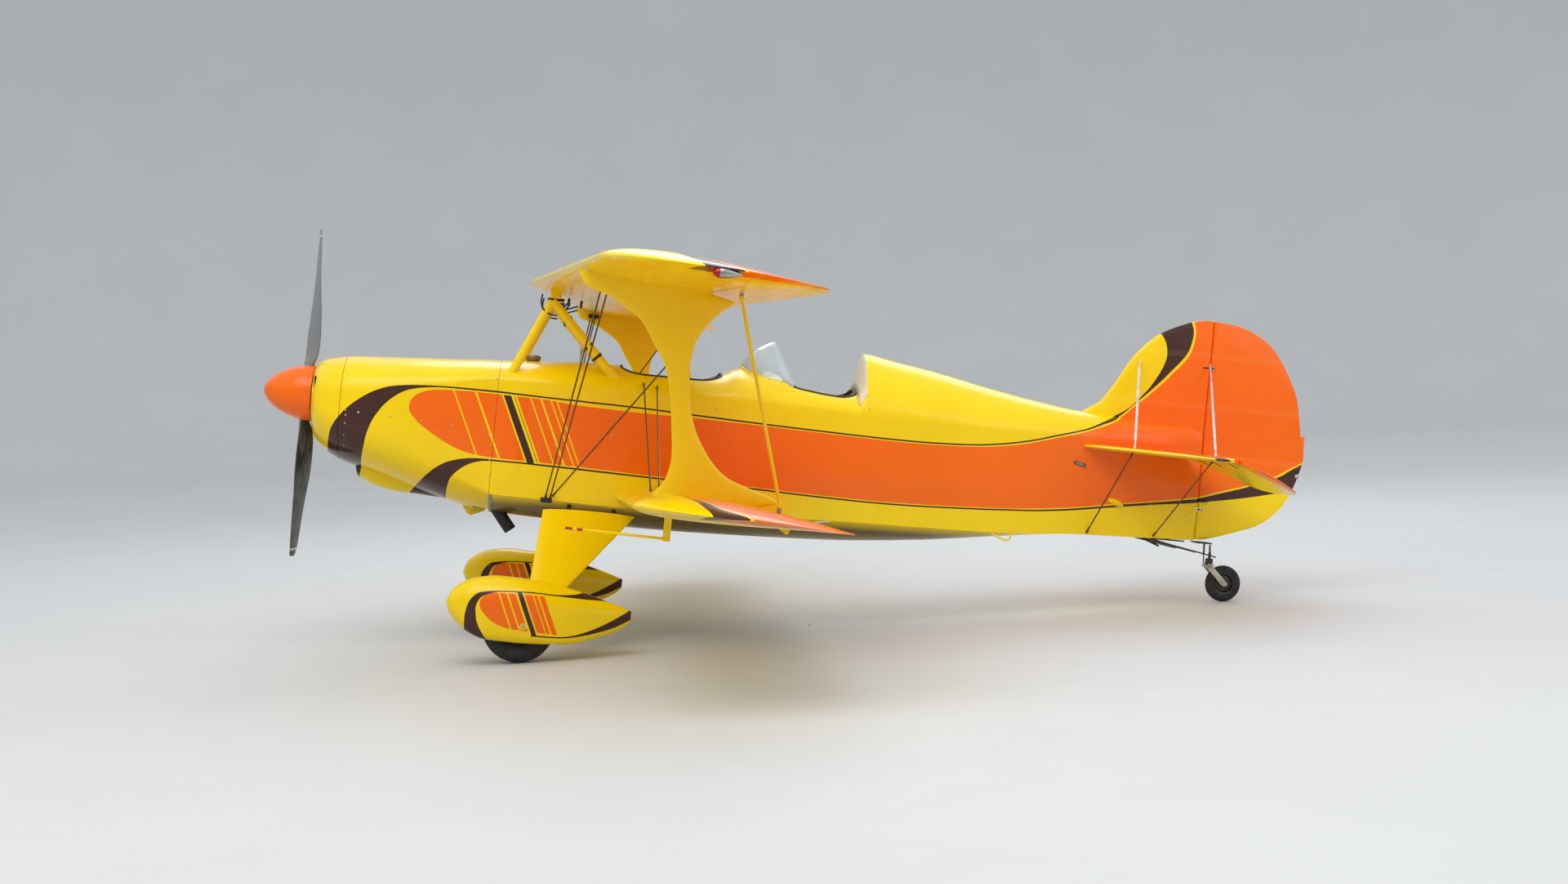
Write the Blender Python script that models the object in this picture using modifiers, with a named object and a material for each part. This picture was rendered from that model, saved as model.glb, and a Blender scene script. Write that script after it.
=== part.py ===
"""Two-seat open-cockpit sport biplane with a fixed tailwheel undercarriage.

Frame: X runs aft (the nose points to -X), Y to starboard, Z up, in metres. The origin is the middle of
the ground rectangle under the aeroplane. It stands on its three wheels, nose up by STANCE_DEG.
Nearly every piece is shaped in the airframe frame: x aft of the propeller hub, z above the thrust line.
"""
import math

import bmesh
import bpy
import numpy as np
from mathutils import Matrix, Vector

# Driving dimensions, metres and degrees
STANCE_DEG = 8.0            # nose-up angle on its wheels
HUB_X = -2.7447             # propeller hub centre in the ground frame
HUB_Z = 1.451
PROP_RADIUS = 0.912
SPINNER_R = 0.155
BLADE_X = -0.004            # blade axis, just ahead of the hub station
FIREWALL_X = 1.058
COWL_FRONT_X = 0.216
TAIL_POST_X = 5.097
WING_CHORD = 0.945
UPPER_HALF_SPAN = 3.66
LOWER_HALF_SPAN = 3.50
SWEEP_DEG = 6.0
DIHEDRAL_DEG = 2.2
SECTION_THICK = 0.110       # wing section, part of the chord
SECTION_CAMBER = 0.017
HINGE_FRACTION = 0.680      # aileron hinge as a part of the chord
HINGE_GAP = 0.006
AILERON_IN = 1.62
AILERON_OUT = 3.12
STRUT_Y = 2.50
SLAVE_Y = 2.62
TRACK_HALF = 0.94
WHEEL_X = 1.2905
WHEEL_Z = -1.0920
TYRE_R = 0.190
TYRE_W = 0.130
TAIL_AXLE = (5.304, -0.614)
TAIL_TYRE_R = 0.105
SWIVEL_X = 5.211
RUDDER_HINGE_X = 5.120
ELEVATOR_HINGE = (4.985, 0.108)
ELEVATOR_DROOP_DEG = 22.0
SEAT_GAP = 0.0003           # clearance between pieces that touch

YELLOW = (0.86, 0.53, 0.015)
ORANGE = (0.84, 0.16, 0.012)
BROWN = (0.045, 0.022, 0.014)
CREAM = (0.80, 0.66, 0.44)
RUBBER = (0.018, 0.018, 0.018)
STEEL = (0.42, 0.42, 0.42)
ALLOY = (0.55, 0.55, 0.54)
BLACK = (0.02, 0.02, 0.022)

for old in list(bpy.data.objects):
    bpy.data.objects.remove(old, do_unlink=True)

PARTS = bpy.data.collections.new("biplane")
CUTTERS = bpy.data.collections.new("cutters")
bpy.context.scene.collection.children.link(PARTS)
bpy.context.scene.collection.children.link(CUTTERS)
CUTTERS.hide_render = True


def material(name, color, roughness=0.35, metallic=0.0, alpha=1.0):
    """Principled material with a plain colour."""
    mat = bpy.data.materials.new(name)
    mat.use_nodes = True
    shader = mat.node_tree.nodes["Principled BSDF"]
    shader.inputs["Base Color"].default_value = (color[0], color[1], color[2], 1.0)
    shader.inputs["Roughness"].default_value = roughness
    shader.inputs["Metallic"].default_value = metallic
    shader.inputs["Alpha"].default_value = alpha
    mat.diffuse_color = (color[0], color[1], color[2], alpha)
    return mat


def empty(name, location, parent=None, rotation=(0.0, 0.0, 0.0)):
    """Empty that carries a frame or a joint axis."""
    obj = bpy.data.objects.new(name, None)
    obj.empty_display_size = 0.1
    obj.location = location
    obj.rotation_euler = rotation
    obj.parent = parent
    PARTS.objects.link(obj)
    return obj


STANCE = empty("stance", (HUB_X, 0.0, HUB_Z), None, (0.0, math.radians(STANCE_DEG), 0.0))


def add_object(name, mesh, parent=STANCE, location=(0.0, 0.0, 0.0), cutter=False):
    """Object in the parts or the cutters collection."""
    obj = bpy.data.objects.new(name, mesh)
    obj.location = location
    obj.parent = parent
    if cutter:
        CUTTERS.objects.link(obj)
        obj.hide_render = True
        obj.display_type = "WIRE"
    else:
        PARTS.objects.link(obj)
    return obj


def finish_mesh(bm, name, color, angle=32.0, **look):
    """Turns a bmesh into a mesh with faces out, smooth shading and one material."""
    bmesh.ops.recalc_face_normals(bm, faces=bm.faces[:])
    mesh = bpy.data.meshes.new(name)
    bm.to_mesh(mesh)
    bm.free()
    mesh.shade_smooth()
    mesh.set_sharp_from_angle(angle=math.radians(angle))
    mesh.materials.append(material(name, color, **look))
    return mesh


def loft_into(bm, rings):
    """Closed skin of triangles through rings of equal length, with a flat face on each end."""
    rows = [[bm.verts.new(p) for p in ring] for ring in rings]
    count = len(rows[0])
    for near, far in zip(rows[:-1], rows[1:]):
        for i in range(count):
            j = (i + 1) % count
            bm.faces.new((near[i], near[j], far[j]))
            bm.faces.new((near[i], far[j], far[i]))
    bm.faces.new(rows[0][::-1])
    bm.faces.new(rows[-1])


def tube_into(bm, start, end, radius, segments=12, radius_end=None):
    """Round bar from start to end."""
    start = Vector(start)
    end = Vector(end)
    line = end - start
    turn = line.to_track_quat("Z", "Y").to_matrix().to_4x4()
    place = Matrix.Translation((start + end) / 2) @ turn
    bmesh.ops.create_cone(bm, cap_ends=True, segments=segments, radius1=radius,
                          radius2=radius if radius_end is None else radius_end,
                          depth=line.length, matrix=place)


def box_into(bm, low, high):
    """Square block between two corners."""
    low = Vector(low)
    high = Vector(high)
    size = high - low
    place = Matrix.Translation((low + high) / 2) @ Matrix.Diagonal((size.x, size.y, size.z, 1.0))
    bmesh.ops.create_cube(bm, size=1.0, matrix=place)


def loft(name, rings, color=YELLOW, cutter=False, parent=STANCE, location=(0.0, 0.0, 0.0), **look):
    """Object skinned over rings."""
    bm = bmesh.new()
    loft_into(bm, rings)
    return add_object(name, finish_mesh(bm, name, color, **look), parent, location, cutter)


def solid(name, fill, color=YELLOW, cutter=False, parent=STANCE, location=(0.0, 0.0, 0.0), **look):
    """Object whose mesh is filled by a function."""
    bm = bmesh.new()
    fill(bm)
    return add_object(name, finish_mesh(bm, name, color, **look), parent, location, cutter)


def bar(name, start, end, radius, segments=12, **place):
    """Round bar as an object, a cutter unless it is told otherwise."""
    place.setdefault("cutter", True)
    return solid(name, lambda bm: tube_into(bm, start, end, radius, segments), **place)


def block(name, low, high, **place):
    """Square block as an object, a cutter unless it is told otherwise."""
    place.setdefault("cutter", True)
    return solid(name, lambda bm: box_into(bm, low, high), **place)


def boolean(obj, tool, operation="DIFFERENCE"):
    """Live exact Boolean of one object with another."""
    mod = obj.modifiers.new(operation.lower(), "BOOLEAN")
    mod.operation = operation
    mod.solver = "EXACT"
    mod.object = tool
    return obj


def turned(name, profile, color, parent, location, rotation=(0.0, 0.0, 0.0), steps=48, cutter=False,
           **look):
    """Body of revolution about its own Z from (radius, height) pairs, outer side top to bottom."""
    mesh = bpy.data.meshes.new(name)
    verts = [(r, 0.0, z) for r, z in profile]
    edges = [(i, i + 1) for i in range(len(verts) - 1)]
    if profile[0][0] > 0.0 or profile[-1][0] > 0.0:
        edges.append((len(verts) - 1, 0))
    mesh.from_pydata(verts, edges, [])
    mesh.materials.append(material(name, color, **look))
    obj = add_object(name, mesh, parent, location, cutter)
    obj.rotation_euler = rotation
    mod = obj.modifiers.new("screw", "SCREW")
    mod.axis = "Z"
    mod.steps = steps
    mod.render_steps = steps
    mod.use_merge_vertices = True
    mod.merge_threshold = 0.0001
    mod.use_smooth_shade = True
    return obj


def on_axle(steps):
    """Turn that lays a wheel on its axle with one of its facet edges on the ground."""
    return (math.pi / 2, math.radians((90.0 - STANCE_DEG) % (360.0 / steps)), 0.0)


def smooth_table(xs, ys):
    """Monotone cubic through table points, returned as a function."""
    xs = np.asarray(xs, float)
    ys = np.asarray(ys, float)
    step = np.diff(xs)
    slope = np.diff(ys) / step
    tangent = np.zeros(len(xs))
    tangent[0] = slope[0]
    tangent[-1] = slope[-1]
    for i in range(1, len(xs) - 1):
        if slope[i - 1] * slope[i] > 0.0:
            w1 = 2.0 * step[i] + step[i - 1]
            w2 = step[i] + 2.0 * step[i - 1]
            tangent[i] = (w1 + w2) / (w1 / slope[i - 1] + w2 / slope[i])

    def value(x):
        i = int(np.clip(np.searchsorted(xs, x) - 1, 0, len(step) - 1))
        t = (x - xs[i]) / step[i]
        return float((2 * t**3 - 3 * t**2 + 1) * ys[i] + (t**3 - 2 * t**2 + t) * step[i] * tangent[i]
                     + (-2 * t**3 + 3 * t**2) * ys[i + 1] + (t**3 - t**2) * step[i] * tangent[i + 1])

    return value


# Body sections: station, deck top, upper corner height, upper half width, lower edge height,
# lower half width, belly, roundness of the lower part, fullness of the deck
BODY = [
    (0.040, 0.158, 0.000, 0.158, 0.000, 0.158, -0.158, 1.0, 2.00),
    (0.050, 0.170, 0.000, 0.205, -0.010, 0.205, -0.205, 1.0, 2.00),
    (0.066, 0.182, 0.000, 0.250, -0.020, 0.250, -0.240, 1.0, 2.05),
    (0.089, 0.195, 0.000, 0.283, -0.040, 0.283, -0.268, 1.0, 2.10),
    (0.133, 0.208, 0.000, 0.315, -0.060, 0.315, -0.306, 1.0, 2.20),
    (0.216, 0.226, 0.010, 0.348, -0.090, 0.348, -0.352, 1.0, 2.30),
    (0.400, 0.239, 0.030, 0.385, -0.180, 0.380, -0.402, 0.9, 2.40),
    (0.600, 0.252, 0.070, 0.395, -0.280, 0.385, -0.462, 0.7, 2.40),
    (0.800, 0.264, 0.115, 0.385, -0.370, 0.372, -0.515, 0.35, 2.30),
    (0.950, 0.276, 0.150, 0.368, -0.425, 0.360, -0.552, 0.10, 2.15),
    (1.058, 0.282, 0.165, 0.355, -0.453, 0.352, -0.566, 0.0, 2.00),
    (1.300, 0.297, 0.172, 0.356, -0.456, 0.355, -0.577, 0.0, 2.00),
    (1.530, 0.312, 0.178, 0.357, -0.461, 0.357, -0.583, 0.0, 2.00),
    (1.770, 0.316, 0.180, 0.357, -0.467, 0.357, -0.588, 0.0, 2.00),
    (2.070, 0.318, 0.178, 0.357, -0.461, 0.357, -0.588, 0.0, 2.00),
    (2.285, 0.322, 0.176, 0.357, -0.453, 0.357, -0.584, 0.0, 2.00),
    (2.365, 0.356, 0.175, 0.357, -0.450, 0.357, -0.582, 0.0, 2.00),
    (2.550, 0.350, 0.173, 0.357, -0.445, 0.357, -0.577, 0.0, 2.00),
    (2.680, 0.338, 0.171, 0.357, -0.441, 0.357, -0.573, 0.0, 2.00),
    (2.860, 0.312, 0.168, 0.350, -0.436, 0.345, -0.566, 0.0, 2.00),
    (3.048, 0.300, 0.166, 0.338, -0.433, 0.328, -0.557, 0.0, 2.00),
]
REAR = [
    (3.048, 0.300, 0.166, 0.338, -0.433, 0.328, -0.557, 0.0, 2.00),
    (3.088, 0.512, 0.165, 0.335, -0.432, 0.324, -0.554, 0.0, 1.75),
    (3.240, 0.489, 0.163, 0.324, -0.431, 0.310, -0.541, 0.0, 1.75),
    (3.530, 0.443, 0.160, 0.300, -0.429, 0.278, -0.512, 0.0, 1.75),
    (3.820, 0.386, 0.157, 0.270, -0.426, 0.240, -0.471, 0.0, 1.80),
    (4.110, 0.337, 0.154, 0.232, -0.414, 0.198, -0.431, 0.0, 1.85),
    (4.330, 0.308, 0.152, 0.198, -0.399, 0.164, -0.404, 0.0, 1.90),
    (4.600, 0.292, 0.150, 0.150, -0.390, 0.120, -0.396, 0.0, 2.00),
    (4.850, 0.280, 0.148, 0.098, -0.383, 0.075, -0.389, 0.0, 2.00),
    (5.097, 0.270, 0.146, 0.026, -0.376, 0.024, -0.379, 0.0, 2.00),
]


def table_functions(table):
    """One smooth function for each column."""
    columns = list(zip(*table))
    return [smooth_table(columns[0], column) for column in columns[1:]]


FRONT_FIT = table_functions(BODY)
REAR_FIT = table_functions(REAR)


def body_ring(x, grow=0.0, fit=None):
    """Ring of (x, y, z) points round the body at one station; grow moves the skin out."""
    fit = fit or (FRONT_FIT if x <= 3.048 else REAR_FIT)
    top, z_up, half_up, z_low, half_low, belly, roundness, fullness = [f(x) for f in fit]
    top += grow
    belly -= grow
    half_up += grow
    half_low += grow
    half = []
    for i in range(6):
        t = i / 6.0
        plain = (half_low * t, belly + (z_low - belly) * t**2.2)
        a = t * math.pi / 2
        bowl = (half_low * math.sin(a), z_low - (z_low - belly) * math.cos(a))
        half.append(tuple(p + (q - p) * roundness for p, q in zip(plain, bowl)))
    for i in range(5):
        t = i / 5.0
        bulge = 0.012 * math.sin(math.pi * t) * (1.0 - roundness)
        if 1.2 < x < 2.8:
            bulge = 0.0
        half.append((half_low + (half_up - half_low) * t + bulge, z_low + (z_up - z_low) * t))
    for i in range(8):
        b = i / 8.0 * math.pi / 2
        across = half_up * math.cos(b)**(2.0 / fullness)
        half.append((across, z_up + (top - z_up) * math.sin(b)**(2.0 / fullness)))
    ring = [(x, y, z) for y, z in half] + [(x, 0.0, top)]
    return ring + [(x, -y, z) for y, z in half[:0:-1]]


def body_rings(start, stop, step, grow=0.0, inside=None):
    """Rings from one station to another, with extra ones at the rear cockpit step."""
    marks = [x for x in (2.285, 2.325, 2.365, 3.048, 3.088) if start < x < stop]
    count = max(2, int(round((stop - start) / step)))
    stations = sorted(set([round(start + (stop - start) * i / count, 4) for i in range(count + 1)] + marks))
    kept = []
    for x in stations:
        if x in marks or not any(abs(x - m) < 0.02 for m in marks) or x in (start, stop):
            kept.append(x)
    return [body_ring(x, grow) for x in kept]


# Nose bowl, cowl and firewall-forward pieces
NOSE_X = (0.040, 0.047, 0.062, 0.090, 0.135, COWL_FRONT_X - SEAT_GAP)
nose = loft("nose_bowl", [body_ring(x) for x in NOSE_X])
nose_core = loft("nose_core", [body_ring(x, -0.006) for x in (0.052, 0.064, 0.090, 0.140, 0.25)],
                 cutter=True)
boolean(nose, nose_core)
boolean(nose, bar("nose_bore", (0.0, 0.0, 0.0), (0.3, 0.0, 0.0), 0.075, 40))


def inlet_fill(bm):
    """Two rounded air inlets beside the spinner."""
    for side in (-1, 1):
        rings = []
        for x in (-0.02, 0.30):
            rings.append([(x, side * 0.235 + 0.052 * math.cos(a), 0.045 + 0.058 * math.sin(a))
                          for a in [2 * math.pi * i / 16 for i in range(16)]])
        loft_into(bm, rings)


inlets = solid("inlets", inlet_fill, cutter=True)
boolean(nose, inlets)

cowl = loft("cowl", body_rings(COWL_FRONT_X, FIREWALL_X - SEAT_GAP, 0.14))
cowl_core = loft("cowl_core", body_rings(COWL_FRONT_X - 0.01, FIREWALL_X + 0.01, 0.17, -0.005), cutter=True)
boolean(cowl, cowl_core)
boolean(cowl, block("outlet_hole", (0.97, -0.16, -0.62), (1.10, 0.16, -0.50)))
hull_front = loft("cowl_skin", body_rings(COWL_FRONT_X, FIREWALL_X - SEAT_GAP, 0.14, SEAT_GAP), cutter=True)


def scoop_ring(x, half, z_low, z_high):
    """Rounded U section of the chin scoop."""
    ring = []
    for i in range(9):
        a = math.pi * i / 8
        ring.append((x, -half * math.cos(a), z_low + 0.07 - 0.07 * math.sin(a)))
    return ring + [(x, half, z_high), (x, -half, z_high)]


SCOOP = [(0.300, 0.060, -0.385, -0.30), (0.312, 0.085, -0.428, -0.30), (0.345, 0.100, -0.450, -0.30),
         (0.410, 0.110, -0.478, -0.32), (0.480, 0.114, -0.496, -0.34), (0.560, 0.114, -0.505, -0.38),
         (0.640, 0.110, -0.506, -0.40), (0.740, 0.096, -0.512, -0.44), (0.800, 0.080, -0.516, -0.46)]
scoop = loft("chin_scoop", [scoop_ring(*row) for row in SCOOP])
boolean(scoop, hull_front)
boolean(scoop, bar("scoop_mouth", (0.26, 0.0, -0.408), (0.42, 0.0, -0.424), 0.036, 24))

# Engine stand-in: crankcase, two rows of cylinders, accessories and propeller shaft
engine = block("engine", (0.30, -0.13, -0.20), (0.92, 0.13, 0.13), color=ALLOY, roughness=0.55, metallic=0.6,
               cutter=False)
for number, (low, high) in enumerate([((0.34, -0.345, -0.10), (0.57, 0.345, 0.10)),
                                      ((0.62, -0.345, -0.10), (0.85, 0.345, 0.10)),
                                      ((0.90, -0.11, -0.17), (FIREWALL_X - SEAT_GAP, 0.11, 0.10))]):
    boolean(engine, block("engine_block_%d" % number, low, high), "UNION")
boolean(engine, bar("engine_shaft", (0.0305, 0.0, 0.0), (0.40, 0.0, 0.0), 0.050, 24), "UNION")

# Exhaust outlet, left of the middle
EXHAUST_PLACE = (0.0, -0.095, 0.0)
EXHAUST_R = 0.034
exhaust = bar("exhaust_outlet", (1.040, 0.0, -0.470), (1.187, 0.0, -0.656), EXHAUST_R, 28, color=BLACK,
              roughness=0.6, metallic=0.3, cutter=False, location=EXHAUST_PLACE)
boolean(exhaust, bar("exhaust_bore", (1.080, 0.0, -0.5206), (1.2, 0.0, -0.6725), EXHAUST_R - 0.004, 28,
                     location=EXHAUST_PLACE))

# Spinner and propeller
SPIN = empty("propeller_axis", (0.0, 0.0, 0.0), STANCE)
spinner_outer = [(0.0, 0.237), (0.020, 0.234), (0.045, 0.221), (0.072, 0.198), (0.098, 0.165), (0.121, 0.122),
                 (0.138, 0.078), (0.149, 0.034), (0.154, -0.004), (SPINNER_R, -0.030)]
spinner_inner = [(SPINNER_R, -0.034), (0.060, -0.034), (0.060, -0.0305), (0.149, -0.0305), (0.144, 0.030),
                 (0.133, 0.074), (0.117, 0.116), (0.095, 0.157), (0.070, 0.188), (0.0, 0.214)]
spinner = turned("spinner", spinner_outer + spinner_inner, ORANGE, SPIN, (0.0, 0.0, 0.0),
                 (0.0, -math.pi / 2, 0.0), 28, roughness=0.25)


def blade_rings(side, grow=0.0):
    """Blade sections from the hub out; side is +1 for the upper blade."""
    rings = []
    rows = [(0.030, 0.050, 0.050, 60.0, 0.000), (0.135, 0.055, 0.051, 50.0, 0.000),
            (0.165, 0.070, 0.046, 47.0, 0.003), (0.210, 0.100, 0.036, 45.0, 0.012),
            (0.280, 0.118, 0.028, 42.0, 0.015), (0.380, 0.150, 0.022, 31.0, 0.015),
            (0.480, 0.168, 0.018, 23.5, 0.014), (0.600, 0.163, 0.014, 17.5, 0.010),
            (0.720, 0.152, 0.011, 14.5, 0.006), (0.820, 0.135, 0.009, 13.0, 0.004),
            (0.880, 0.112, 0.007, 12.3, 0.002), (0.904, 0.088, 0.006, 12.0, 0.000),
            (PROP_RADIUS, 0.062, 0.004, 12.0, 0.000)]
    for radius, chord, thick, pitch, shift in rows:
        a = -math.radians(pitch)        # the upper blade leads to starboard
        ring = []
        for i in range(12):
            t = 2 * math.pi * i / 12
            across = (chord / 2 + grow) * math.cos(t)
            through = (thick / 2 + grow) * math.sin(t) * (1.0 if math.sin(t) < 0 else 0.8)
            y = across * math.cos(a) - through * math.sin(a)
            x = across * math.sin(a) + through * math.cos(a)
            ring.append((BLADE_X + shift + x, side * y, side * radius))
        rings.append(ring)
    return rings


propeller = bar("propeller", (-0.050, 0.0, 0.0), (0.0302, 0.0, 0.0), 0.070, 28, color=BLACK, parent=SPIN,
                roughness=0.35, cutter=False)
for label, side in (("upper", 1), ("lower", -1)):
    blade = loft("blade_" + label, blade_rings(side), cutter=True, parent=SPIN)
    boolean(propeller, blade, "UNION")
    slot = loft("slot_" + label, blade_rings(side, 0.0008)[0:4], cutter=True, parent=SPIN)
    boolean(spinner, slot)

# Fuselage with its open cockpits
hull_rings = body_rings(FIREWALL_X, TAIL_POST_X, 0.15)
fuselage = loft("fuselage", hull_rings)
hull_cut = loft("hull_skin", body_rings(FIREWALL_X, TAIL_POST_X, 0.15, SEAT_GAP), cutter=True)


def room_ring(x, inset=0.0):
    """Inside of the cabin at one station."""
    fit = FRONT_FIT
    top, z_up, half_up = fit[0](x) - inset, fit[1](x), fit[2](x) - inset
    inner = half_up - 0.022
    ring = [(x, 0.0, -0.47), (x, 0.6 * inner, -0.47), (x, inner - 0.02, -0.43), (x, inner, -0.38),
            (x, inner, 0.0), (x, inner, z_up)]
    for i in range(1, 6):
        b = i / 6.0 * math.pi / 2
        ring.append((x, inner * math.cos(b), z_up + (top - 0.022 - z_up) * math.sin(b)))
    return ring + [(x, 0.0, top - 0.022)] + [(p[0], -p[1], p[2]) for p in ring[:0:-1]]


boolean(fuselage, bar("exhaust_tunnel", (1.0276, 0.0, -0.4543), (1.2118, 0.0, -0.6873),
                      EXHAUST_R + SEAT_GAP, 28, location=EXHAUST_PLACE))
ROOM_X = (1.62, 1.8, 2.0, 2.2, 2.285, 2.365, 2.5, 2.56, 2.566, 2.7, 2.86, 3.02)
boolean(fuselage, loft("cabin_room", [room_ring(x) for x in ROOM_X], cutter=True))


def opening_ring(z, x_front, x_back, half, corner):
    """Rounded rectangle seen from above."""
    ring = []
    for cx, cy, start in ((x_back - corner, half - corner, 0), (x_front + corner, half - corner, 90),
                          (x_front + corner, -half + corner, 180), (x_back - corner, -half + corner, 270)):
        for i in range(5):
            a = math.radians(start + 22.5 * i)
            ring.append((cx + corner * math.cos(a), cy + corner * math.sin(a), z))
    return ring


COCKPITS = {"front": (1.72, 2.280, 0.262, 0.13), "rear": (2.620, 3.046, 0.272, 0.11)}
for label, outline in COCKPITS.items():
    hole = loft(label + "_cockpit_hole", [opening_ring(z, *outline) for z in (0.10, 0.75)], cutter=True)
    boolean(fuselage, hole)


def seat_fill(x, z_pan):
    """Pan and back of one seat."""
    def fill(bm):
        side = [(x - 0.30, z_pan), (x, z_pan), (x + 0.10, z_pan + 0.52), (x + 0.05, z_pan + 0.53),
                (x - 0.04, z_pan + 0.10), (x - 0.29, z_pan + 0.08)]
        loft_into(bm, [[(px, y, pz) for px, pz in side] for y in (-0.18, 0.18)])
    return fill


FLOOR = -0.47 + SEAT_GAP
front_seat = solid("front_seat", seat_fill(2.20, FLOOR), BROWN, roughness=0.6)
rear_seat = solid("rear_seat", seat_fill(2.90, FLOOR), BROWN, roughness=0.6)


PANEL_X = (2.560, 2.566)
rear_panel = loft("instrument_panel", [[p for p in room_ring(x, SEAT_GAP) if p[2] > -0.01] for x in PANEL_X],
                  BLACK, roughness=0.5)


# Windscreen in front of the rear cockpit
def windscreen_fill(bm):
    """Front pane with two side panes."""
    low_l = (2.405, -0.165, 0.300)
    low_r = (2.405, 0.165, 0.300)
    top_l = (2.556, -0.105, 0.527)
    top_r = (2.556, 0.105, 0.527)
    mid_l = (2.52, -0.275, 0.230)
    mid_r = (2.52, 0.275, 0.230)
    aft_l = (2.676, -0.282, 0.262)
    aft_r = (2.676, 0.282, 0.262)
    points = [bm.verts.new(p) for p in (low_l, low_r, top_r, top_l, mid_l, mid_r, aft_l, aft_r)]
    bm.faces.new((points[0], points[1], points[2], points[3]))
    bm.faces.new((points[4], points[0], points[3], points[6]))
    bm.faces.new((points[1], points[5], points[7], points[2]))


bm = bmesh.new()
windscreen_fill(bm)
windscreen_mesh = finish_mesh(bm, "windscreen", (0.85, 0.9, 0.9), roughness=0.05, alpha=0.35)
windscreen = add_object("windscreen", windscreen_mesh)
thick = windscreen.modifiers.new("thickness", "SOLIDIFY")
thick.thickness = 0.004
thick.offset = 0.0
thick.use_even_offset = True
boolean(windscreen, hull_cut)


# Wings
def airfoil(count=13, thick=SECTION_THICK, camber=SECTION_CAMBER, crest=0.4, grow=0.0):
    """Closed section on a unit chord: upper side from the back to the nose, then the lower side."""
    upper = []
    lower = []
    for i in range(count):
        u = 0.5 * (1 - math.cos(math.pi * i / (count - 1)))
        half = 5 * thick * (0.2969 * math.sqrt(u) - 0.1260 * u - 0.3516 * u**2 + 0.2843 * u**3 - 0.1015 * u**4)
        if u < crest:
            mid = camber / crest**2 * (2 * crest * u - u**2)
        else:
            mid = camber / (1 - crest)**2 * ((1 - 2 * crest) + 2 * crest * u - u**2)
        upper.append((u, mid + half + 0.0004 + grow))
        lower.append((u, mid - half - 0.0004 - grow))
    return upper[::-1] + lower


def camber_at(u, camber=SECTION_CAMBER, crest=0.4):
    """Height of the mean line at a part of the chord."""
    return camber / (1 - crest)**2 * ((1 - 2 * crest) + 2 * crest * u - u**2)


class Wing:
    """Place of the wing sections along the span."""

    def __init__(self, front_x, front_z, sweep, rise, drop, half_span, tip_start, root):
        self.front_x = front_x
        self.front_z = front_z
        self.sweep = math.tan(math.radians(sweep))
        self.rise = math.tan(math.radians(rise))
        self.drop = drop
        self.half_span = half_span
        self.tip_start = tip_start
        self.root = root

    def front(self, y):
        """Nose point of the full-chord section."""
        return (self.front_x + self.sweep * abs(y), self.front_z + self.rise * abs(y))

    def ring(self, y, grow=0.0):
        """Section ring at a span station."""
        x0, z0 = self.front(y)
        s = min(1.0, max(0.0, (abs(y) - self.tip_start) / (self.half_span - self.tip_start)))
        curve = 1.0 - math.sqrt(max(0.0, 1.0 - s * s))
        nose_cut = 0.40 * WING_CHORD * curve
        tail_cut = 0.13 * WING_CHORD * curve
        chord = WING_CHORD - nose_cut - tail_cut
        taper = max(0.0, (abs(y) - self.tip_start + 0.25) / (self.half_span - self.tip_start + 0.25))
        slim = max(0.12, (1.0 - 0.45 * taper**2) * math.sqrt(max(0.0, 1.0 - s**3)))
        ring = []
        for u, w in airfoil(thick=SECTION_THICK * slim, grow=grow):
            x = x0 + nose_cut + chord * u
            z = z0 - self.drop * (nose_cut + chord * u) / WING_CHORD + chord * w
            ring.append((x, y, z))
        return ring

    def rings(self, sides, grow=0.0, root=None):
        """All rings over the span of the given sides."""
        root = self.root if root is None else root
        tips = [self.tip_start + (self.half_span - self.tip_start) * t
                for t in (0.0, 0.25, 0.45, 0.62, 0.76, 0.87, 0.95, 0.99)]
        inner = [root, 1.2, 2.2, 2.9] if root > 0 else [0.0, 1.2, 2.2, 2.9]
        half = inner + tips
        if sides == "both":
            stations = [-y for y in half[:0:-1]] + half
        elif sides == "right":
            stations = half
        else:
            stations = [-y for y in half[::-1]]
        return [self.ring(y, grow) for y in stations]

    def hinge(self, y):
        """Aileron hinge point at a span station."""
        x0, z0 = self.front(y)
        u = HINGE_FRACTION
        return (x0 + WING_CHORD * u, y, z0 - self.drop * u + WING_CHORD * camber_at(u))

    def aileron_cut(self, y_in, y_out, side):
        """Block that clears the aileron bay, back to beyond the trailing edge."""
        rings = []
        for y in (y_in - HINGE_GAP, y_out + HINGE_GAP):
            x, _, z = self.hinge(y)
            front = x - AILERON_NOSE_R - HINGE_GAP
            rings.append([(front, side * y, z + 0.2), (front, side * y, z - 0.2),
                          (x + 0.6, side * y, z - 0.2), (x + 0.6, side * y, z + 0.2)])
        return rings

    def aileron_ring(self, y, side, origin):
        """Aileron section: round nose about the hinge, then the wing skin to the trailing edge."""
        hx, _, hz = self.hinge(y)
        ring = []
        for i in range(9):
            a = math.radians(90 + 22.5 * i)
            ring.append((hx + AILERON_NOSE_R * math.cos(a), side * y, hz + AILERON_NOSE_R * math.sin(a)))
        x0, z0 = self.front(y)
        skin = airfoil(count=17)
        for u, w in skin[17:] + skin[:17]:
            if u > HINGE_FRACTION + 0.02:
                ring.append((x0 + WING_CHORD * u, side * y, z0 - self.drop * u + WING_CHORD * w))
        return [(p[0] - origin[0], p[1] - origin[1], p[2] - origin[2]) for p in ring]


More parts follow.
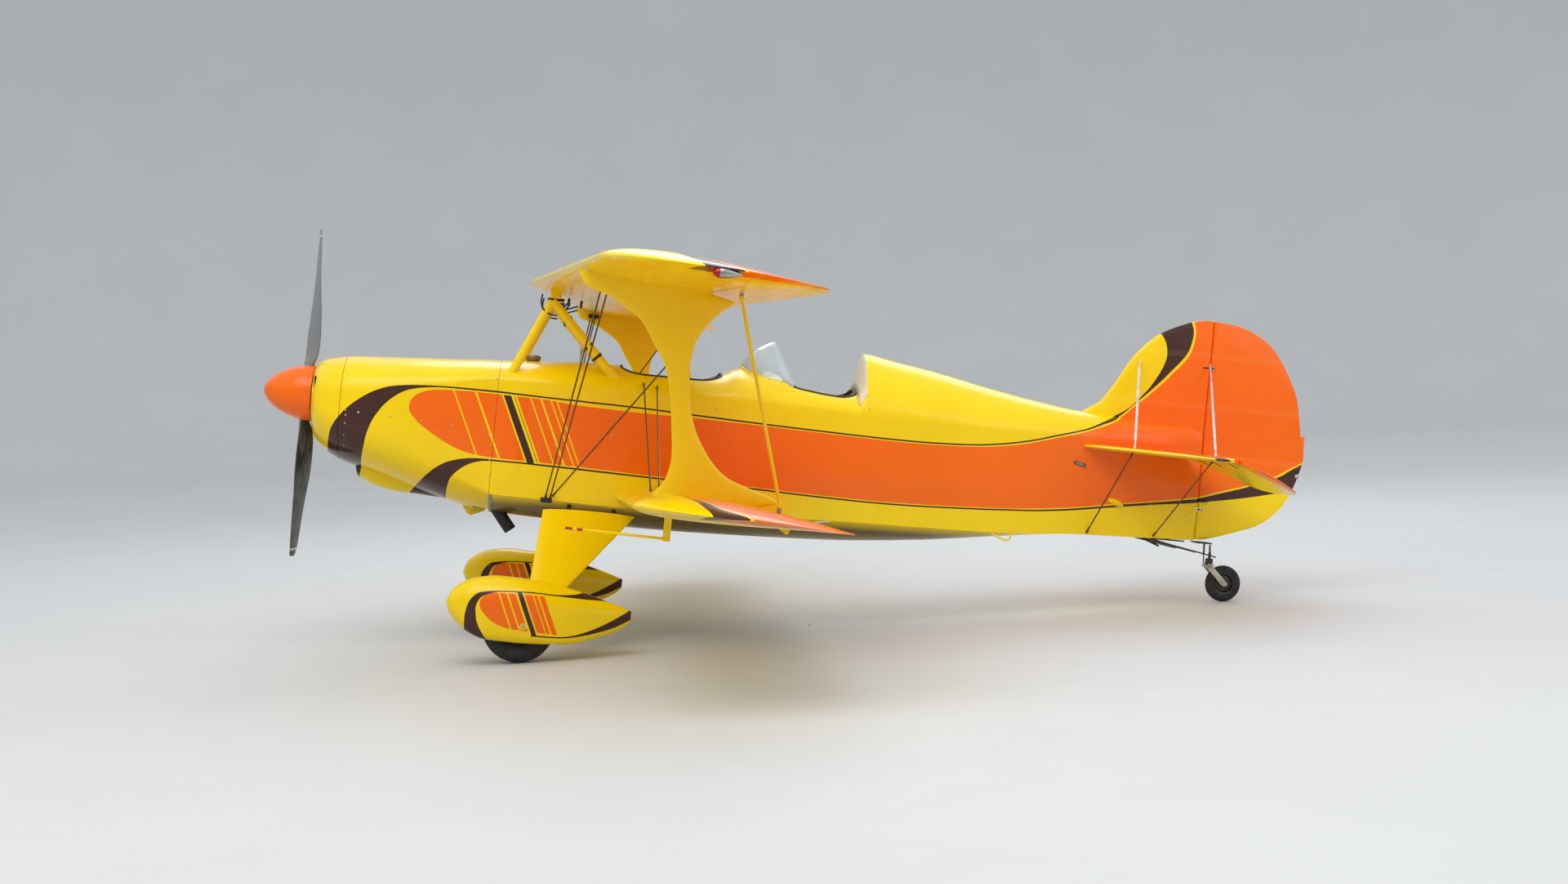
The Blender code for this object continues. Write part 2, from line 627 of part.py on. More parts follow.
AILERON_NOSE_R = 0.0315
PIN_R = 0.006
UPPER = Wing(1.176, 0.732, SWEEP_DEG, 0.0, 0.070, UPPER_HALF_SPAN, 3.16, 0.0)
LOWER = Wing(1.745, -0.418, 0.0, DIHEDRAL_DEG, 0.040, LOWER_HALF_SPAN, 3.16, 0.30)

upper_wing = loft("upper_wing", UPPER.rings("both"))
upper_skin = loft("upper_skin", UPPER.rings("both", 0.0004), cutter=True)
lower_wings = {}
lower_skins = {}
for side_name, side in (("left", -1), ("right", 1)):
    lower_wings[side] = loft("lower_wing_" + side_name, LOWER.rings(side_name))
    boolean(lower_wings[side], hull_cut)
    lower_skins[side] = loft("lower_skin_" + side_name, LOWER.rings(side_name, 0.0004), cutter=True)

EYE_UPPER = (0.070, -0.062)
EYE_LOWER = (0.034, 0.062)
LUG_HALF = 0.003
EYE_HALF = 0.0082
EYE_OFFSET = LUG_HALF + SEAT_GAP + EYE_HALF
LUG_SHIFT = 0.0065          # the lower lug stands this far inboard, clear of the strut's free eye


def hinge_frame(wing, side):
    """Frame on the aileron hinge at the slave strut, with Y along the hinge."""
    x, y, z = wing.hinge(SLAVE_Y)
    axis = Vector((side * wing.sweep, 1.0, side * wing.rise)).normalized()
    turn = Vector((0.0, 1.0, 0.0)).rotation_difference(axis).to_matrix().to_4x4()
    return Matrix.Translation((x, side * y, z)) @ turn


for wing, label in ((UPPER, "upper"), (LOWER, "lower")):
    for side_name, side in (("left", -1), ("right", 1)):
        bay = loft("bay_%s_%s" % (label, side_name), wing.aileron_cut(AILERON_IN, AILERON_OUT, side),
                   cutter=True)
        boolean(upper_wing if label == "upper" else lower_wings[side], bay)
        mid_y = 0.5 * (AILERON_IN + AILERON_OUT)
        hinge = wing.hinge(mid_y)
        origin = (hinge[0], side * mid_y, hinge[2])
        rings = [wing.aileron_ring(y, side, origin) for y in (AILERON_IN, mid_y, AILERON_OUT)]
        aileron = loft("aileron_%s_%s" % (label, side_name), rings, YELLOW, location=origin)
        for end, y, step in (("inner", AILERON_IN, -1), ("outer", AILERON_OUT, 1)):
            a = wing.hinge(y - step * 0.03)
            b = wing.hinge(y + step * (HINGE_GAP - SEAT_GAP))
            turns = [k * math.pi / 6 for k in range(12)]
            rings = [[(x - origin[0] + PIN_R * math.cos(t), side * span - origin[1],
                       z - origin[2] + PIN_R * math.sin(t)) for t in turns] for x, span, z in (a, b)]
            pin = loft("pin_%s_%s_%s" % (label, side_name, end), rings, cutter=True, location=origin)
            boolean(aileron, pin, "UNION")
        reach, drop = EYE_UPPER if label == "upper" else EYE_LOWER
        shift = 0.0 if label == "upper" else -side * LUG_SHIFT
        ends = sorted((math.copysign(0.02, drop), drop * 1.16))
        lug = block("lug_%s_%s" % (label, side_name), (reach - 0.010, shift - LUG_HALF, ends[0]),
                    (reach + 0.010, shift + LUG_HALF, ends[1]))
        lug.data.transform(hinge_frame(wing, side))
        boolean(aileron, lug, "UNION")

# Aileron slave struts: an eye lies beside the aileron's lug at each end
for side_name, side in (("left", -1), ("right", 1)):
    eyes = []
    for wing, (reach, drop) in ((UPPER, EYE_UPPER), (LOWER, EYE_LOWER)):
        frame = hinge_frame(wing, side)
        centre = frame @ Vector((reach, side * EYE_OFFSET, drop))
        eyes.append((centre, frame.to_3x3() @ Vector((0.0, EYE_HALF, 0.0))))
    top = eyes[0][0]
    strut = bar("aileron_slave_strut_" + side_name, (0.0, 0.0, 0.0), eyes[1][0] - top, 0.0080, 16,
                location=top, cutter=False)
    for number, (centre, half) in enumerate(eyes):
        eye = bar("eye_%d_%s" % (number, side_name), centre - top - half, centre - top + half, 0.012, 20,
                  location=top)
        boolean(strut, eye, "UNION")

# Interplane struts: each foot ends ahead of the aileron bay or stands clear over the aileron
FORE = smooth_table((-0.40, -0.33, -0.30, -0.266, -0.195, -0.101, 0.046, 0.192, 0.300, 0.405, 0.502, 0.566,
                     0.605, 0.63, 0.72),
                    (1.78, 1.81, 1.835, 1.858, 1.907, 1.924, 1.910, 1.889, 1.861, 1.796, 1.731, 1.633,
                     1.560, 1.48, 1.42))
AFT = smooth_table((-0.40, -0.291, -0.266, -0.246, -0.223, -0.170, -0.068, 0.055, 0.164, 0.311, 0.404, 0.501,
                    0.561, 0.605, 0.622, 0.652, 0.72),
                   (2.349, 2.349, 2.425, 2.405, 2.330, 2.183, 2.080, 2.013, 1.984, 1.971, 1.981, 2.027,
                    2.077, 2.130, 2.148, 2.041, 2.041))
for side_name, side in (("left", -1), ("right", 1)):
    rings = []
    heights = [-0.33, -0.291, -0.266, -0.246, -0.21, -0.15, -0.07, 0.05, 0.18, 0.31, 0.41, 0.50, 0.56, 0.60,
               0.622, 0.652, 0.72]
    for z in heights:
        front = FORE(z)
        back = AFT(z)
        ring = []
        for i in range(14):
            t = 2 * math.pi * i / 14
            x = 0.5 * (front + back) + 0.5 * (back - front) * math.cos(t)
            ring.append((x, side * STRUT_Y + 0.016 * math.sin(t), z))
        rings.append(ring)
    strut = loft("interplane_strut_" + side_name, rings)
    boolean(strut, upper_skin)
    boolean(strut, lower_skins[side])

# Cabane struts: front and rear legs meet under the upper wing
for side_name, side in (("left", -1), ("right", 1)):
    apex = Vector((1.306, side * 0.305, 0.640))
    cabane = block("cabane_" + side_name, apex + Vector((-0.030, -0.014, -0.045)),
                   apex + Vector((0.060, 0.014, 0.090)), cutter=False)
    for leg, foot, radius in (("fore", (1.105, side * 0.30, 0.180), 0.0245),
                              ("aft", (1.700, side * 0.30, 0.220), 0.0265)):
        tube = bar("cabane_%s_%s" % (leg, side_name), foot, apex + Vector((0.0, 0.0, -0.01)), radius, 20)
        boolean(cabane, tube, "UNION")
    boolean(cabane, hull_cut)
    boolean(cabane, upper_skin)

# Wing stays
STAY_R = 0.0042
for side_name, side in (("left", -1), ("right", 1)):
    stays = [("flying_wire_front_", (1.366, 0.33, -0.440), (1.545, 2.45, 0.700)),
             ("landing_wire_", (1.800, 0.33, 0.215), (1.860, 2.42, -0.330))]
    for name, p, q in stays:
        wire = bar(name + side_name, (p[0], side * p[1], p[2]), (q[0], side * q[1], q[2]), STAY_R, color=STEEL,
                   roughness=0.3, metallic=0.9, cutter=False)
        boolean(wire, hull_cut)
        boolean(wire, upper_skin)
        boolean(wire, lower_skins[side])

# Tail surfaces
FIN_EDGE = smooth_table((0.24, 0.322, 0.366, 0.452, 0.658, 0.789, 0.859, 0.886, 0.892),
                        (4.30, 4.402, 4.470, 4.534, 4.658, 4.790, 4.929, 5.010, 5.050))
RUDDER_EDGE = smooth_table((-0.372, -0.361, -0.315, -0.260, -0.133, 0.060, 0.157, 0.251, 0.485, 0.644, 0.760,
                            0.835, 0.883, 0.890),
                           (5.150, 5.196, 5.338, 5.479, 5.614, 5.693, 5.712, 5.688, 5.640, 5.560, 5.475,
                            5.370, 5.219, 5.150))
RUDDER_NOSE_R = 0.017
POST_FACE = RUDDER_HINGE_X - RUDDER_NOSE_R - HINGE_GAP


def fin_ring(z):
    """Fin section: round nose, straight sides to the post."""
    front = FIN_EDGE(z)
    ring = [(POST_FACE, 0.019, z), (POST_FACE, -0.019, z)]
    reach = POST_FACE - front
    for i in range(1, 12):
        t = math.pi * i / 12
        x = front + min(reach * 0.98, 0.16) * (1 - math.sin(t))
        ring.append((x, -0.019 * math.cos(t), z))
    return ring


FIN_Z = (0.16, 0.26, 0.31, 0.34, 0.37, 0.42, 0.50, 0.60, 0.70, 0.78, 0.83, 0.865, 0.882, 0.891)
fin = loft("fin", [fin_ring(z) for z in FIN_Z])
boolean(fin, hull_cut)


def rudder_ring(z):
    """Rudder section: round nose about the hinge, tapering to the trailing edge."""
    back = RUDDER_EDGE(z)
    ring = []
    for i in range(9):
        a = math.radians(90 + 22.5 * i)
        ring.append((RUDDER_NOSE_R * math.cos(a), RUDDER_NOSE_R * math.sin(a), z))
    reach = back - RUDDER_HINGE_X
    for t, w in ((0.5, -0.013), (0.9, -0.006), (1.0, -0.003), (1.0, 0.003), (0.9, 0.006), (0.5, 0.013)):
        ring.append((reach * t, w, z))
    return ring


RUDDER_AXIS = empty("rudder_axis", (RUDDER_HINGE_X, 0.0, 0.0), STANCE)
RUDDER_Z = (-0.372, -0.364, -0.335, -0.28, -0.20, -0.10, 0.03, 0.157, 0.25, 0.40, 0.53, 0.64, 0.73, 0.80, 0.85,
            0.88, 0.889)
rudder = loft("rudder", [rudder_ring(z) for z in RUDDER_Z], ORANGE, parent=RUDDER_AXIS)
for number, (z, target) in enumerate(((-0.20, fuselage), (0.62, fin))):
    label = "_%d" % number
    boolean(rudder, block("rudder_notch" + label, (-0.04, -0.03, z - 0.014), (0.016, 0.03, z + 0.014),
                          parent=RUDDER_AXIS))
    boolean(rudder, bar("rudder_pin" + label, (0.0, 0.0, z - 0.03), (0.0, 0.0, z + 0.03), 0.0035, 16,
                        parent=RUDDER_AXIS), "UNION")
    boolean(target, block("rudder_tab" + label, (-0.06, -0.007, z - 0.004), (0.008, 0.007, z + 0.004),
                          parent=RUDDER_AXIS), "UNION")
    boolean(target, bar("rudder_hole" + label, (0.0, 0.0, z - 0.02), (0.0, 0.0, z + 0.02), 0.0038, 16,
                        parent=RUDDER_AXIS))
trim = block("rudder_trim", (0.52, -0.0022, 0.115), (0.622, 0.0022, 0.275), parent=RUDDER_AXIS)
boolean(rudder, trim, "UNION")


STAB_EDGE = smooth_table((0.0, 0.15, 0.40, 0.70, 1.00, 1.10, 1.17, 1.20),
                         (4.285, 4.348, 4.470, 4.650, 4.850, 4.905, 4.940, 4.965))
STAB_Y = (0.01, 0.15, 0.30, 0.50, 0.70, 0.90, 1.00, 1.08, 1.13, 1.16)
ELEVATOR_CHORD = smooth_table((0.09, 0.17, 0.30, 0.60, 0.90, 1.05, 1.14, 1.19),
                              (0.07, 0.24, 0.40, 0.43, 0.41, 0.37, 0.27, 0.13))
ELEVATOR_Y = (0.09, 0.13, 0.17, 0.23, 0.30, 0.45, 0.60, 0.75, 0.90, 1.00, 1.06, 1.11, 1.15, 1.18, 1.195)


def stab_ring(y, side):
    """Tailplane section ahead of the elevator."""
    back = ELEVATOR_HINGE[0] - 0.014 - HINGE_GAP
    front = min(STAB_EDGE(y), back - 0.012)
    ring = [(back, side * y, ELEVATOR_HINGE[1] + 0.0145), (back, side * y, ELEVATOR_HINGE[1] - 0.0145)]
    for i in range(1, 10):
        t = math.pi * i / 10
        x = front + min(back - front - 0.004, 0.11) * (1 - math.sin(t))
        ring.append((x, side * y, ELEVATOR_HINGE[1] - 0.0145 * math.cos(t)))
    return ring


def elevator_ring(y, back, side):
    """Elevator section about its hinge line."""
    ring = []
    for i in range(9):
        a = math.radians(90 + 22.5 * i)
        ring.append((0.014 * math.cos(a), side * y, 0.014 * math.sin(a)))
    for t, w in ((0.5, -0.011), (0.9, -0.006), (1.0, -0.003), (1.0, 0.003), (0.9, 0.006), (0.5, 0.011)):
        ring.append((back * t, side * y, w))
    return ring


ELEVATOR_AXIS = empty("elevator_axis", (ELEVATOR_HINGE[0], 0.0, ELEVATOR_HINGE[1]), STANCE)
boolean(fuselage, bar("elevator_bore", (0.0, -0.2, 0.0), (0.0, 0.2, 0.0), 0.0096, 20, parent=ELEVATOR_AXIS))
for side_name, side in (("left", -1), ("right", 1)):
    stabilizer = loft("stabilizer_" + side_name, [stab_ring(y, side) for y in STAB_Y])
    boolean(stabilizer, hull_cut)
    elevator = loft("elevator_" + side_name, [elevator_ring(y, ELEVATOR_CHORD(y), side) for y in ELEVATOR_Y],
                    YELLOW, parent=ELEVATOR_AXIS)
    elevator.rotation_euler = (0.0, math.radians(ELEVATOR_DROOP_DEG), 0.0)
    tube = bar("elevator_tube_" + side_name, (0.0, side * 0.004, 0.0), (0.0, side * 0.20, 0.0), 0.009, 20,
               parent=ELEVATOR_AXIS)
    boolean(elevator, tube, "UNION")
    brace = bar("tail_brace_" + side_name, (5.060, side * 0.005, 0.626), (4.945, side * 0.80, 0.100), STAY_R,
                color=STEEL, roughness=0.3, metallic=0.9, cutter=False)
    boolean(brace, hull_cut)
    skin_rings = [[(x, py, z + (SEAT_GAP if z > ELEVATOR_HINGE[1] else -SEAT_GAP)) for x, py, z in
                   stab_ring(y, side)] for y in (0.01, 0.50, 0.70, 0.90, 1.00)]
    boolean(brace, loft("stabilizer_skin_" + side_name, skin_rings, cutter=True))
    boolean(brace, block("fin_skin_" + side_name, (4.6, -0.0193, 0.4), (5.2, 0.0193, 0.8)))

# Main undercarriage
WHEEL_STEPS = 28
TAIL_WHEEL_STEPS = 24
PANT_TOP = smooth_table((0.907, 0.925, 0.96, 1.05, 1.182, 1.35, 1.55, 1.75, 1.867),
                        (-0.997, -0.945, -0.905, -0.858, -0.839, -0.846, -0.878, -0.930, -0.967))
PANT_LOW = smooth_table((0.907, 0.925, 0.96, 1.03, 1.13, 1.30, 1.525, 1.70, 1.833, 1.867),
                        (-0.997, -1.046, -1.087, -1.138, -1.168, -1.173, -1.164, -1.120, -1.055, -1.020))
PANT_HALF = smooth_table((0.907, 0.925, 0.96, 1.03, 1.13, 1.30, 1.50, 1.70, 1.867),
                         (0.012, 0.052, 0.082, 0.112, 0.130, 0.135, 0.112, 0.062, 0.012))


def pant_ring(x, side, grow=0.0):
    """Wheel fairing section."""
    top = PANT_TOP(x) + grow
    low = PANT_LOW(x) - grow
    half = PANT_HALF(x) + grow
    ring = []
    for i in range(20):
        a = 2 * math.pi * i / 20
        c = math.cos(a)
        s = math.sin(a)
        power = 2.0 / 2.4
        y = half * math.copysign(abs(c)**power, c)
        z = 0.5 * (top + low) + 0.5 * (top - low) * math.copysign(abs(s)**power, s)
        ring.append((x, side * TRACK_HALF + y, z))
    return ring


PANT_X = (0.907, 0.914, 0.935, 0.97, 1.02, 1.10, 1.20, 1.32, 1.45, 1.58, 1.72, 1.82, 1.867)
for side_name, side in (("left", -1), ("right", 1)):
    pant = loft("wheel_pant_" + side_name, [pant_ring(x, side) for x in PANT_X])
    well_ends = [(WHEEL_X, side * TRACK_HALF + y, WHEEL_Z) for y in (-0.088, 0.088)]
    boolean(pant, bar("wheel_well_" + side_name, *well_ends, TYRE_R + 0.022, 36))
    pant_skin = loft("pant_skin_" + side_name, [pant_ring(x, side, SEAT_GAP) for x in PANT_X], cutter=True)
    leg_rings = []
    for t in (-0.10, 0.0, 0.25, 0.5, 0.75, 1.0, 1.12):
        front = (1.365 + (1.326 - 1.365) * t, 0.315 + (0.90 - 0.315) * t, -0.445 + (-0.870 + 0.445) * t)
        back = (1.880 + (1.515 - 1.880) * t, 0.315 + (0.90 - 0.315) * t, -0.490 + (-0.885 + 0.490) * t)
        ring = []
        for i in range(20):
            a = 2 * math.pi * i / 20
            m = 0.5 + 0.5 * math.cos(a)
            x = front[0] + (back[0] - front[0]) * m
            y = front[1] + (back[1] - front[1]) * m
            z = front[2] + (back[2] - front[2]) * m
            off = 0.017 * math.sin(a)
            ring.append((x, side * (y + off * 0.588), z + off * 0.809))
        leg_rings.append(ring)
    leg = loft("gear_leg_" + side_name, leg_rings)
    boolean(leg, hull_cut)
    boolean(leg, pant_skin)
    axle_ends = [(WHEEL_X, side * TRACK_HALF + y, WHEEL_Z) for y in (-0.0877, 0.0877)]
    bar("axle_" + side_name, *axle_ends, 0.016, 24, color=STEEL, roughness=0.35, metallic=0.9, cutter=False)
    centre = (WHEEL_X, side * TRACK_HALF, WHEEL_Z)
    w = TYRE_W / 2
    tyre_half = [(0.090, w * 0.78), (0.115, w * 0.97), (0.145, w), (0.172, w * 0.82), (0.187, w * 0.44)]
    turned("tyre_" + side_name, tyre_half + [(TYRE_R, 0.0)] + [(r, -h) for r, h in tyre_half[::-1]],
           RUBBER, STANCE, centre, on_axle(WHEEL_STEPS), WHEEL_STEPS, roughness=0.85)
    rim_half = [(0.0165, 0.052), (0.036, 0.052), (0.040, 0.020), (0.076, 0.022), (0.0897, w * 0.78)]
    turned("wheel_" + side_name, rim_half + [(r, -h) for r, h in rim_half[::-1]], ALLOY, STANCE, centre,
           on_axle(WHEEL_STEPS), WHEEL_STEPS, roughness=0.4, metallic=0.7)

# Tailwheel
LEAF = [(4.76, -0.384, 0.020, 0.012), (4.84, -0.397, 0.020, 0.012), (4.95, -0.418, 0.020, 0.010),
        (5.06, -0.436, 0.019, 0.008), (5.15, -0.452, 0.018, 0.008), (5.245, -0.470, 0.018, 0.008)]
spring = loft("tail_spring", [[(x, y, z) for y, z in ((-h, c - t), (h, c - t), (h, c + t), (-h, c + t))]
                              for x, c, h, t in LEAF], STEEL, roughness=0.5, metallic=0.6)
boolean(spring, hull_cut)
SWIVEL = empty("tailwheel_swivel_axis", (SWIVEL_X, 0.0, -0.500), STANCE)
boolean(spring, bar("spring_hole", (0.0, 0.0, -0.1), (0.0, 0.0, 0.2), 0.0085, 20, parent=SWIVEL))
fork = bar("tailwheel_fork", (0.0, 0.0, -0.028), (0.0, 0.0, 0.0235), 0.022, 24, color=STEEL, parent=SWIVEL,
           roughness=0.45, metallic=0.7, cutter=False)
axle_x = TAIL_AXLE[0] - SWIVEL_X
axle_z = TAIL_AXLE[1] + 0.500
boolean(fork, bar("fork_stem", (0.0, 0.0, 0.0), (0.0, 0.0, 0.058), 0.008, 20, parent=SWIVEL), "UNION")
boolean(fork, block("fork_crown", (-0.030, -0.039, -0.028), (0.014, 0.039, -0.014), parent=SWIVEL), "UNION")
for label, inner, outer in (("right", 0.031, 0.039), ("left", -0.039, -0.031)):
    arm = [[(-0.028, y, -0.020), (0.012, y, -0.016), (axle_x + 0.016, y, axle_z - 0.014),
            (axle_x - 0.020, y, axle_z - 0.012)] for y in (inner, outer)]
    boolean(fork, loft("fork_arm_" + label, arm, cutter=True, parent=SWIVEL), "UNION")
boolean(fork, bar("fork_axle", (axle_x, -0.035, axle_z), (axle_x, 0.035, axle_z), 0.0080, 20, parent=SWIVEL),
        "UNION")
boolean(fork, block("steering_arm", (-0.012, -0.085, -0.014), (0.012, 0.085, -0.006), parent=SWIVEL), "UNION")
turned("tail_wheel", [(0.0085, 0.024), (0.045, 0.024), (0.060, 0.0245), (0.085, 0.024), (0.099, 0.014),
                      (TAIL_TYRE_R, 0.0), (0.099, -0.014), (0.085, -0.024), (0.060, -0.0245), (0.045, -0.024),
                      (0.0085, -0.024)], RUBBER, SWIVEL, (axle_x, 0.0, axle_z), on_axle(TAIL_WHEEL_STEPS),
       TAIL_WHEEL_STEPS, roughness=0.8)

# Pitot tube under the left lower wing
pitot = solid("pitot_tube", lambda bm: loft_into(bm, [
    [(1.935 + c * math.cos(2 * math.pi * i / 16), -2.60 + 0.007 * math.sin(2 * math.pi * i / 16), z)
     for i in range(16)] for z, c in ((-0.468, 0.016), (-0.300, 0.019))]), YELLOW)
boolean(pitot, bar("pitot_arm", (1.470, -2.60, -0.452), (1.948, -2.60, -0.462), 0.0075, 16), "UNION")
boolean(pitot, lower_skins[-1])
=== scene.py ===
# %% [markdown]
# # Open-cockpit biplane, dressed on its CAD frame
#
# The imported model gives the frame: its bodies, nodes and joints. Every piece below is shaped in the
# airframe frame (x aft of the propeller hub, y to starboard, z above the thrust line) and is then laid
# in the ground frame, where the aeroplane stands nose up on its three wheels. Each piece rides on its
# body, and where it stands for a CAD node, that node is hidden.

import math

import bmesh
import bpy
import numpy as np
from mathutils import Matrix, Vector
from mathutils.bvhtree import BVHTree


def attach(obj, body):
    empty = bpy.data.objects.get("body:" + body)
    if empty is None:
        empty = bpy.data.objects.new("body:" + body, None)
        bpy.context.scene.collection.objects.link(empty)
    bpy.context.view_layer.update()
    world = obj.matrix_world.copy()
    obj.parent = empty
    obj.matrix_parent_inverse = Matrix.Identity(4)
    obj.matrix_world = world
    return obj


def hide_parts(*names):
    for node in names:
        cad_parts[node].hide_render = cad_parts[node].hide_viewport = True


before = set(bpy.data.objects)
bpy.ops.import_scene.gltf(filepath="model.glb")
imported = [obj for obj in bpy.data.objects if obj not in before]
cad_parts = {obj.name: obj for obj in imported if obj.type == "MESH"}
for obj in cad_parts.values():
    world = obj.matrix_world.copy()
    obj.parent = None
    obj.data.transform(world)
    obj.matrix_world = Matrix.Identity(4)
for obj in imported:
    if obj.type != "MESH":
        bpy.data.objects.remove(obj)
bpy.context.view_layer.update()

# %% [markdown]
# ## Camera
# It stands to port of the aeroplane, a little under head height, with a slight roll. The numbers come
# from fitting the hub, the wheels, the fin and the wing tips to the picture's 1920 by 1082 frame. A
# constraint that tracks a target would be simpler but leaves no room for the roll, so its axes are built.

# %% Camera
CAMERA_AT = (-1.3017, -12.388, 1.442)
CAMERA_YAW = math.radians(5.556)        # from +Y towards +X
CAMERA_PITCH = math.radians(-1.808)
CAMERA_ROLL = math.radians(2.609)       # clockwise
CAMERA_LENS = 50.30                     # mm on a sensor 36 mm wide


def linked(name, data):
    """New object in the scene that shows a mesh, a lamp or a camera."""
    obj = bpy.data.objects.new(name, data)
    bpy.context.scene.collection.objects.link(obj)
    return obj


def make_camera():
    """Camera whose axes are built from yaw, pitch and roll."""
    ahead = Vector((math.sin(CAMERA_YAW) * math.cos(CAMERA_PITCH),
                    math.cos(CAMERA_YAW) * math.cos(CAMERA_PITCH), math.sin(CAMERA_PITCH)))
    level = Vector((math.cos(CAMERA_YAW), -math.sin(CAMERA_YAW), 0.0))
    over = level.cross(ahead)
    right = math.cos(CAMERA_ROLL) * level - math.sin(CAMERA_ROLL) * over
    top = math.sin(CAMERA_ROLL) * level + math.cos(CAMERA_ROLL) * over
    camera = linked("camera", bpy.data.cameras.new("camera"))
    turn = Matrix((right, top, -ahead)).transposed().to_4x4()
    camera.matrix_world = Matrix.Translation(CAMERA_AT) @ turn
    camera.data.lens = CAMERA_LENS
    camera.data.sensor_width = 36.0
    camera.data.sensor_fit = "HORIZONTAL"
    camera.data.clip_end = 200.0
    bpy.context.scene.camera = camera


make_camera()
print("camera", tuple(round(c, 3) for c in bpy.context.scene.camera.location))

# %% [markdown]
# ## Dimensions
# The same driving values as the CAD source, in metres and degrees. They stand in one place, so that a
# hinge, its gap and the surface that swings on it always agree.

# %% Driving dimensions and livery colours
STANCE = math.radians(8.0)
HUB_X = -2.7447
HUB_Z = 1.451
PROP_RADIUS = 0.912
BLADE_X = -0.004
FIREWALL_X = 1.058
COWL_FRONT_X = 0.216
DECK_STEP_X = 3.048         # behind it the deck is raised for the headrest
TAIL_POST_X = 5.097
WING_CHORD = 0.945
SECTION_THICK = 0.110
SECTION_CAMBER = 0.017
HINGE_FRACTION = 0.680
HINGE_GAP = 0.006
AILERON_NOSE_R = 0.0315
AILERON_IN = 1.62
AILERON_OUT = 3.12
STRUT_Y = 2.50
SLAVE_Y = 2.62
TRACK_HALF = 0.94
WHEEL_X = 1.2905
WHEEL_Z = -1.0920
TYRE_R = 0.190
TYRE_W = 0.130
TAIL_AXLE = (5.304, -0.614)
SWIVEL_X = 5.211
RUDDER_HINGE_X = 5.120
ELEVATOR_HINGE = (4.985, 0.108)
ELEVATOR_DROOP = math.radians(22.0)

YELLOW = (0.96, 0.66, 0.0015)
ORANGE = (0.97, 0.15, 0.001)
BROWN = (0.060, 0.022, 0.016)

# %% [markdown]
# ## Tools: the stance, smooth tables and surfaces
# A surface is a grid of points: rows of equal length, joined by quads and closed at both ends. A coarse
# cage with Subdivision Surface could give most of these forms, but sections drawn from smooth tables are
# exact at every station, and numpy works out a whole ring at once.

# %% Stance and smooth curves


def stand(points):
    """Airframe frame to ground frame: turned by the stance about the hub, then moved to the hub."""
    points = np.asarray(points, float)
    out = np.empty_like(points)
    out[..., 0] = HUB_X + points[..., 0] * math.cos(STANCE) + points[..., 2] * math.sin(STANCE)
    out[..., 1] = points[..., 1]
    out[..., 2] = HUB_Z - points[..., 0] * math.sin(STANCE) + points[..., 2] * math.cos(STANCE)
    return out


def smooth_table(xs, ys):
    """Monotone cubic through table points: between two points the curve keeps their slopes."""
    xs = np.asarray(xs, float)
    ys = np.asarray(ys, float)
    step = np.diff(xs)
    slope = np.diff(ys) / step
    tangent = np.zeros(len(xs))
    tangent[0] = slope[0]
    tangent[-1] = slope[-1]
    for i in range(1, len(xs) - 1):
        if slope[i - 1] * slope[i] > 0.0:
            w1 = 2.0 * step[i] + step[i - 1]
            w2 = step[i] + 2.0 * step[i - 1]
            tangent[i] = (w1 + w2) / (w1 / slope[i - 1] + w2 / slope[i])

    def value(x):
        i = np.clip(np.searchsorted(xs, x) - 1, 0, len(step) - 1)
        t = (x - xs[i]) / step[i]
        return ((2 * t**3 - 3 * t**2 + 1) * ys[i] + (t**3 - 2 * t**2 + t) * step[i] * tangent[i]
                + (-2 * t**3 + 3 * t**2) * ys[i + 1] + (t**3 - t**2) * step[i] * tangent[i + 1])

    return value


def fitted(table):
    """One smooth table for each column of a table after the first, all over the first."""
    stations, *columns = zip(*table)
    return [smooth_table(stations, column) for column in columns]


def smooth_path(points, per):
    """Catmull-Rom curve through points: each span blends the two chords that meet at its ends."""
    points = np.asarray(points, float)
    out = []
    for i in range(len(points) - 1):
        p1, p2 = points[i], points[i + 1]
        p0 = points[i - 1] if i else 2 * p1 - p2
        p3 = points[i + 2] if i + 2 < len(points) else 2 * p2 - p1
        for t in (k / per for k in range(per)):
            out.append(0.5 * (2 * p1 + (p2 - p0) * t + (2 * p0 - 5 * p1 + 4 * p2 - p3) * t * t
                              + (3 * p1 - p0 - 3 * p2 + p3) * t**3))
    return np.array(out + [points[-1]])

# %% Grids of points into closed surfaces


def sheet_grid(rows, wrap=True):
    """Quads between rows of points; wrap joins the last point of a row to its first."""
    rows = np.asarray(rows, float)
    count, length = rows.shape[:2]
    i = np.arange(count - 1)[:, None] * length
    j = np.arange(length if wrap else length - 1)[None, :]
    k = (j + 1) % length
    faces = np.stack([i + j, i + k, i + k + length, i + j + length], -1).reshape(-1, 4)
    return rows.reshape(-1, 3), faces.tolist()


def skin(rows):
    """Closed surface through rings of equal length, with a flat face on each end."""
    points, faces = sheet_grid(rows)
    length = np.asarray(rows).shape[1]
    last = len(points) - length
    return points, faces + [list(range(length))[::-1], list(range(last, last + length))]


def join(*parts):
    """Several (points, faces) as one."""
    points = []
    faces = []
    start = 0
    for part_points, part_faces in parts:
        points.append(np.asarray(part_points, float))
        faces += [[start + i for i in face] for face in part_faces]
        start += len(part_points)
    return np.concatenate(points), faces


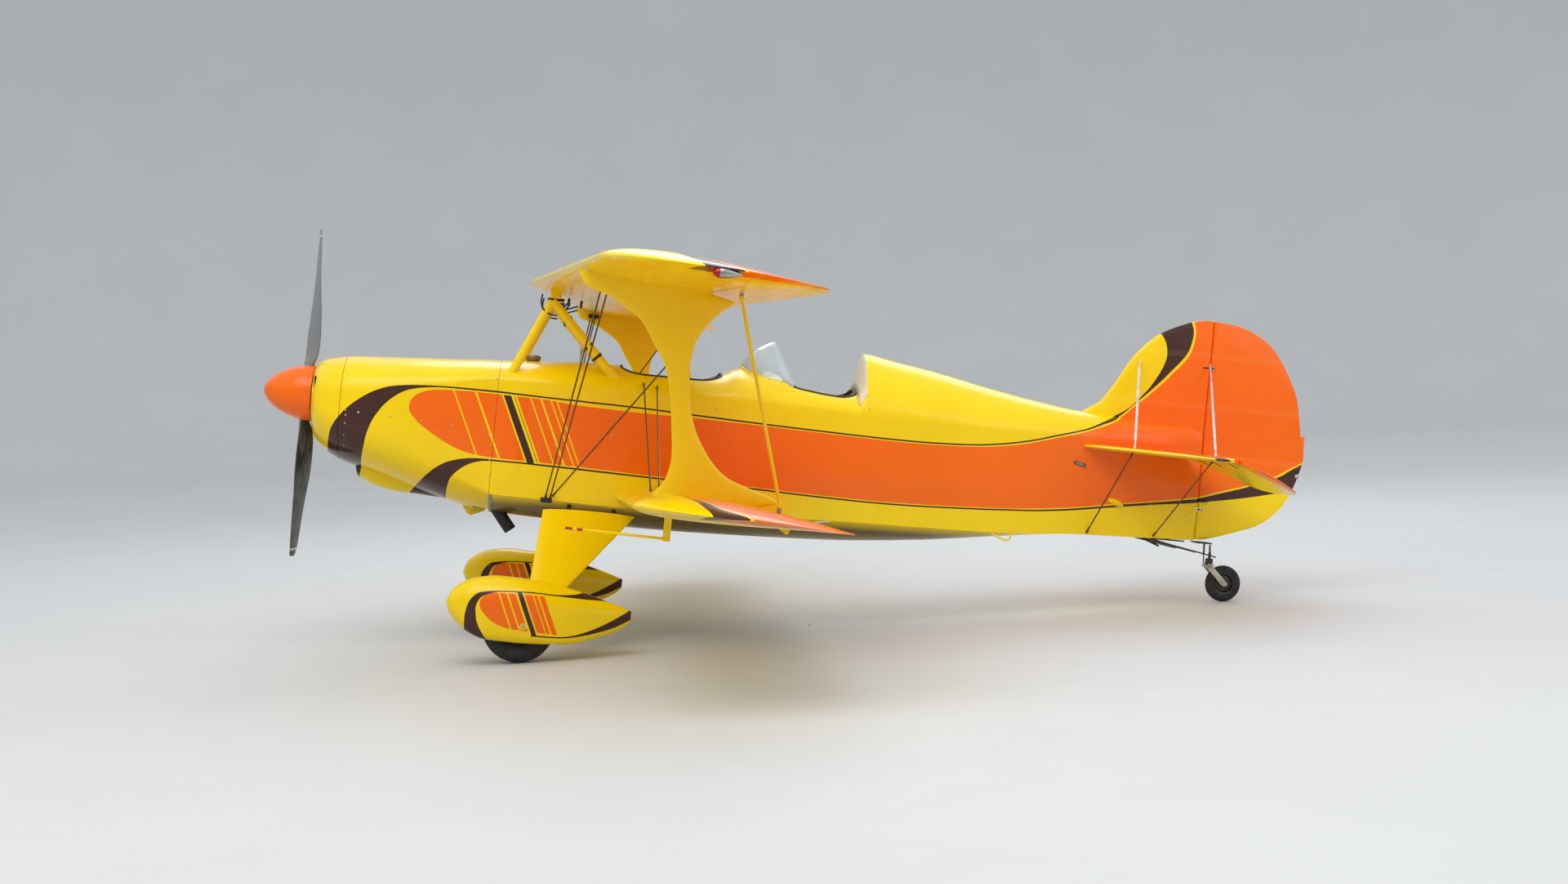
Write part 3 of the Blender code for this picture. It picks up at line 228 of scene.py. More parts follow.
def turned(profile, steps=48, closed=False):
    """Body of revolution about Z from (radius, height) pairs; points with no radius close the poles."""
    angles = np.linspace(0, 2 * math.pi, steps, endpoint=False)
    points = []
    rings = []
    for radius, height in profile:
        if radius < 1e-6:
            rings.append([len(points)])
            points.append((0.0, 0.0, height))
        else:
            rings.append(list(range(len(points), len(points) + steps)))
            points += [(radius * math.cos(a), radius * math.sin(a), height) for a in angles]
    faces = []
    pairs = list(zip(rings[:-1], rings[1:])) + ([(rings[-1], rings[0])] if closed else [])
    for near, far in pairs:
        for i in range(steps):
            j = (i + 1) % steps
            if len(near) == 1:
                faces.append([near[0], far[j], far[i]])
            elif len(far) == 1:
                faces.append([near[i], near[j], far[0]])
            else:
                faces.append([near[i], near[j], far[j], far[i]])
    return np.array(points), faces


def placed(part, origin=(0, 0, 0), axis=None, turn=None):
    """A part with its Z laid along an axis and its origin moved."""
    points, faces = part
    matrix = np.eye(3)
    if axis is not None:
        matrix = np.array(Vector(axis).to_track_quat("Z", "Y").to_matrix())
    if turn is not None:
        matrix = np.array(turn)
    return np.asarray(points) @ matrix.T + np.asarray(origin, float), faces


def rod(path, radius, sides=12, closed=False, flat=1.0, side_hint=(0, 1, 0)):
    """Tube along a path: each ring stands square to the path; flat squeezes it across the hint."""
    path = np.asarray(path, float)
    radius = np.broadcast_to(np.asarray(radius, float), (len(path),))
    ahead = np.roll(path, -1, 0) - np.roll(path, 1, 0)
    if not closed:
        ahead[0] = path[1] - path[0]
        ahead[-1] = path[-1] - path[-2]
    ahead /= np.linalg.norm(ahead, axis=1)[:, None]
    hint = np.asarray(side_hint, float)
    across = np.cross(ahead, hint)
    small = np.linalg.norm(across, axis=1) < 1e-3
    across[small] = np.cross(ahead[small], (0.31, 0.2, 0.93))
    across /= np.linalg.norm(across, axis=1)[:, None]
    over = np.cross(across, ahead)
    a = np.linspace(0, 2 * math.pi, sides, endpoint=False)
    rows = (path[:, None, :] + radius[:, None, None]
            * (np.cos(a)[None, :, None] * across[:, None, :]
               + flat * np.sin(a)[None, :, None] * over[:, None, :]))
    if closed:
        rows = np.concatenate([rows, rows[:1]])
        points, faces = sheet_grid(rows)
        count = len(path) * sides
        return points[:count], [[i % count for i in face] for face in faces]
    return skin(rows)


def slab(low, high, edge=0.002, segments=2):
    """Block with rounded edges."""
    bm = bmesh.new()
    size = Vector(high) - Vector(low)
    middle = (Vector(high) + Vector(low)) / 2
    bmesh.ops.create_cube(bm, size=1.0, matrix=Matrix.Translation(middle)
                          @ Matrix.Diagonal((size.x, size.y, size.z, 1.0)))
    if edge > 0:
        bmesh.ops.bevel(bm, geom=bm.edges[:], offset=edge, segments=segments, affect="EDGES", profile=0.5)
    points = [tuple(v.co) for v in bm.verts]
    faces = [[v.index for v in f.verts] for f in bm.faces]
    bm.free()
    return np.array(points), faces


def drum(radius, low, high, steps):
    """Plain cylinder about Z between two heights."""
    return turned([(0.0, low), (radius, low), (radius, high), (0.0, high)], steps)

# %% Finished pieces


def faced_out(mesh):
    """Turns every closed shell's faces outward."""
    bm = bmesh.new()
    bm.from_mesh(mesh)
    bmesh.ops.recalc_face_normals(bm, faces=bm.faces[:])
    bm.to_mesh(mesh)
    bm.free()


def piece(name, part, look, body="airframe", stands_for=(), fields=None, angle=34.0, recalc=True):
    """One finished object of the scene, at the origin with its place in its mesh."""
    points, faces = part
    mesh = bpy.data.meshes.new(name)
    mesh.from_pydata(stand(points).tolist(), [], faces)
    for key, values in (fields or {}).items():
        mesh.attributes.new(key, "FLOAT", "POINT").data.foreach_set("value", np.asarray(values, np.float32))
    if recalc:
        faced_out(mesh)
    mesh.shade_smooth()
    mesh.set_sharp_from_angle(angle=math.radians(angle))
    mesh.materials.append(look)
    obj = linked(name, mesh)
    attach(obj, body)
    if stands_for:
        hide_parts(*stands_for)
    return obj


def thicken(obj, depth, offset=0.0):
    """Wall for a sheet: at offset 0 half of its depth lies on each side, at -1 all of it below."""
    wall = obj.modifiers.new("thickness", "SOLIDIFY")
    wall.thickness = depth
    wall.offset = offset


SIDES = (("left", -1), ("right", 1))
print("tools ready")

# %% [markdown]
# ## Looks
# Each material is a small node tree. Paint colours come from fields: numbers kept on the mesh points
# that say how far a point lies inside a painted edge, so that the nodes can cut crisp edges with them.
# Noise in object space adds what real finishes have: a drift of tone, dust, grain and wandering gloss.

# %% Node tree


class Look:
    """Node tree of one material, with short calls for its nodes."""

    def __init__(self, name, roughness=0.4, metallic=0.0, coat=0.0, specular=0.5):
        self.mat = bpy.data.materials.new(name)
        self.mat.use_nodes = True
        self.tree = self.mat.node_tree
        self.shader = self.tree.nodes["Principled BSDF"]
        self.shader.inputs["Roughness"].default_value = roughness
        self.shader.inputs["Metallic"].default_value = metallic
        self.shader.inputs["Coat Weight"].default_value = coat
        self.shader.inputs["Coat Roughness"].default_value = 0.06
        self.shader.inputs["Specular IOR Level"].default_value = specular
        self.where = self.node("ShaderNodeTexCoord").outputs["Object"]

    def set(self, socket, value):
        """A value or a link on a socket."""
        if isinstance(value, bpy.types.NodeSocket):
            self.tree.links.new(value, socket)
        elif isinstance(value, (tuple, list)) and len(value) == 3 and socket.type == "RGBA":
            socket.default_value = (*value, 1.0)
        else:
            socket.default_value = value

    def node(self, kind, inputs=None, **props):
        """A node with its properties and inputs."""
        made = self.tree.nodes.new(kind)
        for key, value in props.items():
            setattr(made, key, value)
        for key, value in (inputs or {}).items():
            self.set(made.inputs[key], value)
        return made

    def math(self, operation, a, b=0.0):
        """One Math node."""
        return self.node("ShaderNodeMath", {0: a, 1: b}, operation=operation).outputs[0]

    def mix(self, factor, a, b, blend="MIX"):
        """Colour mix."""
        made = self.node("ShaderNodeMix", data_type="RGBA", blend_type=blend)
        self.set(made.inputs[0], factor)
        self.set(made.inputs[6], a)
        self.set(made.inputs[7], b)
        return made.outputs[2]

    def toned(self, color, tone):
        """Colour times a grey tone."""
        grey = self.node("ShaderNodeCombineColor", {0: tone, 1: tone, 2: tone}).outputs[0]
        return self.mix(1.0, color, grey, "MULTIPLY")

    def field(self, name):
        """A field of the mesh."""
        return self.node("ShaderNodeAttribute", attribute_name=name).outputs["Fac"]

    def noise(self, scale, detail=3.0, stretch=None):
        """Noise in object space, stretched by a factor for each axis."""
        where = self.where
        if stretch:
            where = self.node("ShaderNodeMapping", {"Vector": where, "Scale": stretch}).outputs[0]
        made = self.node("ShaderNodeTexNoise", {"Vector": where, "Scale": scale, "Detail": detail})
        return made.outputs["Fac"]

    def span(self, value, low, high, start=0.0, stop=1.0):
        """Value from low to high turned into start to stop, and held there."""
        return self.node("ShaderNodeMapRange", {0: value, 1: low, 2: high, 3: start, 4: stop}).outputs[0]

    def within(self, tests):
        """1 where every (field, low, high) holds; None leaves an end open."""
        mask = None
        for name, low, high in tests:
            value = self.field(name) if isinstance(name, str) else name
            for operation, limit in (("GREATER_THAN", low), ("LESS_THAN", high)):
                if limit is not None:
                    part = self.math(operation, value, limit)
                    mask = part if mask is None else self.math("MULTIPLY", mask, part)
        return mask

    def bump(self, height, distance, strength=1.0):
        """Adds relief to the shader's normal."""
        made = self.node("ShaderNodeBump", {"Height": height, "Distance": distance, "Strength": strength})
        before = self.shader.inputs["Normal"].links
        if before:
            self.tree.links.new(before[0].from_socket, made.inputs["Normal"])
        self.tree.links.new(made.outputs[0], self.shader.inputs["Normal"])

    def rough(self, low, high, scale=9.0):
        """Roughness that wanders between two values."""
        wander = self.span(self.noise(scale, 4.0), 0.3, 0.7, low, high)
        self.set(self.shader.inputs["Roughness"], wander)

    def color(self, value):
        """Base colour."""
        self.set(self.shader.inputs["Base Color"], value)

# %% Enamel


def banded(look, value, low, high, bands):
    """Constant bands of colour over a value: bands are (start, colour)."""
    ramp = look.node("ShaderNodeValToRGB", {0: look.span(value, low, high)})
    ramp.color_ramp.interpolation = "CONSTANT"
    stops = ramp.color_ramp.elements
    while len(stops) > 1:
        stops.remove(stops[-1])
    for number, (start, color) in enumerate(bands):
        stop = stops[0] if number == 0 else stops.new((start - low) / (high - low))
        stop.position = max(0.0, (start - low) / (high - low))
        stop.color = (*color, 1.0)
    return ramp.outputs[0]


def enamel(name, base, regions=(), cloth=False, soil=None, tapes=None):
    """Glossy enamel: colour regions, a slow drift of tone, faint dust, orange peel, and cloth below it.

    A region is its colour, or a function that makes one, and the tests that hold inside it. A belly field,
    when named, darkens the belly with painted shade and some soot; tapes names the field of the distance
    to the nearest rib tape."""
    look = Look(name, 0.28, 0.0, 0.20, 0.20)
    color = base
    for shade, tests in regions:
        if callable(shade):
            shade = shade(look)
        color = look.mix(look.within(tests), color, shade)
    color = look.toned(color, look.span(look.noise(1.7, 3.0), 0.3, 0.7, 0.94, 1.03))
    dust = look.math("MULTIPLY", look.span(look.noise(34.0, 6.0, (1, 1, 2.2)), 0.52, 0.75), 0.03)
    color = look.mix(dust, color, (0.30, 0.22, 0.10))
    # The belly is darkened below the side's lower edge: painted shade, with some soot in it.
    if soil:
        where = look.math("MULTIPLY", look.span(look.field(soil), 0.0, 0.05),
                          look.span(look.noise(5.0, 5.0, (0.5, 2.0, 1.0)), 0.25, 0.75, 0.80, 0.97))
        color = look.mix(where, color, (0.055, 0.036, 0.008))
    if tapes:
        band = look.span(look.field(tapes), 0.0165, 0.0178, 0.025, 0.0)
        color = look.mix(band, color, (1.0, 0.86, 0.45))
    look.color(color)
    look.rough(0.17, 0.30, 12.0)
    look.bump(look.noise(420.0, 2.0), 0.00001, 0.5)
    look.bump(look.noise(6.0, 2.0), 0.0012, 0.25)
    if cloth:
        look.bump(look.noise(700.0, 1.0, (1.0, 0.4, 1.0)), 0.00001, 0.3)
    if tapes:
        look.bump(look.span(look.field(tapes), 0.0165, 0.0178, 1.0, 0.0), 0.0004, 0.8)
    return look


def paint(*args, **options):
    """Material of an enamel that needs nothing more."""
    return enamel(*args, **options).mat

# %% Metal, rubber, leather, plastic and clear sheet


def metal(name, color, low=0.25, high=0.45, metallic=1.0, scale=180.0, relief=0.00004):
    """Worn metal: brushed or cast grain, and a drift of tone."""
    look = Look(name, low, metallic)
    look.color(look.toned(color, look.span(look.noise(22.0, 5.0), 0.3, 0.7, 0.75, 1.1)))
    look.rough(low, high, 30.0)
    look.bump(look.noise(scale, 3.0), relief, 0.7)
    return look.mat


def rubber(name):
    """Tyre rubber: dark, dry, with road dust in the grain."""
    look = Look(name, 0.7, 0.0, 0.0, 0.4)
    dust = look.math("MULTIPLY", look.span(look.noise(40.0, 6.0), 0.45, 0.8), 0.45)
    look.color(look.mix(dust, (0.016, 0.016, 0.017), (0.075, 0.068, 0.060)))
    look.rough(0.55, 0.85, 25.0)
    look.bump(look.noise(700.0, 3.0), 0.0001, 0.6)
    return look.mat


def hide(name, color, dark, grain=260.0):
    """Leather: cells of grain, darker creases and a soft sheen."""
    look = Look(name, 0.5, 0.0, 0.0, 0.45)
    cells = look.node("ShaderNodeTexVoronoi", {"Vector": look.where, "Scale": grain},
                      feature="DISTANCE_TO_EDGE").outputs[0]
    crease = look.span(cells, 0.0, 0.12)
    drift = look.noise(14.0, 5.0)
    look.color(look.mix(look.math("MULTIPLY", crease, look.span(drift, 0.3, 0.7, 0.6, 1.0)), dark, color))
    look.rough(0.38, 0.6, 20.0)
    look.bump(crease, 0.0004, 0.5)
    look.bump(look.noise(30.0, 3.0), 0.001, 0.3)
    return look.mat


def plastic(name, color, low=0.35, high=0.5, relief=0.00008, scale=600.0):
    """Moulded or painted matt surface with a fine stipple."""
    look = Look(name, low)
    look.color(look.toned(color, look.span(look.noise(16.0, 4.0), 0.3, 0.7, 0.85, 1.08)))
    look.rough(low, high, 18.0)
    look.bump(look.noise(scale, 2.0), relief, 0.5)
    return look.mat


def clear(name, tint, roughness, through):
    """Clear acrylic or glass with faint scuffs in its gloss; the rest of it is haze."""
    look = Look(name, roughness)
    look.shader.inputs["Transmission Weight"].default_value = through
    look.shader.inputs["IOR"].default_value = 1.45
    scuff = look.span(look.noise(70.0, 6.0), 0.5, 0.8, roughness, roughness + 0.08)
    look.set(look.shader.inputs["Roughness"], scuff)
    look.color(look.mix(look.span(look.noise(5.0, 3.0), 0.3, 0.7), tint, tuple(0.94 * c for c in tint)))
    return look.mat

# %% The finishes of this aeroplane
YELLOW_PAINT = paint("yellow_enamel", YELLOW)
ORANGE_PAINT = paint("orange_enamel", ORANGE)
STEEL = metal("brushed_steel", (0.42, 0.42, 0.41), 0.22, 0.42)
DARK_STEEL = metal("oiled_steel", (0.07, 0.065, 0.06), 0.35, 0.6)
ALLOY = metal("cast_alloy", (0.50, 0.50, 0.49), 0.35, 0.6, scale=320.0, relief=0.0001)
RUBBER = rubber("tyre_rubber")
LEATHER = hide("brown_leather", (0.085, 0.036, 0.020), (0.030, 0.012, 0.008))
BLACK_HIDE = hide("black_rim_leather", (0.030, 0.024, 0.022), (0.010, 0.008, 0.008), 320.0)
BLACK = plastic("black_satin", (0.014, 0.014, 0.015), 0.30, 0.46)
CREAM = plastic("cream_panel", (0.80, 0.70, 0.50), 0.45, 0.6)
CLEAR = clear("clear_screen", (0.78, 0.86, 0.88), 0.05, 0.62)
LENS_RED = clear("red_lens", (0.75, 0.01, 0.012), 0.05, 0.5)
LENS_GREEN = clear("green_lens", (0.01, 0.45, 0.10), 0.05, 0.5)
LENS_WHITE = clear("white_lens", (0.90, 0.90, 0.88), 0.08, 0.5)
HOSE = plastic("hose_rubber", (0.020, 0.019, 0.020), 0.4, 0.6)
BRASS = metal("worn_brass", (0.32, 0.22, 0.10), 0.4, 0.65)
RED_BAND = plastic("red_band", (0.55, 0.02, 0.01))
WHITE_MARK = plastic("white_mark", (0.75, 0.74, 0.70))
print("looks", len(bpy.data.materials))

# %% [markdown]
# ## Painted edges on the body
# In side view the body carries two brown crescents that thin into lines, a long orange field with a
# round nose, slanted stripes across it, and a brown wedge on the rudder. Each edge is an open path in
# (x, z); its field is the signed distance to it, positive to the right of the direction of travel. An
# image could hold the same paint, but a distance stays sharp however close one looks.

# %% Livery paths of the body


def edge_field(path, x, z):
    """Signed distance to an open path: the nearest segment's distance, with the side from its turn.

    The first and last segments run on past their ends."""
    path = np.asarray(path, float)
    a = path[:-1]
    d = path[1:] - a
    length = np.maximum((d * d).sum(1), 1e-12)
    out = np.empty(len(x))
    for start in range(0, len(x), 4000):
        px = x[start:start + 4000, None] - a[None, :, 0]
        pz = z[start:start + 4000, None] - a[None, :, 1]
        t = (px * d[None, :, 0] + pz * d[None, :, 1]) / length[None, :]
        low = np.zeros(len(a))
        low[0] = -1e6
        high = np.ones(len(a))
        high[-1] = 1e6
        t = np.clip(t, low, high)
        ex = px - t * d[None, :, 0]
        ez = pz - t * d[None, :, 1]
        dist = ex * ex + ez * ez
        near = dist.argmin(1)
        rows = np.arange(len(near))
        side = d[near, 0] * pz[rows, near] - d[near, 1] * px[rows, near]
        out[start:start + 4000] = -np.sign(side) * np.sqrt(dist[rows, near])
    return out


LINE_TOP = [(1.30, 0.0995), (1.818, 0.090), (2.084, 0.080), (2.497, 0.065), (2.790, 0.056), (3.285, 0.045),
            (3.623, 0.051), (3.840, 0.070), (4.044, 0.108), (4.215, 0.156), (4.369, 0.199)]
TOP_OUTER = smooth_path([(0.135, -0.50), (0.140, -0.380), (0.156, -0.275), (0.165, -0.219), (0.178, -0.169),
                         (0.205, -0.119), (0.244, -0.068), (0.292, -0.021), (0.346, 0.020), (0.391, 0.048),
                         (0.435, 0.068), (0.495, 0.087), (0.592, 0.101), (0.726, 0.109), (0.860, 0.112),
                         (1.075, 0.111)]
                        + [(x, z + 0.005) for x, z in LINE_TOP]
                        + [(4.472, 0.250), (4.571, 0.297), (4.639, 0.343), (4.694, 0.396), (4.721, 0.431),
                           (4.753, 0.470), (4.794, 0.538), (4.824, 0.600), (4.840, 0.655), (4.838, 0.707),
                           (4.821, 0.758), (4.790, 0.800), (4.74, 0.86)], 5)
TOP_INNER = smooth_path([(0.322, -0.60), (0.331, -0.440), (0.346, -0.345), (0.360, -0.268), (0.372, -0.197),
                         (0.387, -0.143), (0.404, -0.100), (0.427, -0.061), (0.454, -0.022), (0.496, 0.021),
                         (0.555, 0.062), (0.621, 0.085), (0.727, 0.100), (0.860, 0.103), (1.076, 0.101)]
                        + [(x, z - 0.004) for x, z in LINE_TOP]
                        + [(4.472, 0.236), (4.583, 0.285), (4.689, 0.385), (4.722, 0.416), (4.777, 0.472),
                           (4.831, 0.530), (4.874, 0.581), (4.928, 0.645), (4.965, 0.702), (4.982, 0.768),
                           (4.986, 0.815), (4.972, 0.873), (4.95, 0.93)], 5)
ORANGE_TOP = [(0.590, -0.019), (0.592, 0.002), (0.600, 0.024), (0.618, 0.046), (0.649, 0.066), (0.688, 0.080),
              (0.728, 0.087), (0.808, 0.093), (0.942, 0.095), (1.077, 0.093), (1.213, 0.090), (1.330, 0.087),
              (1.420, 0.078), (1.550, 0.071), (1.679, 0.067), (1.910, 0.062), (2.110, 0.063), (2.498, 0.055),
              (2.792, 0.047), (3.285, 0.036), (3.623, 0.042), (3.843, 0.059), (4.044, 0.096), (4.215, 0.143),
              (4.369, 0.187), (4.583, 0.275), (4.685, 0.366), (4.735, 0.409), (4.789, 0.463), (4.844, 0.520),
              (4.890, 0.574), (4.942, 0.634), (4.978, 0.692), (4.996, 0.760), (4.999, 0.815), (4.985, 0.880),
              (4.965, 0.94)]
ORANGE_LOW = [(0.594, -0.036), (0.607, -0.058), (0.651, -0.101), (0.722, -0.149), (0.807, -0.196),
              (0.890, -0.229), (0.973, -0.246), (1.081, -0.254), (1.217, -0.256), (1.436, -0.260),
              (1.710, -0.268), (1.931, -0.275), (2.467, -0.286), (2.826, -0.298), (3.241, -0.305),
              (3.661, -0.295), (4.037, -0.277), (4.354, -0.243), (4.536, -0.214), (4.658, -0.195),
              (4.843, -0.168), (5.033, -0.139), (5.123, -0.121), (5.243, -0.081), (5.383, -0.037),
              (5.560, 0.037), (5.612, 0.071), (5.669, 0.103), (5.73, 0.14)]
ORANGE_EDGE = smooth_path(ORANGE_LOW[::-1] + ORANGE_TOP, 5)
LOW_OUTER = smooth_path([(0.53, -0.62), (0.600, -0.515), (0.640, -0.462), (0.671, -0.425), (0.713, -0.377),
                         (0.764, -0.330), (0.828, -0.293), (0.907, -0.271), (0.987, -0.263), (1.082, -0.263),
                         (1.218, -0.264), (1.341, -0.266), (1.505, -0.269), (1.683, -0.274), (1.942, -0.281),
                         (2.467, -0.291), (2.826, -0.303), (3.241, -0.310), (3.661, -0.300), (4.037, -0.282),
                         (4.175, -0.271), (4.356, -0.249), (4.537, -0.221), (4.660, -0.202), (4.845, -0.176),
                         (5.036, -0.148), (5.124, -0.130), (5.244, -0.091), (5.374, -0.050), (5.571, 0.029),
                         (5.623, 0.063), (5.674, 0.096), (5.73, 0.13)], 5)
LOW_INNER = smooth_path([(0.800, -0.75), (0.806, -0.600), (0.819, -0.500), (0.827, -0.437), (0.843, -0.384),
                         (0.880, -0.340), (0.924, -0.306), (0.976, -0.284), (1.042, -0.273), (1.219, -0.273),
                         (1.342, -0.276), (1.506, -0.279), (1.684, -0.284), (1.943, -0.290), (2.467, -0.300),
                         (2.826, -0.312), (3.241, -0.319), (3.661, -0.309), (4.037, -0.291), (4.175, -0.281),
                         (4.356, -0.260), (4.537, -0.233), (4.660, -0.215), (4.845, -0.190), (5.036, -0.169),
                         (5.155, -0.150), (5.273, -0.130), (5.395, -0.106), (5.517, -0.078), (5.566, -0.066),
                         (5.620, -0.055), (5.70, -0.04)], 5)
SLANT = 0.447               # stripe lean: x grows by this much for each metre down
STRIPES = [(0.50, ORANGE), (0.856, YELLOW), (0.866, ORANGE), (0.975, YELLOW), (0.985, ORANGE),
           (1.118, YELLOW), (1.131, BROWN), (1.168, YELLOW), (1.184, BROWN), (1.190, YELLOW), (1.200, ORANGE),
           (1.270, YELLOW), (1.280, ORANGE), (1.328, YELLOW), (1.338, ORANGE), (1.379, YELLOW),
           (1.389, ORANGE), (1.411, YELLOW), (1.421, ORANGE)]

# %% Fields on the points


def body_fields(points):
    """Fields of the body's livery from side view places. The belly field is the depth below the side's
    lower edge, where painted shade and some soot darken the hull.
    """
    x = points[:, 0]
    z = points[:, 2]
    made = {"top_outer": edge_field(TOP_OUTER, x, z), "top_inner": -edge_field(TOP_INNER, x, z),
            "orange": edge_field(ORANGE_EDGE, x, z), "low_outer": edge_field(LOW_OUTER, x, z),
            "low_inner": -edge_field(LOW_INNER, x, z), "slant": x + SLANT * z,
            "aft": x, "belly": -(z + 0.462 - 0.014 * (x - 1.06)) * np.where(x > 1.06, 1.0, 0.0)}
    made["bar_room"] = np.minimum(edge_field(smooth_path(ORANGE_TOP, 4), x, z), -made["low_outer"])
    return made


def stripe_colors(look):
    """Orange crossed by the slanted bands."""
    return banded(look, look.field("slant"), 0.5, 1.5, STRIPES)


BODY_REGIONS = [
    (BROWN, [("top_outer", 0.0, None), ("top_inner", 0.0, None)]),
    (BROWN, [("low_outer", 0.0, None), ("low_inner", 0.0, None)]),
    (stripe_colors, [("orange", 0.0, None)]),
    (BROWN, [("bar_room", 0.0, None), ("slant", 1.131, 1.168), ("aft", 1.0, 1.4)]),
]
BODY_PAINT = paint("body_livery", YELLOW, BODY_REGIONS)
# On the cloth hull the belly is darkened with painted shade and some soot.
BODY_CLOTH = paint("body_livery_on_cloth", YELLOW, BODY_REGIONS, cloth=True, soil="belly")
print("edges", len(TOP_OUTER), len(ORANGE_EDGE), len(LOW_OUTER))

# %% [markdown]
# ## Body sections
# The real hull is cloth over welded tubes and thin stringers, with metal sheet round the engine. A
# section is a belly, a straight side and a full deck: the belly runs from a flat curve to a bowl by its
# roundness, and the deck follows a superellipse. One ring at each station gives even quads for the paint's
# fields, which a cage with Subdivision Surface would not.

# %% Rings of the body
BODY = [
    (0.040, 0.158, 0.000, 0.158, 0.000, 0.158, -0.158, 1.0, 2.00),
    (0.050, 0.170, 0.000, 0.205, -0.010, 0.205, -0.205, 1.0, 2.00),
    (0.066, 0.182, 0.000, 0.250, -0.020, 0.250, -0.240, 1.0, 2.05),
    (0.089, 0.195, 0.000, 0.283, -0.040, 0.283, -0.268, 1.0, 2.10),
    (0.133, 0.208, 0.000, 0.315, -0.060, 0.315, -0.306, 1.0, 2.20),
    (0.216, 0.226, 0.010, 0.348, -0.090, 0.348, -0.352, 1.0, 2.30),
    (0.400, 0.239, 0.030, 0.385, -0.180, 0.380, -0.402, 0.9, 2.40),
    (0.600, 0.252, 0.070, 0.395, -0.280, 0.385, -0.462, 0.7, 2.40),
    (0.800, 0.264, 0.115, 0.385, -0.370, 0.372, -0.515, 0.35, 2.30),
    (0.950, 0.276, 0.150, 0.368, -0.425, 0.360, -0.552, 0.10, 2.15),
    (1.058, 0.282, 0.165, 0.355, -0.453, 0.352, -0.566, 0.0, 2.00),
    (1.300, 0.297, 0.172, 0.356, -0.456, 0.355, -0.577, 0.0, 2.00),
    (1.530, 0.312, 0.178, 0.357, -0.461, 0.357, -0.583, 0.0, 2.00),
    (1.770, 0.316, 0.180, 0.357, -0.467, 0.357, -0.588, 0.0, 2.00),
    (2.070, 0.318, 0.178, 0.357, -0.461, 0.357, -0.588, 0.0, 2.00),
    (2.285, 0.322, 0.176, 0.357, -0.453, 0.357, -0.584, 0.0, 2.00),
    (2.365, 0.356, 0.175, 0.357, -0.450, 0.357, -0.582, 0.0, 2.00),
    (2.550, 0.350, 0.173, 0.357, -0.445, 0.357, -0.577, 0.0, 2.00),
    (2.680, 0.338, 0.171, 0.357, -0.441, 0.357, -0.573, 0.0, 2.00),
    (2.860, 0.312, 0.168, 0.350, -0.436, 0.345, -0.566, 0.0, 2.00),
    (3.048, 0.300, 0.166, 0.338, -0.433, 0.328, -0.557, 0.0, 2.00),
]
REAR = [
    (3.048, 0.300, 0.166, 0.338, -0.433, 0.328, -0.557, 0.0, 2.00),
    (3.088, 0.512, 0.165, 0.335, -0.432, 0.324, -0.554, 0.0, 1.75),
    (3.240, 0.489, 0.163, 0.324, -0.431, 0.310, -0.541, 0.0, 1.75),
    (3.530, 0.443, 0.160, 0.300, -0.429, 0.278, -0.512, 0.0, 1.75),
    (3.820, 0.386, 0.157, 0.270, -0.426, 0.240, -0.471, 0.0, 1.80),
    (4.110, 0.337, 0.154, 0.232, -0.414, 0.198, -0.431, 0.0, 1.85),
    (4.330, 0.308, 0.152, 0.198, -0.399, 0.164, -0.404, 0.0, 1.90),
    (4.600, 0.292, 0.150, 0.150, -0.390, 0.120, -0.396, 0.0, 2.00),
    (4.850, 0.280, 0.148, 0.098, -0.383, 0.075, -0.389, 0.0, 2.00),
    (5.097, 0.270, 0.146, 0.026, -0.376, 0.024, -0.379, 0.0, 2.00),
]
FRONT_FIT = fitted(BODY)
REAR_FIT = fitted(REAR)
CREASE_START, CREASE_END = 0.28, 1.04       # where the cowl's lower corner is rounded off
STRINGER_X = 2.5                            # from here a stringer lifts the cloth of the sides


def body_ring(x, grow=0.0, counts=(14, 16, 22)):
    """Ring round the body at one station: belly, side and deck points on each side."""
    fit = FRONT_FIT if x <= DECK_STEP_X else REAR_FIT
    top, z_up, half_up, z_low, half_low, belly, roundness, fullness = [float(f(x)) for f in fit]
    top += grow
    belly -= grow
    half_up += grow
    half_low += grow
    t = np.arange(counts[0]) / counts[0]
    plain = np.stack([half_low * t, belly + (z_low - belly) * t**2.2], 1)
    a = t * math.pi / 2
    bowl = np.stack([half_low * np.sin(a), z_low - (z_low - belly) * np.cos(a)], 1)
    low = plain + (bowl - plain) * roundness
    t = np.arange(counts[1]) / counts[1]
    bulge = 0.012 * np.sin(np.pi * t) * (1.0 - roundness)
    if x > STRINGER_X:
        tent = 0.012 * (1.0 - np.abs(2.0 * np.clip(t / 0.84, 0, 1) - 1.0))
        bulge = tent * min(1.0, (x - STRINGER_X) / 0.35)
    elif x > 1.2:
        bulge = np.zeros_like(t)
    side = np.stack([half_low + (half_up - half_low) * t + bulge, z_low + (z_up - z_low) * t], 1)
    b = np.arange(counts[2]) / counts[2] * math.pi / 2
    deck = np.stack([half_up * np.cos(b)**(2.0 / fullness),
                     z_up + (top - z_up) * np.sin(b)**(2.0 / fullness)], 1)
    half = np.concatenate([low, side, deck, [[0.0, top]]])
    if CREASE_START < x < CREASE_END:
        reach = counts[1] // 3
        window = slice(counts[0] - reach, counts[0] + reach + 1)
        first, corner, last = half[counts[0] - reach], half[counts[0]].copy(), half[counts[0] + reach]
        s = np.linspace(0, 1, 2 * reach + 1)[:, None]
        round_off = (1 - s)**2 * first + 2 * s * (1 - s) * corner + s**2 * last
        share = 0.7 * math.sin(math.pi * (x - 0.28) / 0.76)**0.7
        half[window] += (round_off - half[window]) * share
    ring = np.concatenate([half, half[-2:0:-1] * (-1, 1)])
    return np.column_stack([np.full(len(ring), x), ring])


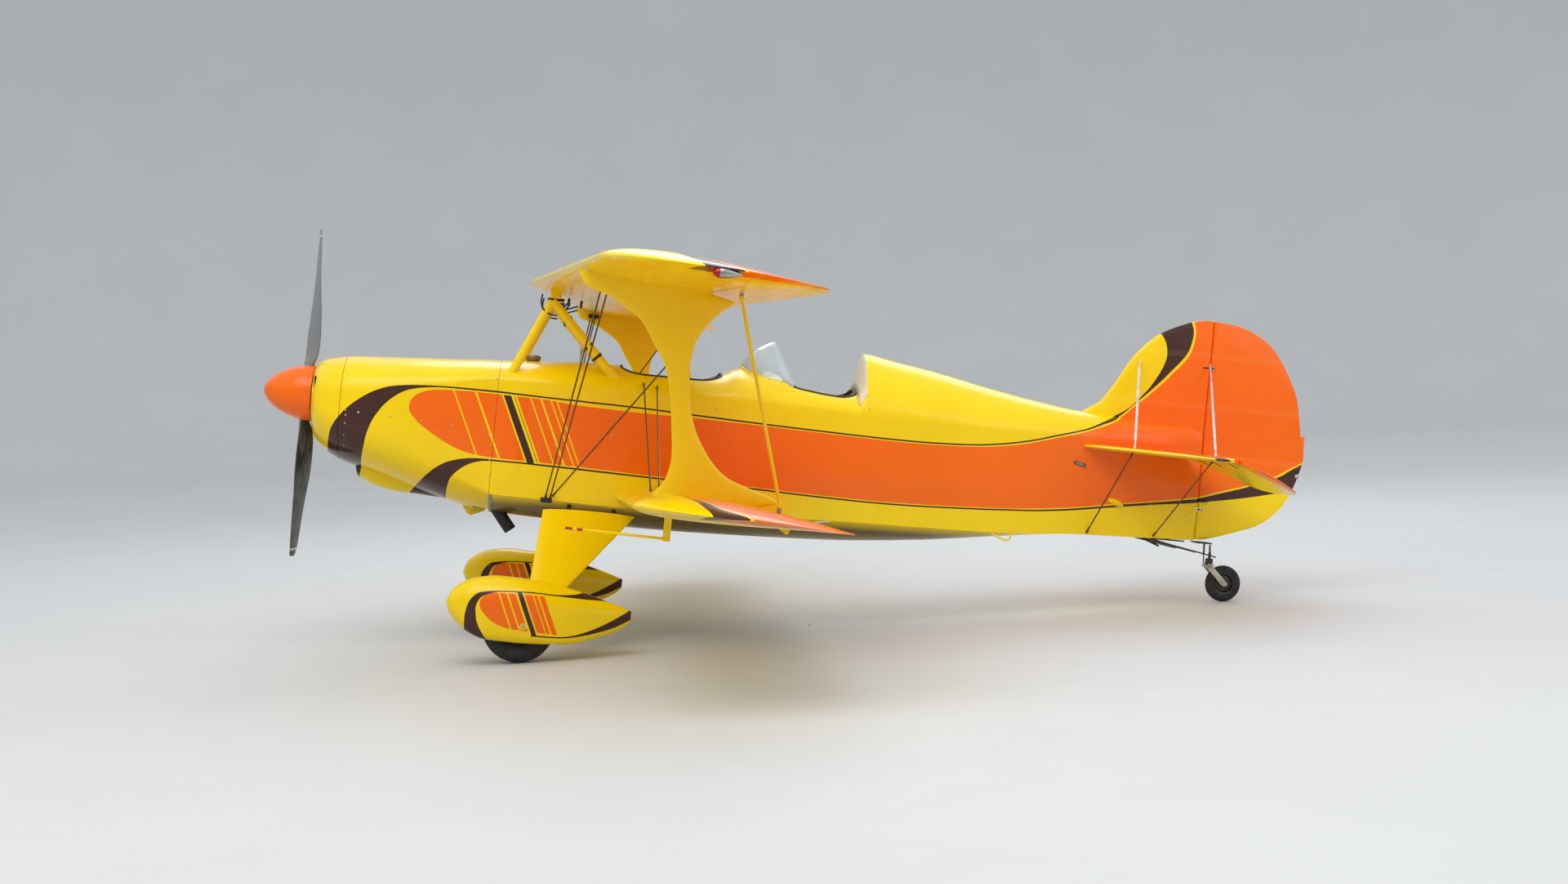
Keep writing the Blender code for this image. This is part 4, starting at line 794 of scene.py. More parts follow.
def deck_height(x, y):
    """Height of the deck's skin over a place (x, y)."""
    fit = FRONT_FIT if x <= DECK_STEP_X else REAR_FIT
    top, z_up, half_up = float(fit[0](x)), float(fit[1](x)), float(fit[2](x))
    fullness = float(fit[7](x))
    c = min(1.0, abs(y) / half_up)**(fullness / 2.0)
    return z_up + (top - z_up) * math.sqrt(max(0.0, 1.0 - c * c))**(2.0 / fullness)


def side_half(x, z):
    """Half width of the body at a place (x, z) on its side."""
    ring = body_ring(x)
    half = ring[ring[:, 1] >= -1e-9]
    order = np.argsort(half[:, 2])
    return float(np.interp(z, half[order, 2], half[order, 1]))

# %% Cutting


def stations(start, stop, step, marks=()):
    """Evenly spaced stations with some marks among them."""
    made = list(np.linspace(start, stop, max(2, int(round((stop - start) / step)) + 1)))
    made = [x for x in made if all(abs(x - m) > 0.4 * step for m in marks) or x in (start, stop)]
    return sorted(made + [m for m in marks if start < m < stop])


def applied(obj):
    """Mesh of an object with its modifiers, as points and faces; the object is removed."""
    graph = bpy.context.evaluated_depsgraph_get()
    done = obj.evaluated_get(graph)
    mesh = bpy.data.meshes.new_from_object(done)
    points = np.empty(len(mesh.vertices) * 3, np.float32)
    mesh.vertices.foreach_get("co", points)
    faces = [list(p.vertices) for p in mesh.polygons]
    bpy.data.objects.remove(obj, do_unlink=True)
    bpy.data.meshes.remove(mesh)
    return points.reshape(-1, 3).astype(float), faces


def scratch(part, outward=True):
    """A part as an object of the scene, to be worked on with modifiers."""
    mesh = bpy.data.meshes.new("scratch")
    mesh.from_pydata(np.asarray(part[0]).tolist(), [], part[1])
    if outward:
        faced_out(mesh)
    return linked("scratch", mesh)


def cut(part, *tools):
    """Part less its tools, by exact Booleans on scratch objects that are removed."""
    made = [scratch(each) for each in (part, *tools)]
    for tool in made[1:]:
        mod = made[0].modifiers.new("cut", "BOOLEAN")
        mod.operation = "DIFFERENCE"
        mod.solver = "EXACT"
        mod.object = tool
    bpy.context.view_layer.update()
    result = applied(made[0])
    for tool in made[1:]:
        bpy.data.objects.remove(tool, do_unlink=True)
    return result


def room_ring(x, inset=0.0):
    """Inside of the cabin at one station."""
    top, z_up, half_up = (float(FRONT_FIT[0](x)) - inset, float(FRONT_FIT[1](x)),
                          float(FRONT_FIT[2](x)) - inset)
    inner = half_up - 0.022
    b = np.arange(1, 12) / 12 * math.pi / 2
    half = [(0.0, -0.47), (0.6 * inner, -0.47), (inner - 0.02, -0.43), (inner, -0.38), (inner, 0.0),
            (inner, z_up)]
    half += list(zip(inner * np.cos(b), z_up + (top - 0.022 - z_up) * np.sin(b))) + [(0.0, top - 0.022)]
    ring = half + [(-y, z) for y, z in half[-2:0:-1]]
    return np.array([(x, y, z) for y, z in ring])


COCKPITS = {"front": (1.72, 2.280, 0.262, 0.13), "rear": (2.620, 3.046, 0.272, 0.11)}
EXHAUST_AT = (1.040, -0.095, -0.470)
EXHAUST_WAY = (0.147, 0.0, -0.186)


def opening_outline(x_front, x_back, half, corner, per=10):
    """Rounded rectangle seen from above, as (x, y)."""
    out = []
    for cx, cy, start in ((x_back - corner, half - corner, 0), (x_front + corner, half - corner, 90),
                          (x_front + corner, -half + corner, 180), (x_back - corner, -half + corner, 270)):
        for i in range(per + 1):
            a = math.radians(start + 90.0 * i / per)
            out.append((cx + corner * math.cos(a), cy + corner * math.sin(a)))
    return out

# %% Hull with its cabin and cockpits cut out
hull_rows = [body_ring(x) for x in stations(FIREWALL_X, TAIL_POST_X, 0.022,
                                            (2.285, 2.305, 2.325, 2.345, 2.365, 3.048, 3.062, 3.075, 3.088))]
room = skin([room_ring(x)
             for x in (1.62, 1.8, 2.0, 2.2, 2.285, 2.325, 2.365, 2.46, 2.56, 2.62, 2.7, 2.86, 3.02)])
holes = [skin([[(x, y, z) for x, y in opening_outline(*outline)] for z in (0.10, 0.75)])
         for outline in COCKPITS.values()]
tunnel = placed(drum(0.0375, -0.02, 0.30, 40), EXHAUST_AT, EXHAUST_WAY)
hull = cut(skin(hull_rows), room, *holes, tunnel)
fuselage = piece("fuselage_shell", hull, BODY_CLOTH, stands_for=["fuselage"],
                 fields=body_fields(hull[0]), angle=28.0)


def line_cabin(obj, look):
    """Second material on the faces that lie more than a skin's depth inside the deck and the sides."""
    mesh = obj.data
    centre = np.empty(len(mesh.polygons) * 3, np.float32)
    mesh.polygons.foreach_get("center", centre)
    centre = centre.reshape(-1, 3)
    c, s = math.cos(STANCE), math.sin(STANCE)
    px, pz = centre[:, 0] - HUB_X, centre[:, 2] - HUB_Z
    x, y, z = px * c - pz * s, centre[:, 1], px * s + pz * c
    within = np.clip(x, 1.06, 3.04)
    top, spring, half, low, half_low, full = (FRONT_FIT[k](within) for k in (0, 1, 2, 3, 4, 7))
    wall = half_low + (half - half_low) * np.clip((z - low) / (spring - low), 0, 1)
    deck = spring + (top - spring) * np.clip(1 - np.abs(y / half)**full, 0, 1)**(1 / full)
    inside = (x > 1.61) & (x < 3.032) & (np.abs(y) < wall - 0.014) & (z > low + 0.03) & (z < deck - 0.010)
    mesh.materials.append(look)
    mesh.polygons.foreach_set("material_index", inside.astype(np.int32))


LINING = plastic("cabin_lining", (0.135, 0.130, 0.118), 0.5, 0.7, scale=300.0)
line_cabin(fuselage, LINING)
print("fuselage", len(hull[1]), "faces")

# %% [markdown]
# ## Cowl, nose bowl, chin scoop and exhaust
# The cowl is two halves of sheet with a seam between them, the bowl and the scoop are moulded, and one
# plain pipe leaves below. All take the hull's own sections, so that the lines run on from one to the next.
# Exact Booleans hollow them and cut the seam, the inlets and the outlet: Solidify would give a wall too,
# but not the sharp lips round the holes.

# %% Cowl shell
cowl_rows = [body_ring(x, counts=(30, 26, 34))
             for x in stations(COWL_FRONT_X + 0.0012, FIREWALL_X - 0.002, 0.012)]
cowl_in = [body_ring(x, -0.004, (12, 10, 14)) for x in stations(COWL_FRONT_X - 0.01, FIREWALL_X + 0.01, 0.06)]
SPLIT_X = (0.200, 0.387, 0.502, 0.745, 1.015, 1.060)
SPLIT_Z = (-0.066, -0.081, -0.089, -0.104, -0.122, -0.125)


def on_side(x, z, side):
    """Place on the body's side and the outward direction there, from the slopes of its half width."""
    y, step = side_half(x, z), 0.004
    out = np.array((side_half(x - step, z) - side_half(x + step, z), 2 * step,
                    side_half(x, z - step) - side_half(x, z + step)))
    out /= np.linalg.norm(out)
    flip = np.array((1, side, 1))
    return np.array((x, y, z)) * flip, out * flip


def seam(side):
    """Thin cutter along the joint of the cowl's halves."""
    xs = np.linspace(SPLIT_X[0], SPLIT_X[-1], 44)
    return rod([on_side(x, np.interp(x, SPLIT_X, SPLIT_Z), side)[0] for x in xs], 0.0011, 6)


outlet = slab((0.97, -0.16, -0.62), (1.10, 0.16, -0.50), 0.0)
cowl = cut(skin(cowl_rows), skin(cowl_in), outlet, seam(1), seam(-1))
piece("cowl_shell", cowl, BODY_PAINT, stands_for=["cowl"], fields=body_fields(cowl[0]),
      angle=60.0)

bowl_x = [0.0400, 0.0415, 0.0445, 0.049, 0.055, 0.062, 0.070, 0.080, 0.092, 0.106, 0.122, 0.140, 0.160, 0.180,
          0.200, COWL_FRONT_X - 0.0012]
bowl_rows = [body_ring(x, counts=(30, 26, 34)) for x in bowl_x]
bowl_in = [body_ring(x, -0.006, (14, 12, 16)) for x in (0.052, 0.058, 0.066, 0.078, 0.095, 0.12, 0.15, 0.25)]
bore = placed(drum(0.075, -0.1, 0.3, 48), (0, 0, 0), (1, 0, 0))

# %% Air inlets


def inlet_ring(x, side):
    """Oval air inlet beside the spinner."""
    a = np.linspace(0, 2 * math.pi, 36, endpoint=False)
    return np.stack([np.full(36, x), side * 0.197 + 0.040 * np.cos(a), 0.050 + 0.052 * np.sin(a)], 1)


inlets = [skin([inlet_ring(x, side) for x in (-0.02, 0.30)]) for side in (-1, 1)]
bowl = cut(skin(bowl_rows), skin(bowl_in), bore, *inlets)
piece("nose_bowl_shell", bowl, BODY_PAINT, stands_for=["nose_bowl"],
      fields=body_fields(bowl[0]))

# %% Chin scoop and exhaust
SCOOP = [(0.300, 0.060, -0.385, -0.30), (0.312, 0.085, -0.428, -0.30), (0.345, 0.100, -0.450, -0.30),
         (0.410, 0.110, -0.478, -0.32), (0.480, 0.114, -0.496, -0.34), (0.560, 0.114, -0.505, -0.38),
         (0.640, 0.110, -0.506, -0.40), (0.740, 0.096, -0.512, -0.44), (0.800, 0.080, -0.516, -0.46)]
scoop_fit = fitted(SCOOP)


def scoop_ring(x):
    """Rounded U section of the chin scoop."""
    half, low, high = [float(f(x)) for f in scoop_fit]
    a = np.linspace(0, math.pi, 25)
    ring = np.stack([np.full(25, x), -half * np.cos(a), low + 0.07 - 0.07 * np.sin(a)], 1)
    return np.concatenate([ring, [(x, half, high), (x, -half, high)]])


scoop_x = [0.300, 0.302, 0.305, 0.309, 0.314, 0.322, 0.335, 0.350] + list(np.linspace(0.37, 0.80, 30))
cowl_solid = skin([body_ring(x, 0.0004, (16, 14, 16))
                   for x in stations(COWL_FRONT_X, FIREWALL_X - 0.002, 0.03)])
mouth = placed(turned([(0.0, 0.0), (0.037, 0.0), (0.036, 0.20), (0.0, 0.20)], 40), (0.26, 0.0, -0.406),
               (1.0, 0.0, -0.10))
scoop = cut(skin([scoop_ring(x) for x in scoop_x]), cowl_solid, mouth)
piece("chin_scoop_shell", scoop, BODY_PAINT, stands_for=["chin_scoop"],
      fields=body_fields(scoop[0]), angle=50.0)

EXHAUST_BLACK = metal("sooty_steel", (0.045, 0.040, 0.038), 0.45, 0.75, 0.6)
piece("exhaust_pipe", placed(turned([(0.0, 0.0), (0.034, 0.0), (0.034, 0.232), (0.0335, 0.2365),
                                     (0.0315, 0.2370), (0.030, 0.235), (0.030, 0.06), (0.0, 0.06)], 40),
                             EXHAUST_AT, EXHAUST_WAY),
      EXHAUST_BLACK, stands_for=["exhaust_outlet"])
print("cowl", len(cowl[1]), "bowl", len(bowl[1]), "scoop", len(scoop[1]))

# %% [markdown]
# ## Propeller and spinner
# A blade is a run of flattened ovals whose chord, thickness, pitch and lean change with the radius. A
# second blade could be a turned copy, but the loop makes both, because the finish needs to know the front,
# the back and the leading edge at each point. The spinner is a turned shell with a slot for each blade.

# %% Blades and hub
BLADE = [(0.030, 0.050, 0.050, 60.0, 0.000), (0.135, 0.055, 0.051, 50.0, 0.000),
         (0.165, 0.070, 0.046, 47.0, 0.003), (0.210, 0.100, 0.036, 45.0, 0.012),
         (0.280, 0.118, 0.028, 42.0, 0.015), (0.380, 0.150, 0.022, 31.0, 0.015),
         (0.480, 0.168, 0.018, 23.5, 0.014), (0.600, 0.163, 0.014, 17.5, 0.010),
         (0.720, 0.152, 0.011, 14.5, 0.006), (0.820, 0.135, 0.009, 13.0, 0.004),
         (0.880, 0.112, 0.007, 12.3, 0.002), (0.904, 0.088, 0.006, 12.0, 0.000),
         (PROP_RADIUS, 0.062, 0.004, 12.0, 0.000)]
blade_fit = fitted(BLADE)


def blade_ring(radius, side, grow=0.0):
    """Blade section: an oval, flatter on its front, turned by the pitch."""
    chord, thick, pitch, shift = [float(f(radius)) for f in blade_fit]
    a = -math.radians(pitch)
    t = np.linspace(0, 2 * math.pi, 40, endpoint=False)
    across = (chord / 2 + grow) * np.cos(t)
    through = (thick / 2 + grow) * np.sin(t) * np.where(np.sin(t) < 0, 1.0, 0.8)
    y = across * math.cos(a) - through * math.sin(a)
    x = across * math.sin(a) + through * math.cos(a)
    return np.stack([BLADE_X + shift + x, side * y, np.full(40, side * radius)], 1), across / chord, through


BLADE_RADII = np.concatenate([np.linspace(0.030, 0.86, 60), np.linspace(0.868, PROP_RADIUS, 14)])
prop_parts = []
prop_fields = {"radial": [], "face": [], "edge": []}
for side in (1, -1):
    rows = []
    for radius in BLADE_RADII:
        ring, edge, through = blade_ring(radius, side)
        rows.append(ring)
        prop_fields["radial"] += [radius] * len(ring)
        prop_fields["face"] += list(np.sign(through) * -1.0)
        prop_fields["edge"] += list(edge)
    prop_parts.append(skin(rows))
hub = placed(turned([(0.0, -0.050), (0.066, -0.050), (0.070, -0.046), (0.070, 0.026), (0.066, 0.0302),
                     (0.0, 0.0302)], 48), (0, 0, 0), (1, 0, 0))
for key in prop_fields:
    prop_fields[key] += [0.0] * len(hub[0])
prop_parts.append(hub)

# %% Blade finish


def blade_look():
    """Blade faces: black on the back, dull grey on the front, with a pale leading edge and tip band."""
    look = Look("blade_finish", 0.4, 0.0, 0.2)
    front = look.within([("face", 0.0, None)])
    color = look.mix(front, (0.016, 0.016, 0.018), (0.20, 0.205, 0.21))
    streak = look.span(look.noise(60.0, 4.0, (1, 1, 0.15)), 0.4, 0.7, 0.0, 0.25)
    color = look.mix(streak, color, (0.30, 0.30, 0.30))
    color = look.mix(look.within([("edge", 0.475, None)]), color, (0.45, 0.45, 0.44))
    color = look.mix(look.within([("radial", 0.866, 0.880)]), color, (0.55, 0.55, 0.53))
    color = look.mix(look.within([("radial", 0.088, 0.152)]), color, (0.42, 0.42, 0.41))
    look.color(color)
    look.rough(0.28, 0.5, 20.0)
    look.bump(look.noise(200.0, 3.0, (1, 1, 0.2)), 0.00008, 0.5)
    return look.mat


piece("propeller_blades", join(*prop_parts), blade_look(), "propeller", ["propeller"],
      fields=prop_fields, angle=60.0)

# %% Spinner
SPINNER = smooth_path([(0.0, 0.237), (0.010, 0.2362), (0.020, 0.234), (0.045, 0.221), (0.072, 0.198),
                       (0.098, 0.165), (0.121, 0.122), (0.138, 0.078), (0.149, 0.034), (0.154, -0.004),
                       (0.155, -0.030)], 4)
spinner_profile = [tuple(p) for p in SPINNER] + [(0.155, -0.034), (0.060, -0.034), (0.060, -0.0305),
                                                  (0.1495, -0.0305), (0.144, 0.030), (0.133, 0.074),
                                                  (0.117, 0.116), (0.095, 0.157), (0.070, 0.188), (0.0, 0.214)]
spinner_profile = [(max(r, 0.0) if i else 0.0, h) for i, (r, h) in enumerate(spinner_profile)]
spinner_body = placed(turned(spinner_profile, 96), (0, 0, 0), (-1, 0, 0))
slots = [skin([blade_ring(r, side, 0.004)[0] for r in (0.060, 0.10, 0.135, 0.16, 0.19, 0.21)])
         for side in (1, -1)]
spinner = cut(spinner_body, *slots)
piece("spinner_shell", spinner, ORANGE_PAINT, "propeller", ["spinner"], angle=40.0)
print("propeller", sum(len(p[1]) for p in prop_parts), "spinner", len(spinner[1]))

# %% [markdown]
# ## Wings and ailerons
# A four-digit style section on a swept or raised reference line. Between ribs the cloth sags a little.
# In plan a brown crescent crosses each tip and thins into a line along the front; behind it the upper
# face is orange, while the lower face stays yellow away from the tip. Wing and aileron read the same
# section formula, so that the skin runs on across the hinge gap, which two modelled halves seldom do.

# %% Wing sections


def airfoil(u, thick):
    """Heights of the upper and lower side at chord parts u: mean line plus and minus the thickness law."""
    half = 5 * thick * (0.2969 * np.sqrt(u) - 0.1260 * u - 0.3516 * u**2 + 0.2843 * u**3 - 0.1015 * u**4)
    crest = 0.4
    mid = np.where(u < crest, SECTION_CAMBER / crest**2 * (2 * crest * u - u**2),
                   SECTION_CAMBER / (1 - crest)**2 * ((1 - 2 * crest) + 2 * crest * u - u**2))
    return mid + half + 0.0004, mid - half - 0.0004


class Wing:
    """Place of the wing sections along the span."""

    def __init__(self, front_x, front_z, sweep, rise, drop, half_span, tip_start, root, ribs, outer, inner,
                 wrap):
        self.front_x = front_x
        self.front_z = front_z
        self.sweep = math.tan(math.radians(sweep))
        self.rise = math.tan(math.radians(rise))
        self.drop = drop
        self.half_span = half_span
        self.tip_start = tip_start
        self.root = root
        self.ribs = ribs
        self.outer = smooth_path(outer, 6)
        self.inner = smooth_path(inner, 6)
        self.wrap = wrap

    def front(self, y):
        """Nose point of the full-chord section."""
        return self.front_x + self.sweep * abs(y), self.front_z + self.rise * abs(y)

    def sag(self, y, u):
        """Cloth dip between ribs, none over the stiff nose and the trailing edge."""
        phase = (abs(y) % self.ribs) / self.ribs
        ends = np.clip((u - 0.14) / 0.12, 0, 1) * np.clip((1.0 - u) / 0.12, 0, 1)
        return 0.0017 * math.sin(math.pi * phase)**1.3 * ends

    def ring(self, y, start, stop, count):
        """Section ring at a span station, from one part of the chord to another."""
        x0, z0 = self.front(y)
        s = min(1.0, max(0.0, (abs(y) - self.tip_start) / (self.half_span - self.tip_start)))
        curve = 1.0 - math.sqrt(max(0.0, 1.0 - s * s))
        nose_cut = 0.40 * WING_CHORD * curve
        tail_cut = 0.13 * WING_CHORD * curve
        chord = WING_CHORD - nose_cut - tail_cut
        taper = max(0.0, (abs(y) - self.tip_start + 0.25) / (self.half_span - self.tip_start + 0.25))
        slim = max(0.12, (1.0 - 0.45 * taper**2) * math.sqrt(max(0.0, 1.0 - s**3)))
        w = 0.5 * (1 - np.cos(np.pi * np.arange(count) / (count - 1)))
        u = w if stop == 1.0 else np.concatenate([w[:-3] / w[-4] * stop * 0.999, [stop] * 3])
        if stop == 1.0 and start > 0.0:
            u = start + (1.0 - start) * w
        upper, lower = airfoil(u, SECTION_THICK * slim)
        dip = self.sag(y, u) * (1.0 - s)
        x = x0 + nose_cut + chord * u
        base = z0 - self.drop * (nose_cut + chord * u) / WING_CHORD
        top = np.stack([x, np.full(count, y), base + chord * upper - dip], 1)
        low = np.stack([x, np.full(count, y), base + chord * lower + dip], 1)
        return np.concatenate([top[::-1], low[1:]])

    def skin_z(self, x, y, face):
        """Height of the skin over a place: face 0 is the upper side, 1 the lower."""
        x0, z0 = self.front(y)
        u = np.clip((np.asarray(x, float) - x0) / WING_CHORD, 0.0, 1.0)
        return z0 - self.drop * u + WING_CHORD * airfoil(u, SECTION_THICK)[face]

    def hinge(self, y):
        """Aileron hinge point at a span station."""
        x0, z0 = self.front(y)
        u = HINGE_FRACTION
        mid = SECTION_CAMBER / 0.36 * (0.2 + 0.8 * u - u**2)
        return x0 + WING_CHORD * u, y, z0 - self.drop * u + WING_CHORD * mid

    def fields(self, points, upper):
        """Plan view fields; upper is 1 on the upper face and -1 on the lower one."""
        x = points[:, 0]
        y = np.abs(points[:, 1])
        edge = self.front_x + self.sweep * y
        return {"band_outer": -edge_field(self.outer, x, y), "band_inner": edge_field(self.inner, x, y),
                "wrap": np.where(upper > 0, 1.0, np.clip((y - self.wrap) * 30.0, -1.0, 1.0)),
                "chordwise": (x - edge) / WING_CHORD}


UPPER = Wing(1.176, 0.732, 6.0, 0.0, 0.070, 3.66, 3.16, 0.0, 0.261,
             [(2.05, 3.80), (1.960, 3.70), (1.900, 3.60), (1.830, 3.40), (1.777, 3.20), (1.722, 3.00),
              (1.672, 2.70), (1.625, 2.30), (1.380, 0.0), (1.36, -0.2)],
             [(2.24, 3.80), (2.130, 3.70), (2.040, 3.60), (1.905, 3.40), (1.815, 3.20), (1.750, 3.00),
              (1.690, 2.70), (1.637, 2.30), (1.392, 0.0), (1.37, -0.2)], 3.52)
LOWER = Wing(1.745, -0.418, 0.0, 2.2, 0.040, 3.50, 3.16, 0.30, 0.255,
             [(2.12, 3.62), (2.090, 3.55), (2.056, 3.47), (2.030, 3.40), (1.992, 3.25), (1.965, 3.10),
              (1.945, 2.80), (1.940, 2.40), (1.940, 0.3), (1.94, 0.0)],
             [(2.36, 3.62), (2.270, 3.55), (2.190, 3.47), (2.100, 3.40), (2.024, 3.25), (1.985, 3.10),
              (1.960, 2.80), (1.953, 2.40), (1.953, 0.3), (1.953, 0.0)], 3.36)

# %% Doped cloth with its rib tapes


def cloth_paint(name, regions, spacing):
    """Enamel on doped cloth: a tape over each rib, at even steps of the span, with a row of stitches."""
    look = enamel(name, YELLOW, regions, cloth=True)
    span = look.math("ABSOLUTE", look.node("ShaderNodeSeparateXYZ", {0: look.where}).outputs["Y"])
    turn = look.math("FRACT", look.math("ADD", look.math("DIVIDE", span, spacing), 0.5))
    rib = look.math("MULTIPLY", look.math("ABSOLUTE", look.math("SUBTRACT", turn, 0.5)), spacing)
    look.bump(look.span(rib, 0.0160, 0.0180, 1.0, 0.0), 0.0004, 0.7)
    beat = look.math("SINE", look.math("MULTIPLY", look.field("chordwise"), 190.0))
    stitch = look.math("MULTIPLY", look.span(beat, 0.4, 0.9), look.span(rib, 0.002, 0.006, 1, 0))
    look.bump(stitch, 0.0002, 0.4)
    return look.mat


WING_REGIONS = [
    (BROWN, [("band_outer", 0.0, None), ("band_inner", 0.0, None), ("wrap", 0.0, None)]),
    (ORANGE, [("band_inner", None, -0.011), ("wrap", 0.0, None)]),
]
UPPER_CLOTH = cloth_paint("upper_wing_livery", WING_REGIONS, UPPER.ribs)
LOWER_CLOTH = cloth_paint("lower_wing_livery", WING_REGIONS, LOWER.ribs)

# %% Wing skins and ailerons


def tip_stations(wing):
    """Span stations over the rounded tip, closer towards its end."""
    reach = wing.half_span - wing.tip_start
    t = np.sin(np.linspace(0, math.pi / 2, 20)[:-1])
    return [wing.tip_start + reach * v for v in t] + [wing.tip_start + 0.9965 * reach,
                                                      wing.tip_start + 0.99975 * reach]


def wing_skin(wing, sides):
    """Closed shells of a wing: full section inboard, shortened at the aileron bays, full at the tips."""
    count = 34
    y_in = AILERON_IN - HINGE_GAP
    y_out = AILERON_OUT + HINGE_GAP
    front = HINGE_FRACTION - (AILERON_NOSE_R + HINGE_GAP) / WING_CHORD
    shells = []
    upper = []
    for side in sides:
        tip = [y_out] + [y for y in tip_stations(wing) if y > y_out + 0.004]
        inner = list(np.linspace(wing.root, y_in, int((y_in - wing.root) / 0.026) + 1))
        if wing.root == 0.0 and side > 0:
            inner = [-y for y in inner[:0:-1]] + inner
        bay = list(np.linspace(y_in, y_out, 58))
        plans = [(bay, front), (tip, 1.0)]
        if wing.root > 0.0 or side > 0:
            plans.insert(0, (inner, 1.0))
        for ys, stop in plans:
            rows = [wing.ring(side * y, 0.0, stop, count) for y in ys]
            shells.append(skin(rows))
            upper += ([1.0] * count + [-1.0] * (count - 1)) * len(rows)
    return join(*shells), np.array(upper)


def aileron_part(wing, side):
    """Aileron: round nose about the hinge, then the wing's own skin to the trailing edge."""
    rows = []
    upper = []
    for y in np.linspace(AILERON_IN, AILERON_OUT, 58):
        hx, _, hz = wing.hinge(y)
        a = np.radians(np.linspace(90, 270, 15))
        nose = np.stack([hx + AILERON_NOSE_R * np.cos(a), np.full(15, side * y),
                         hz + AILERON_NOSE_R * np.sin(a)], 1)
        full = wing.ring(side * y, HINGE_FRACTION + 0.035, 1.0, 18)
        rows.append(np.concatenate([nose, full[18:], full[:18]]))
        upper += [1.0] * 8 + [-1.0] * 7 + [-1.0] * 17 + [1.0] * 18
    return skin(rows), np.array(upper)


EYE_UPPER = (0.070, -0.062)
EYE_LOWER = (0.034, 0.062)
LUG_HALF = 0.003
EYE_HALF = 0.0082
EYE_OFFSET = LUG_HALF + 0.0003 + EYE_HALF
LUG_SHIFT = 0.0065


def hinge_frame(wing, side):
    """Frame on the aileron hinge at the slave strut, with Y along the hinge."""
    x, y, z = wing.hinge(SLAVE_Y)
    axis = Vector((side * wing.sweep, 1.0, side * wing.rise)).normalized()
    turn = Vector((0.0, 1.0, 0.0)).rotation_difference(axis).to_matrix().to_4x4()
    return Matrix.Translation((x, side * y, z)) @ turn


def moved(part, matrix):
    """A part under a 4x4 matrix."""
    points, faces = part
    m = np.array(matrix)
    return np.asarray(points) @ m[:3, :3].T + m[:3, 3], faces


for label, wing, sides in (("upper_wing", UPPER, (-1, 1)), ("lower_wing_left", LOWER, (-1,)),
                           ("lower_wing_right", LOWER, (1,))):
    part, upper = wing_skin(wing, sides)
    piece(label + "_skin", part, UPPER_CLOTH if wing is UPPER else LOWER_CLOTH, stands_for=[label],
          fields=wing.fields(part[0], upper), angle=40.0)
    print(label, len(part[1]), "faces")

for wing, label, (reach, drop) in ((UPPER, "upper", EYE_UPPER), (LOWER, "lower", EYE_LOWER)):
    for side_name, side in SIDES:
        body = "aileron_%s_%s" % (label, side_name)
        part, upper = aileron_part(wing, side)
        piece(body + "_skin", part, UPPER_CLOTH if wing is UPPER else LOWER_CLOTH, body, [body],
              fields=wing.fields(part[0], upper), angle=40.0)
        shift = 0.0 if label == "upper" else -side * LUG_SHIFT
        ends = sorted((math.copysign(0.02, drop), drop * 1.16))
        lug = slab((reach - 0.010, shift - LUG_HALF, ends[0]),
                   (reach + 0.010, shift + LUG_HALF, ends[1]), 0.0012)
        lug = moved(lug, hinge_frame(wing, side))
        pins = []
        for y, step in ((AILERON_IN, -1), (AILERON_OUT, 1)):
            a = wing.hinge(y - step * 0.03)
            b = wing.hinge(y + step * (HINGE_GAP - 0.0003))
            pins.append(rod([(p[0], side * p[1], p[2]) for p in (a, b)], 0.006, 16))
        piece(body + "_fittings", join(lug, *pins), STEEL, body)

# %% [markdown]
# ## Tail surfaces
# The fin and rudder carry the body's livery in side view, the tailplane and elevators the wing's in plan.
# Real ones are flat frames of tube under cloth: a round front, nearly parallel sides and a thin back edge.
# A flat outline with Solidify and Bevel comes close, but its back edge would be as thick as its front.

# %% Fin and rudder
FIN_EDGE = smooth_table((0.24, 0.322, 0.366, 0.452, 0.658, 0.789, 0.859, 0.886, 0.892),
                        (4.30, 4.402, 4.470, 4.534, 4.658, 4.790, 4.929, 5.010, 5.050))
RUDDER_EDGE = smooth_table((-0.372, -0.361, -0.315, -0.260, -0.133, 0.060, 0.157, 0.251, 0.485, 0.644, 0.760,
                            0.835, 0.883, 0.890),
                           (5.150, 5.196, 5.338, 5.479, 5.614, 5.693, 5.712, 5.688, 5.640, 5.560, 5.475,
                            5.370, 5.219, 5.150))
RUDDER_NOSE_R = 0.017
RUDDER_HINGES_Z = (-0.20, 0.62)
POST_FACE = RUDDER_HINGE_X - RUDDER_NOSE_R - HINGE_GAP


def fin_ring(z):
    """Fin section: round nose, straight sides to the post."""
    front = float(FIN_EDGE(z))
    reach = POST_FACE - front
    t = np.linspace(0, math.pi, 37)
    nose = front + min(reach * 0.98, 0.16) * (1 - np.sin(t))
    low = np.stack([np.linspace(POST_FACE, nose[0], 16), np.full(16, -0.019), np.full(16, z)], 1)
    curve = np.stack([nose, -0.019 * np.cos(t), np.full(37, z)], 1)
    return np.concatenate([low[:-1], curve, (low * (1, -1, 1))[::-1][1:]])


TAPE_Z = (0.690, 0.396, 0.105, -0.183)


def fin_fields(points):
    """The body's fields, and the distance to the nearest rib tape."""
    made = body_fields(points)
    made["rib"] = np.min([np.abs(points[:, 2] - z) for z in TAPE_Z], 0)
    return made


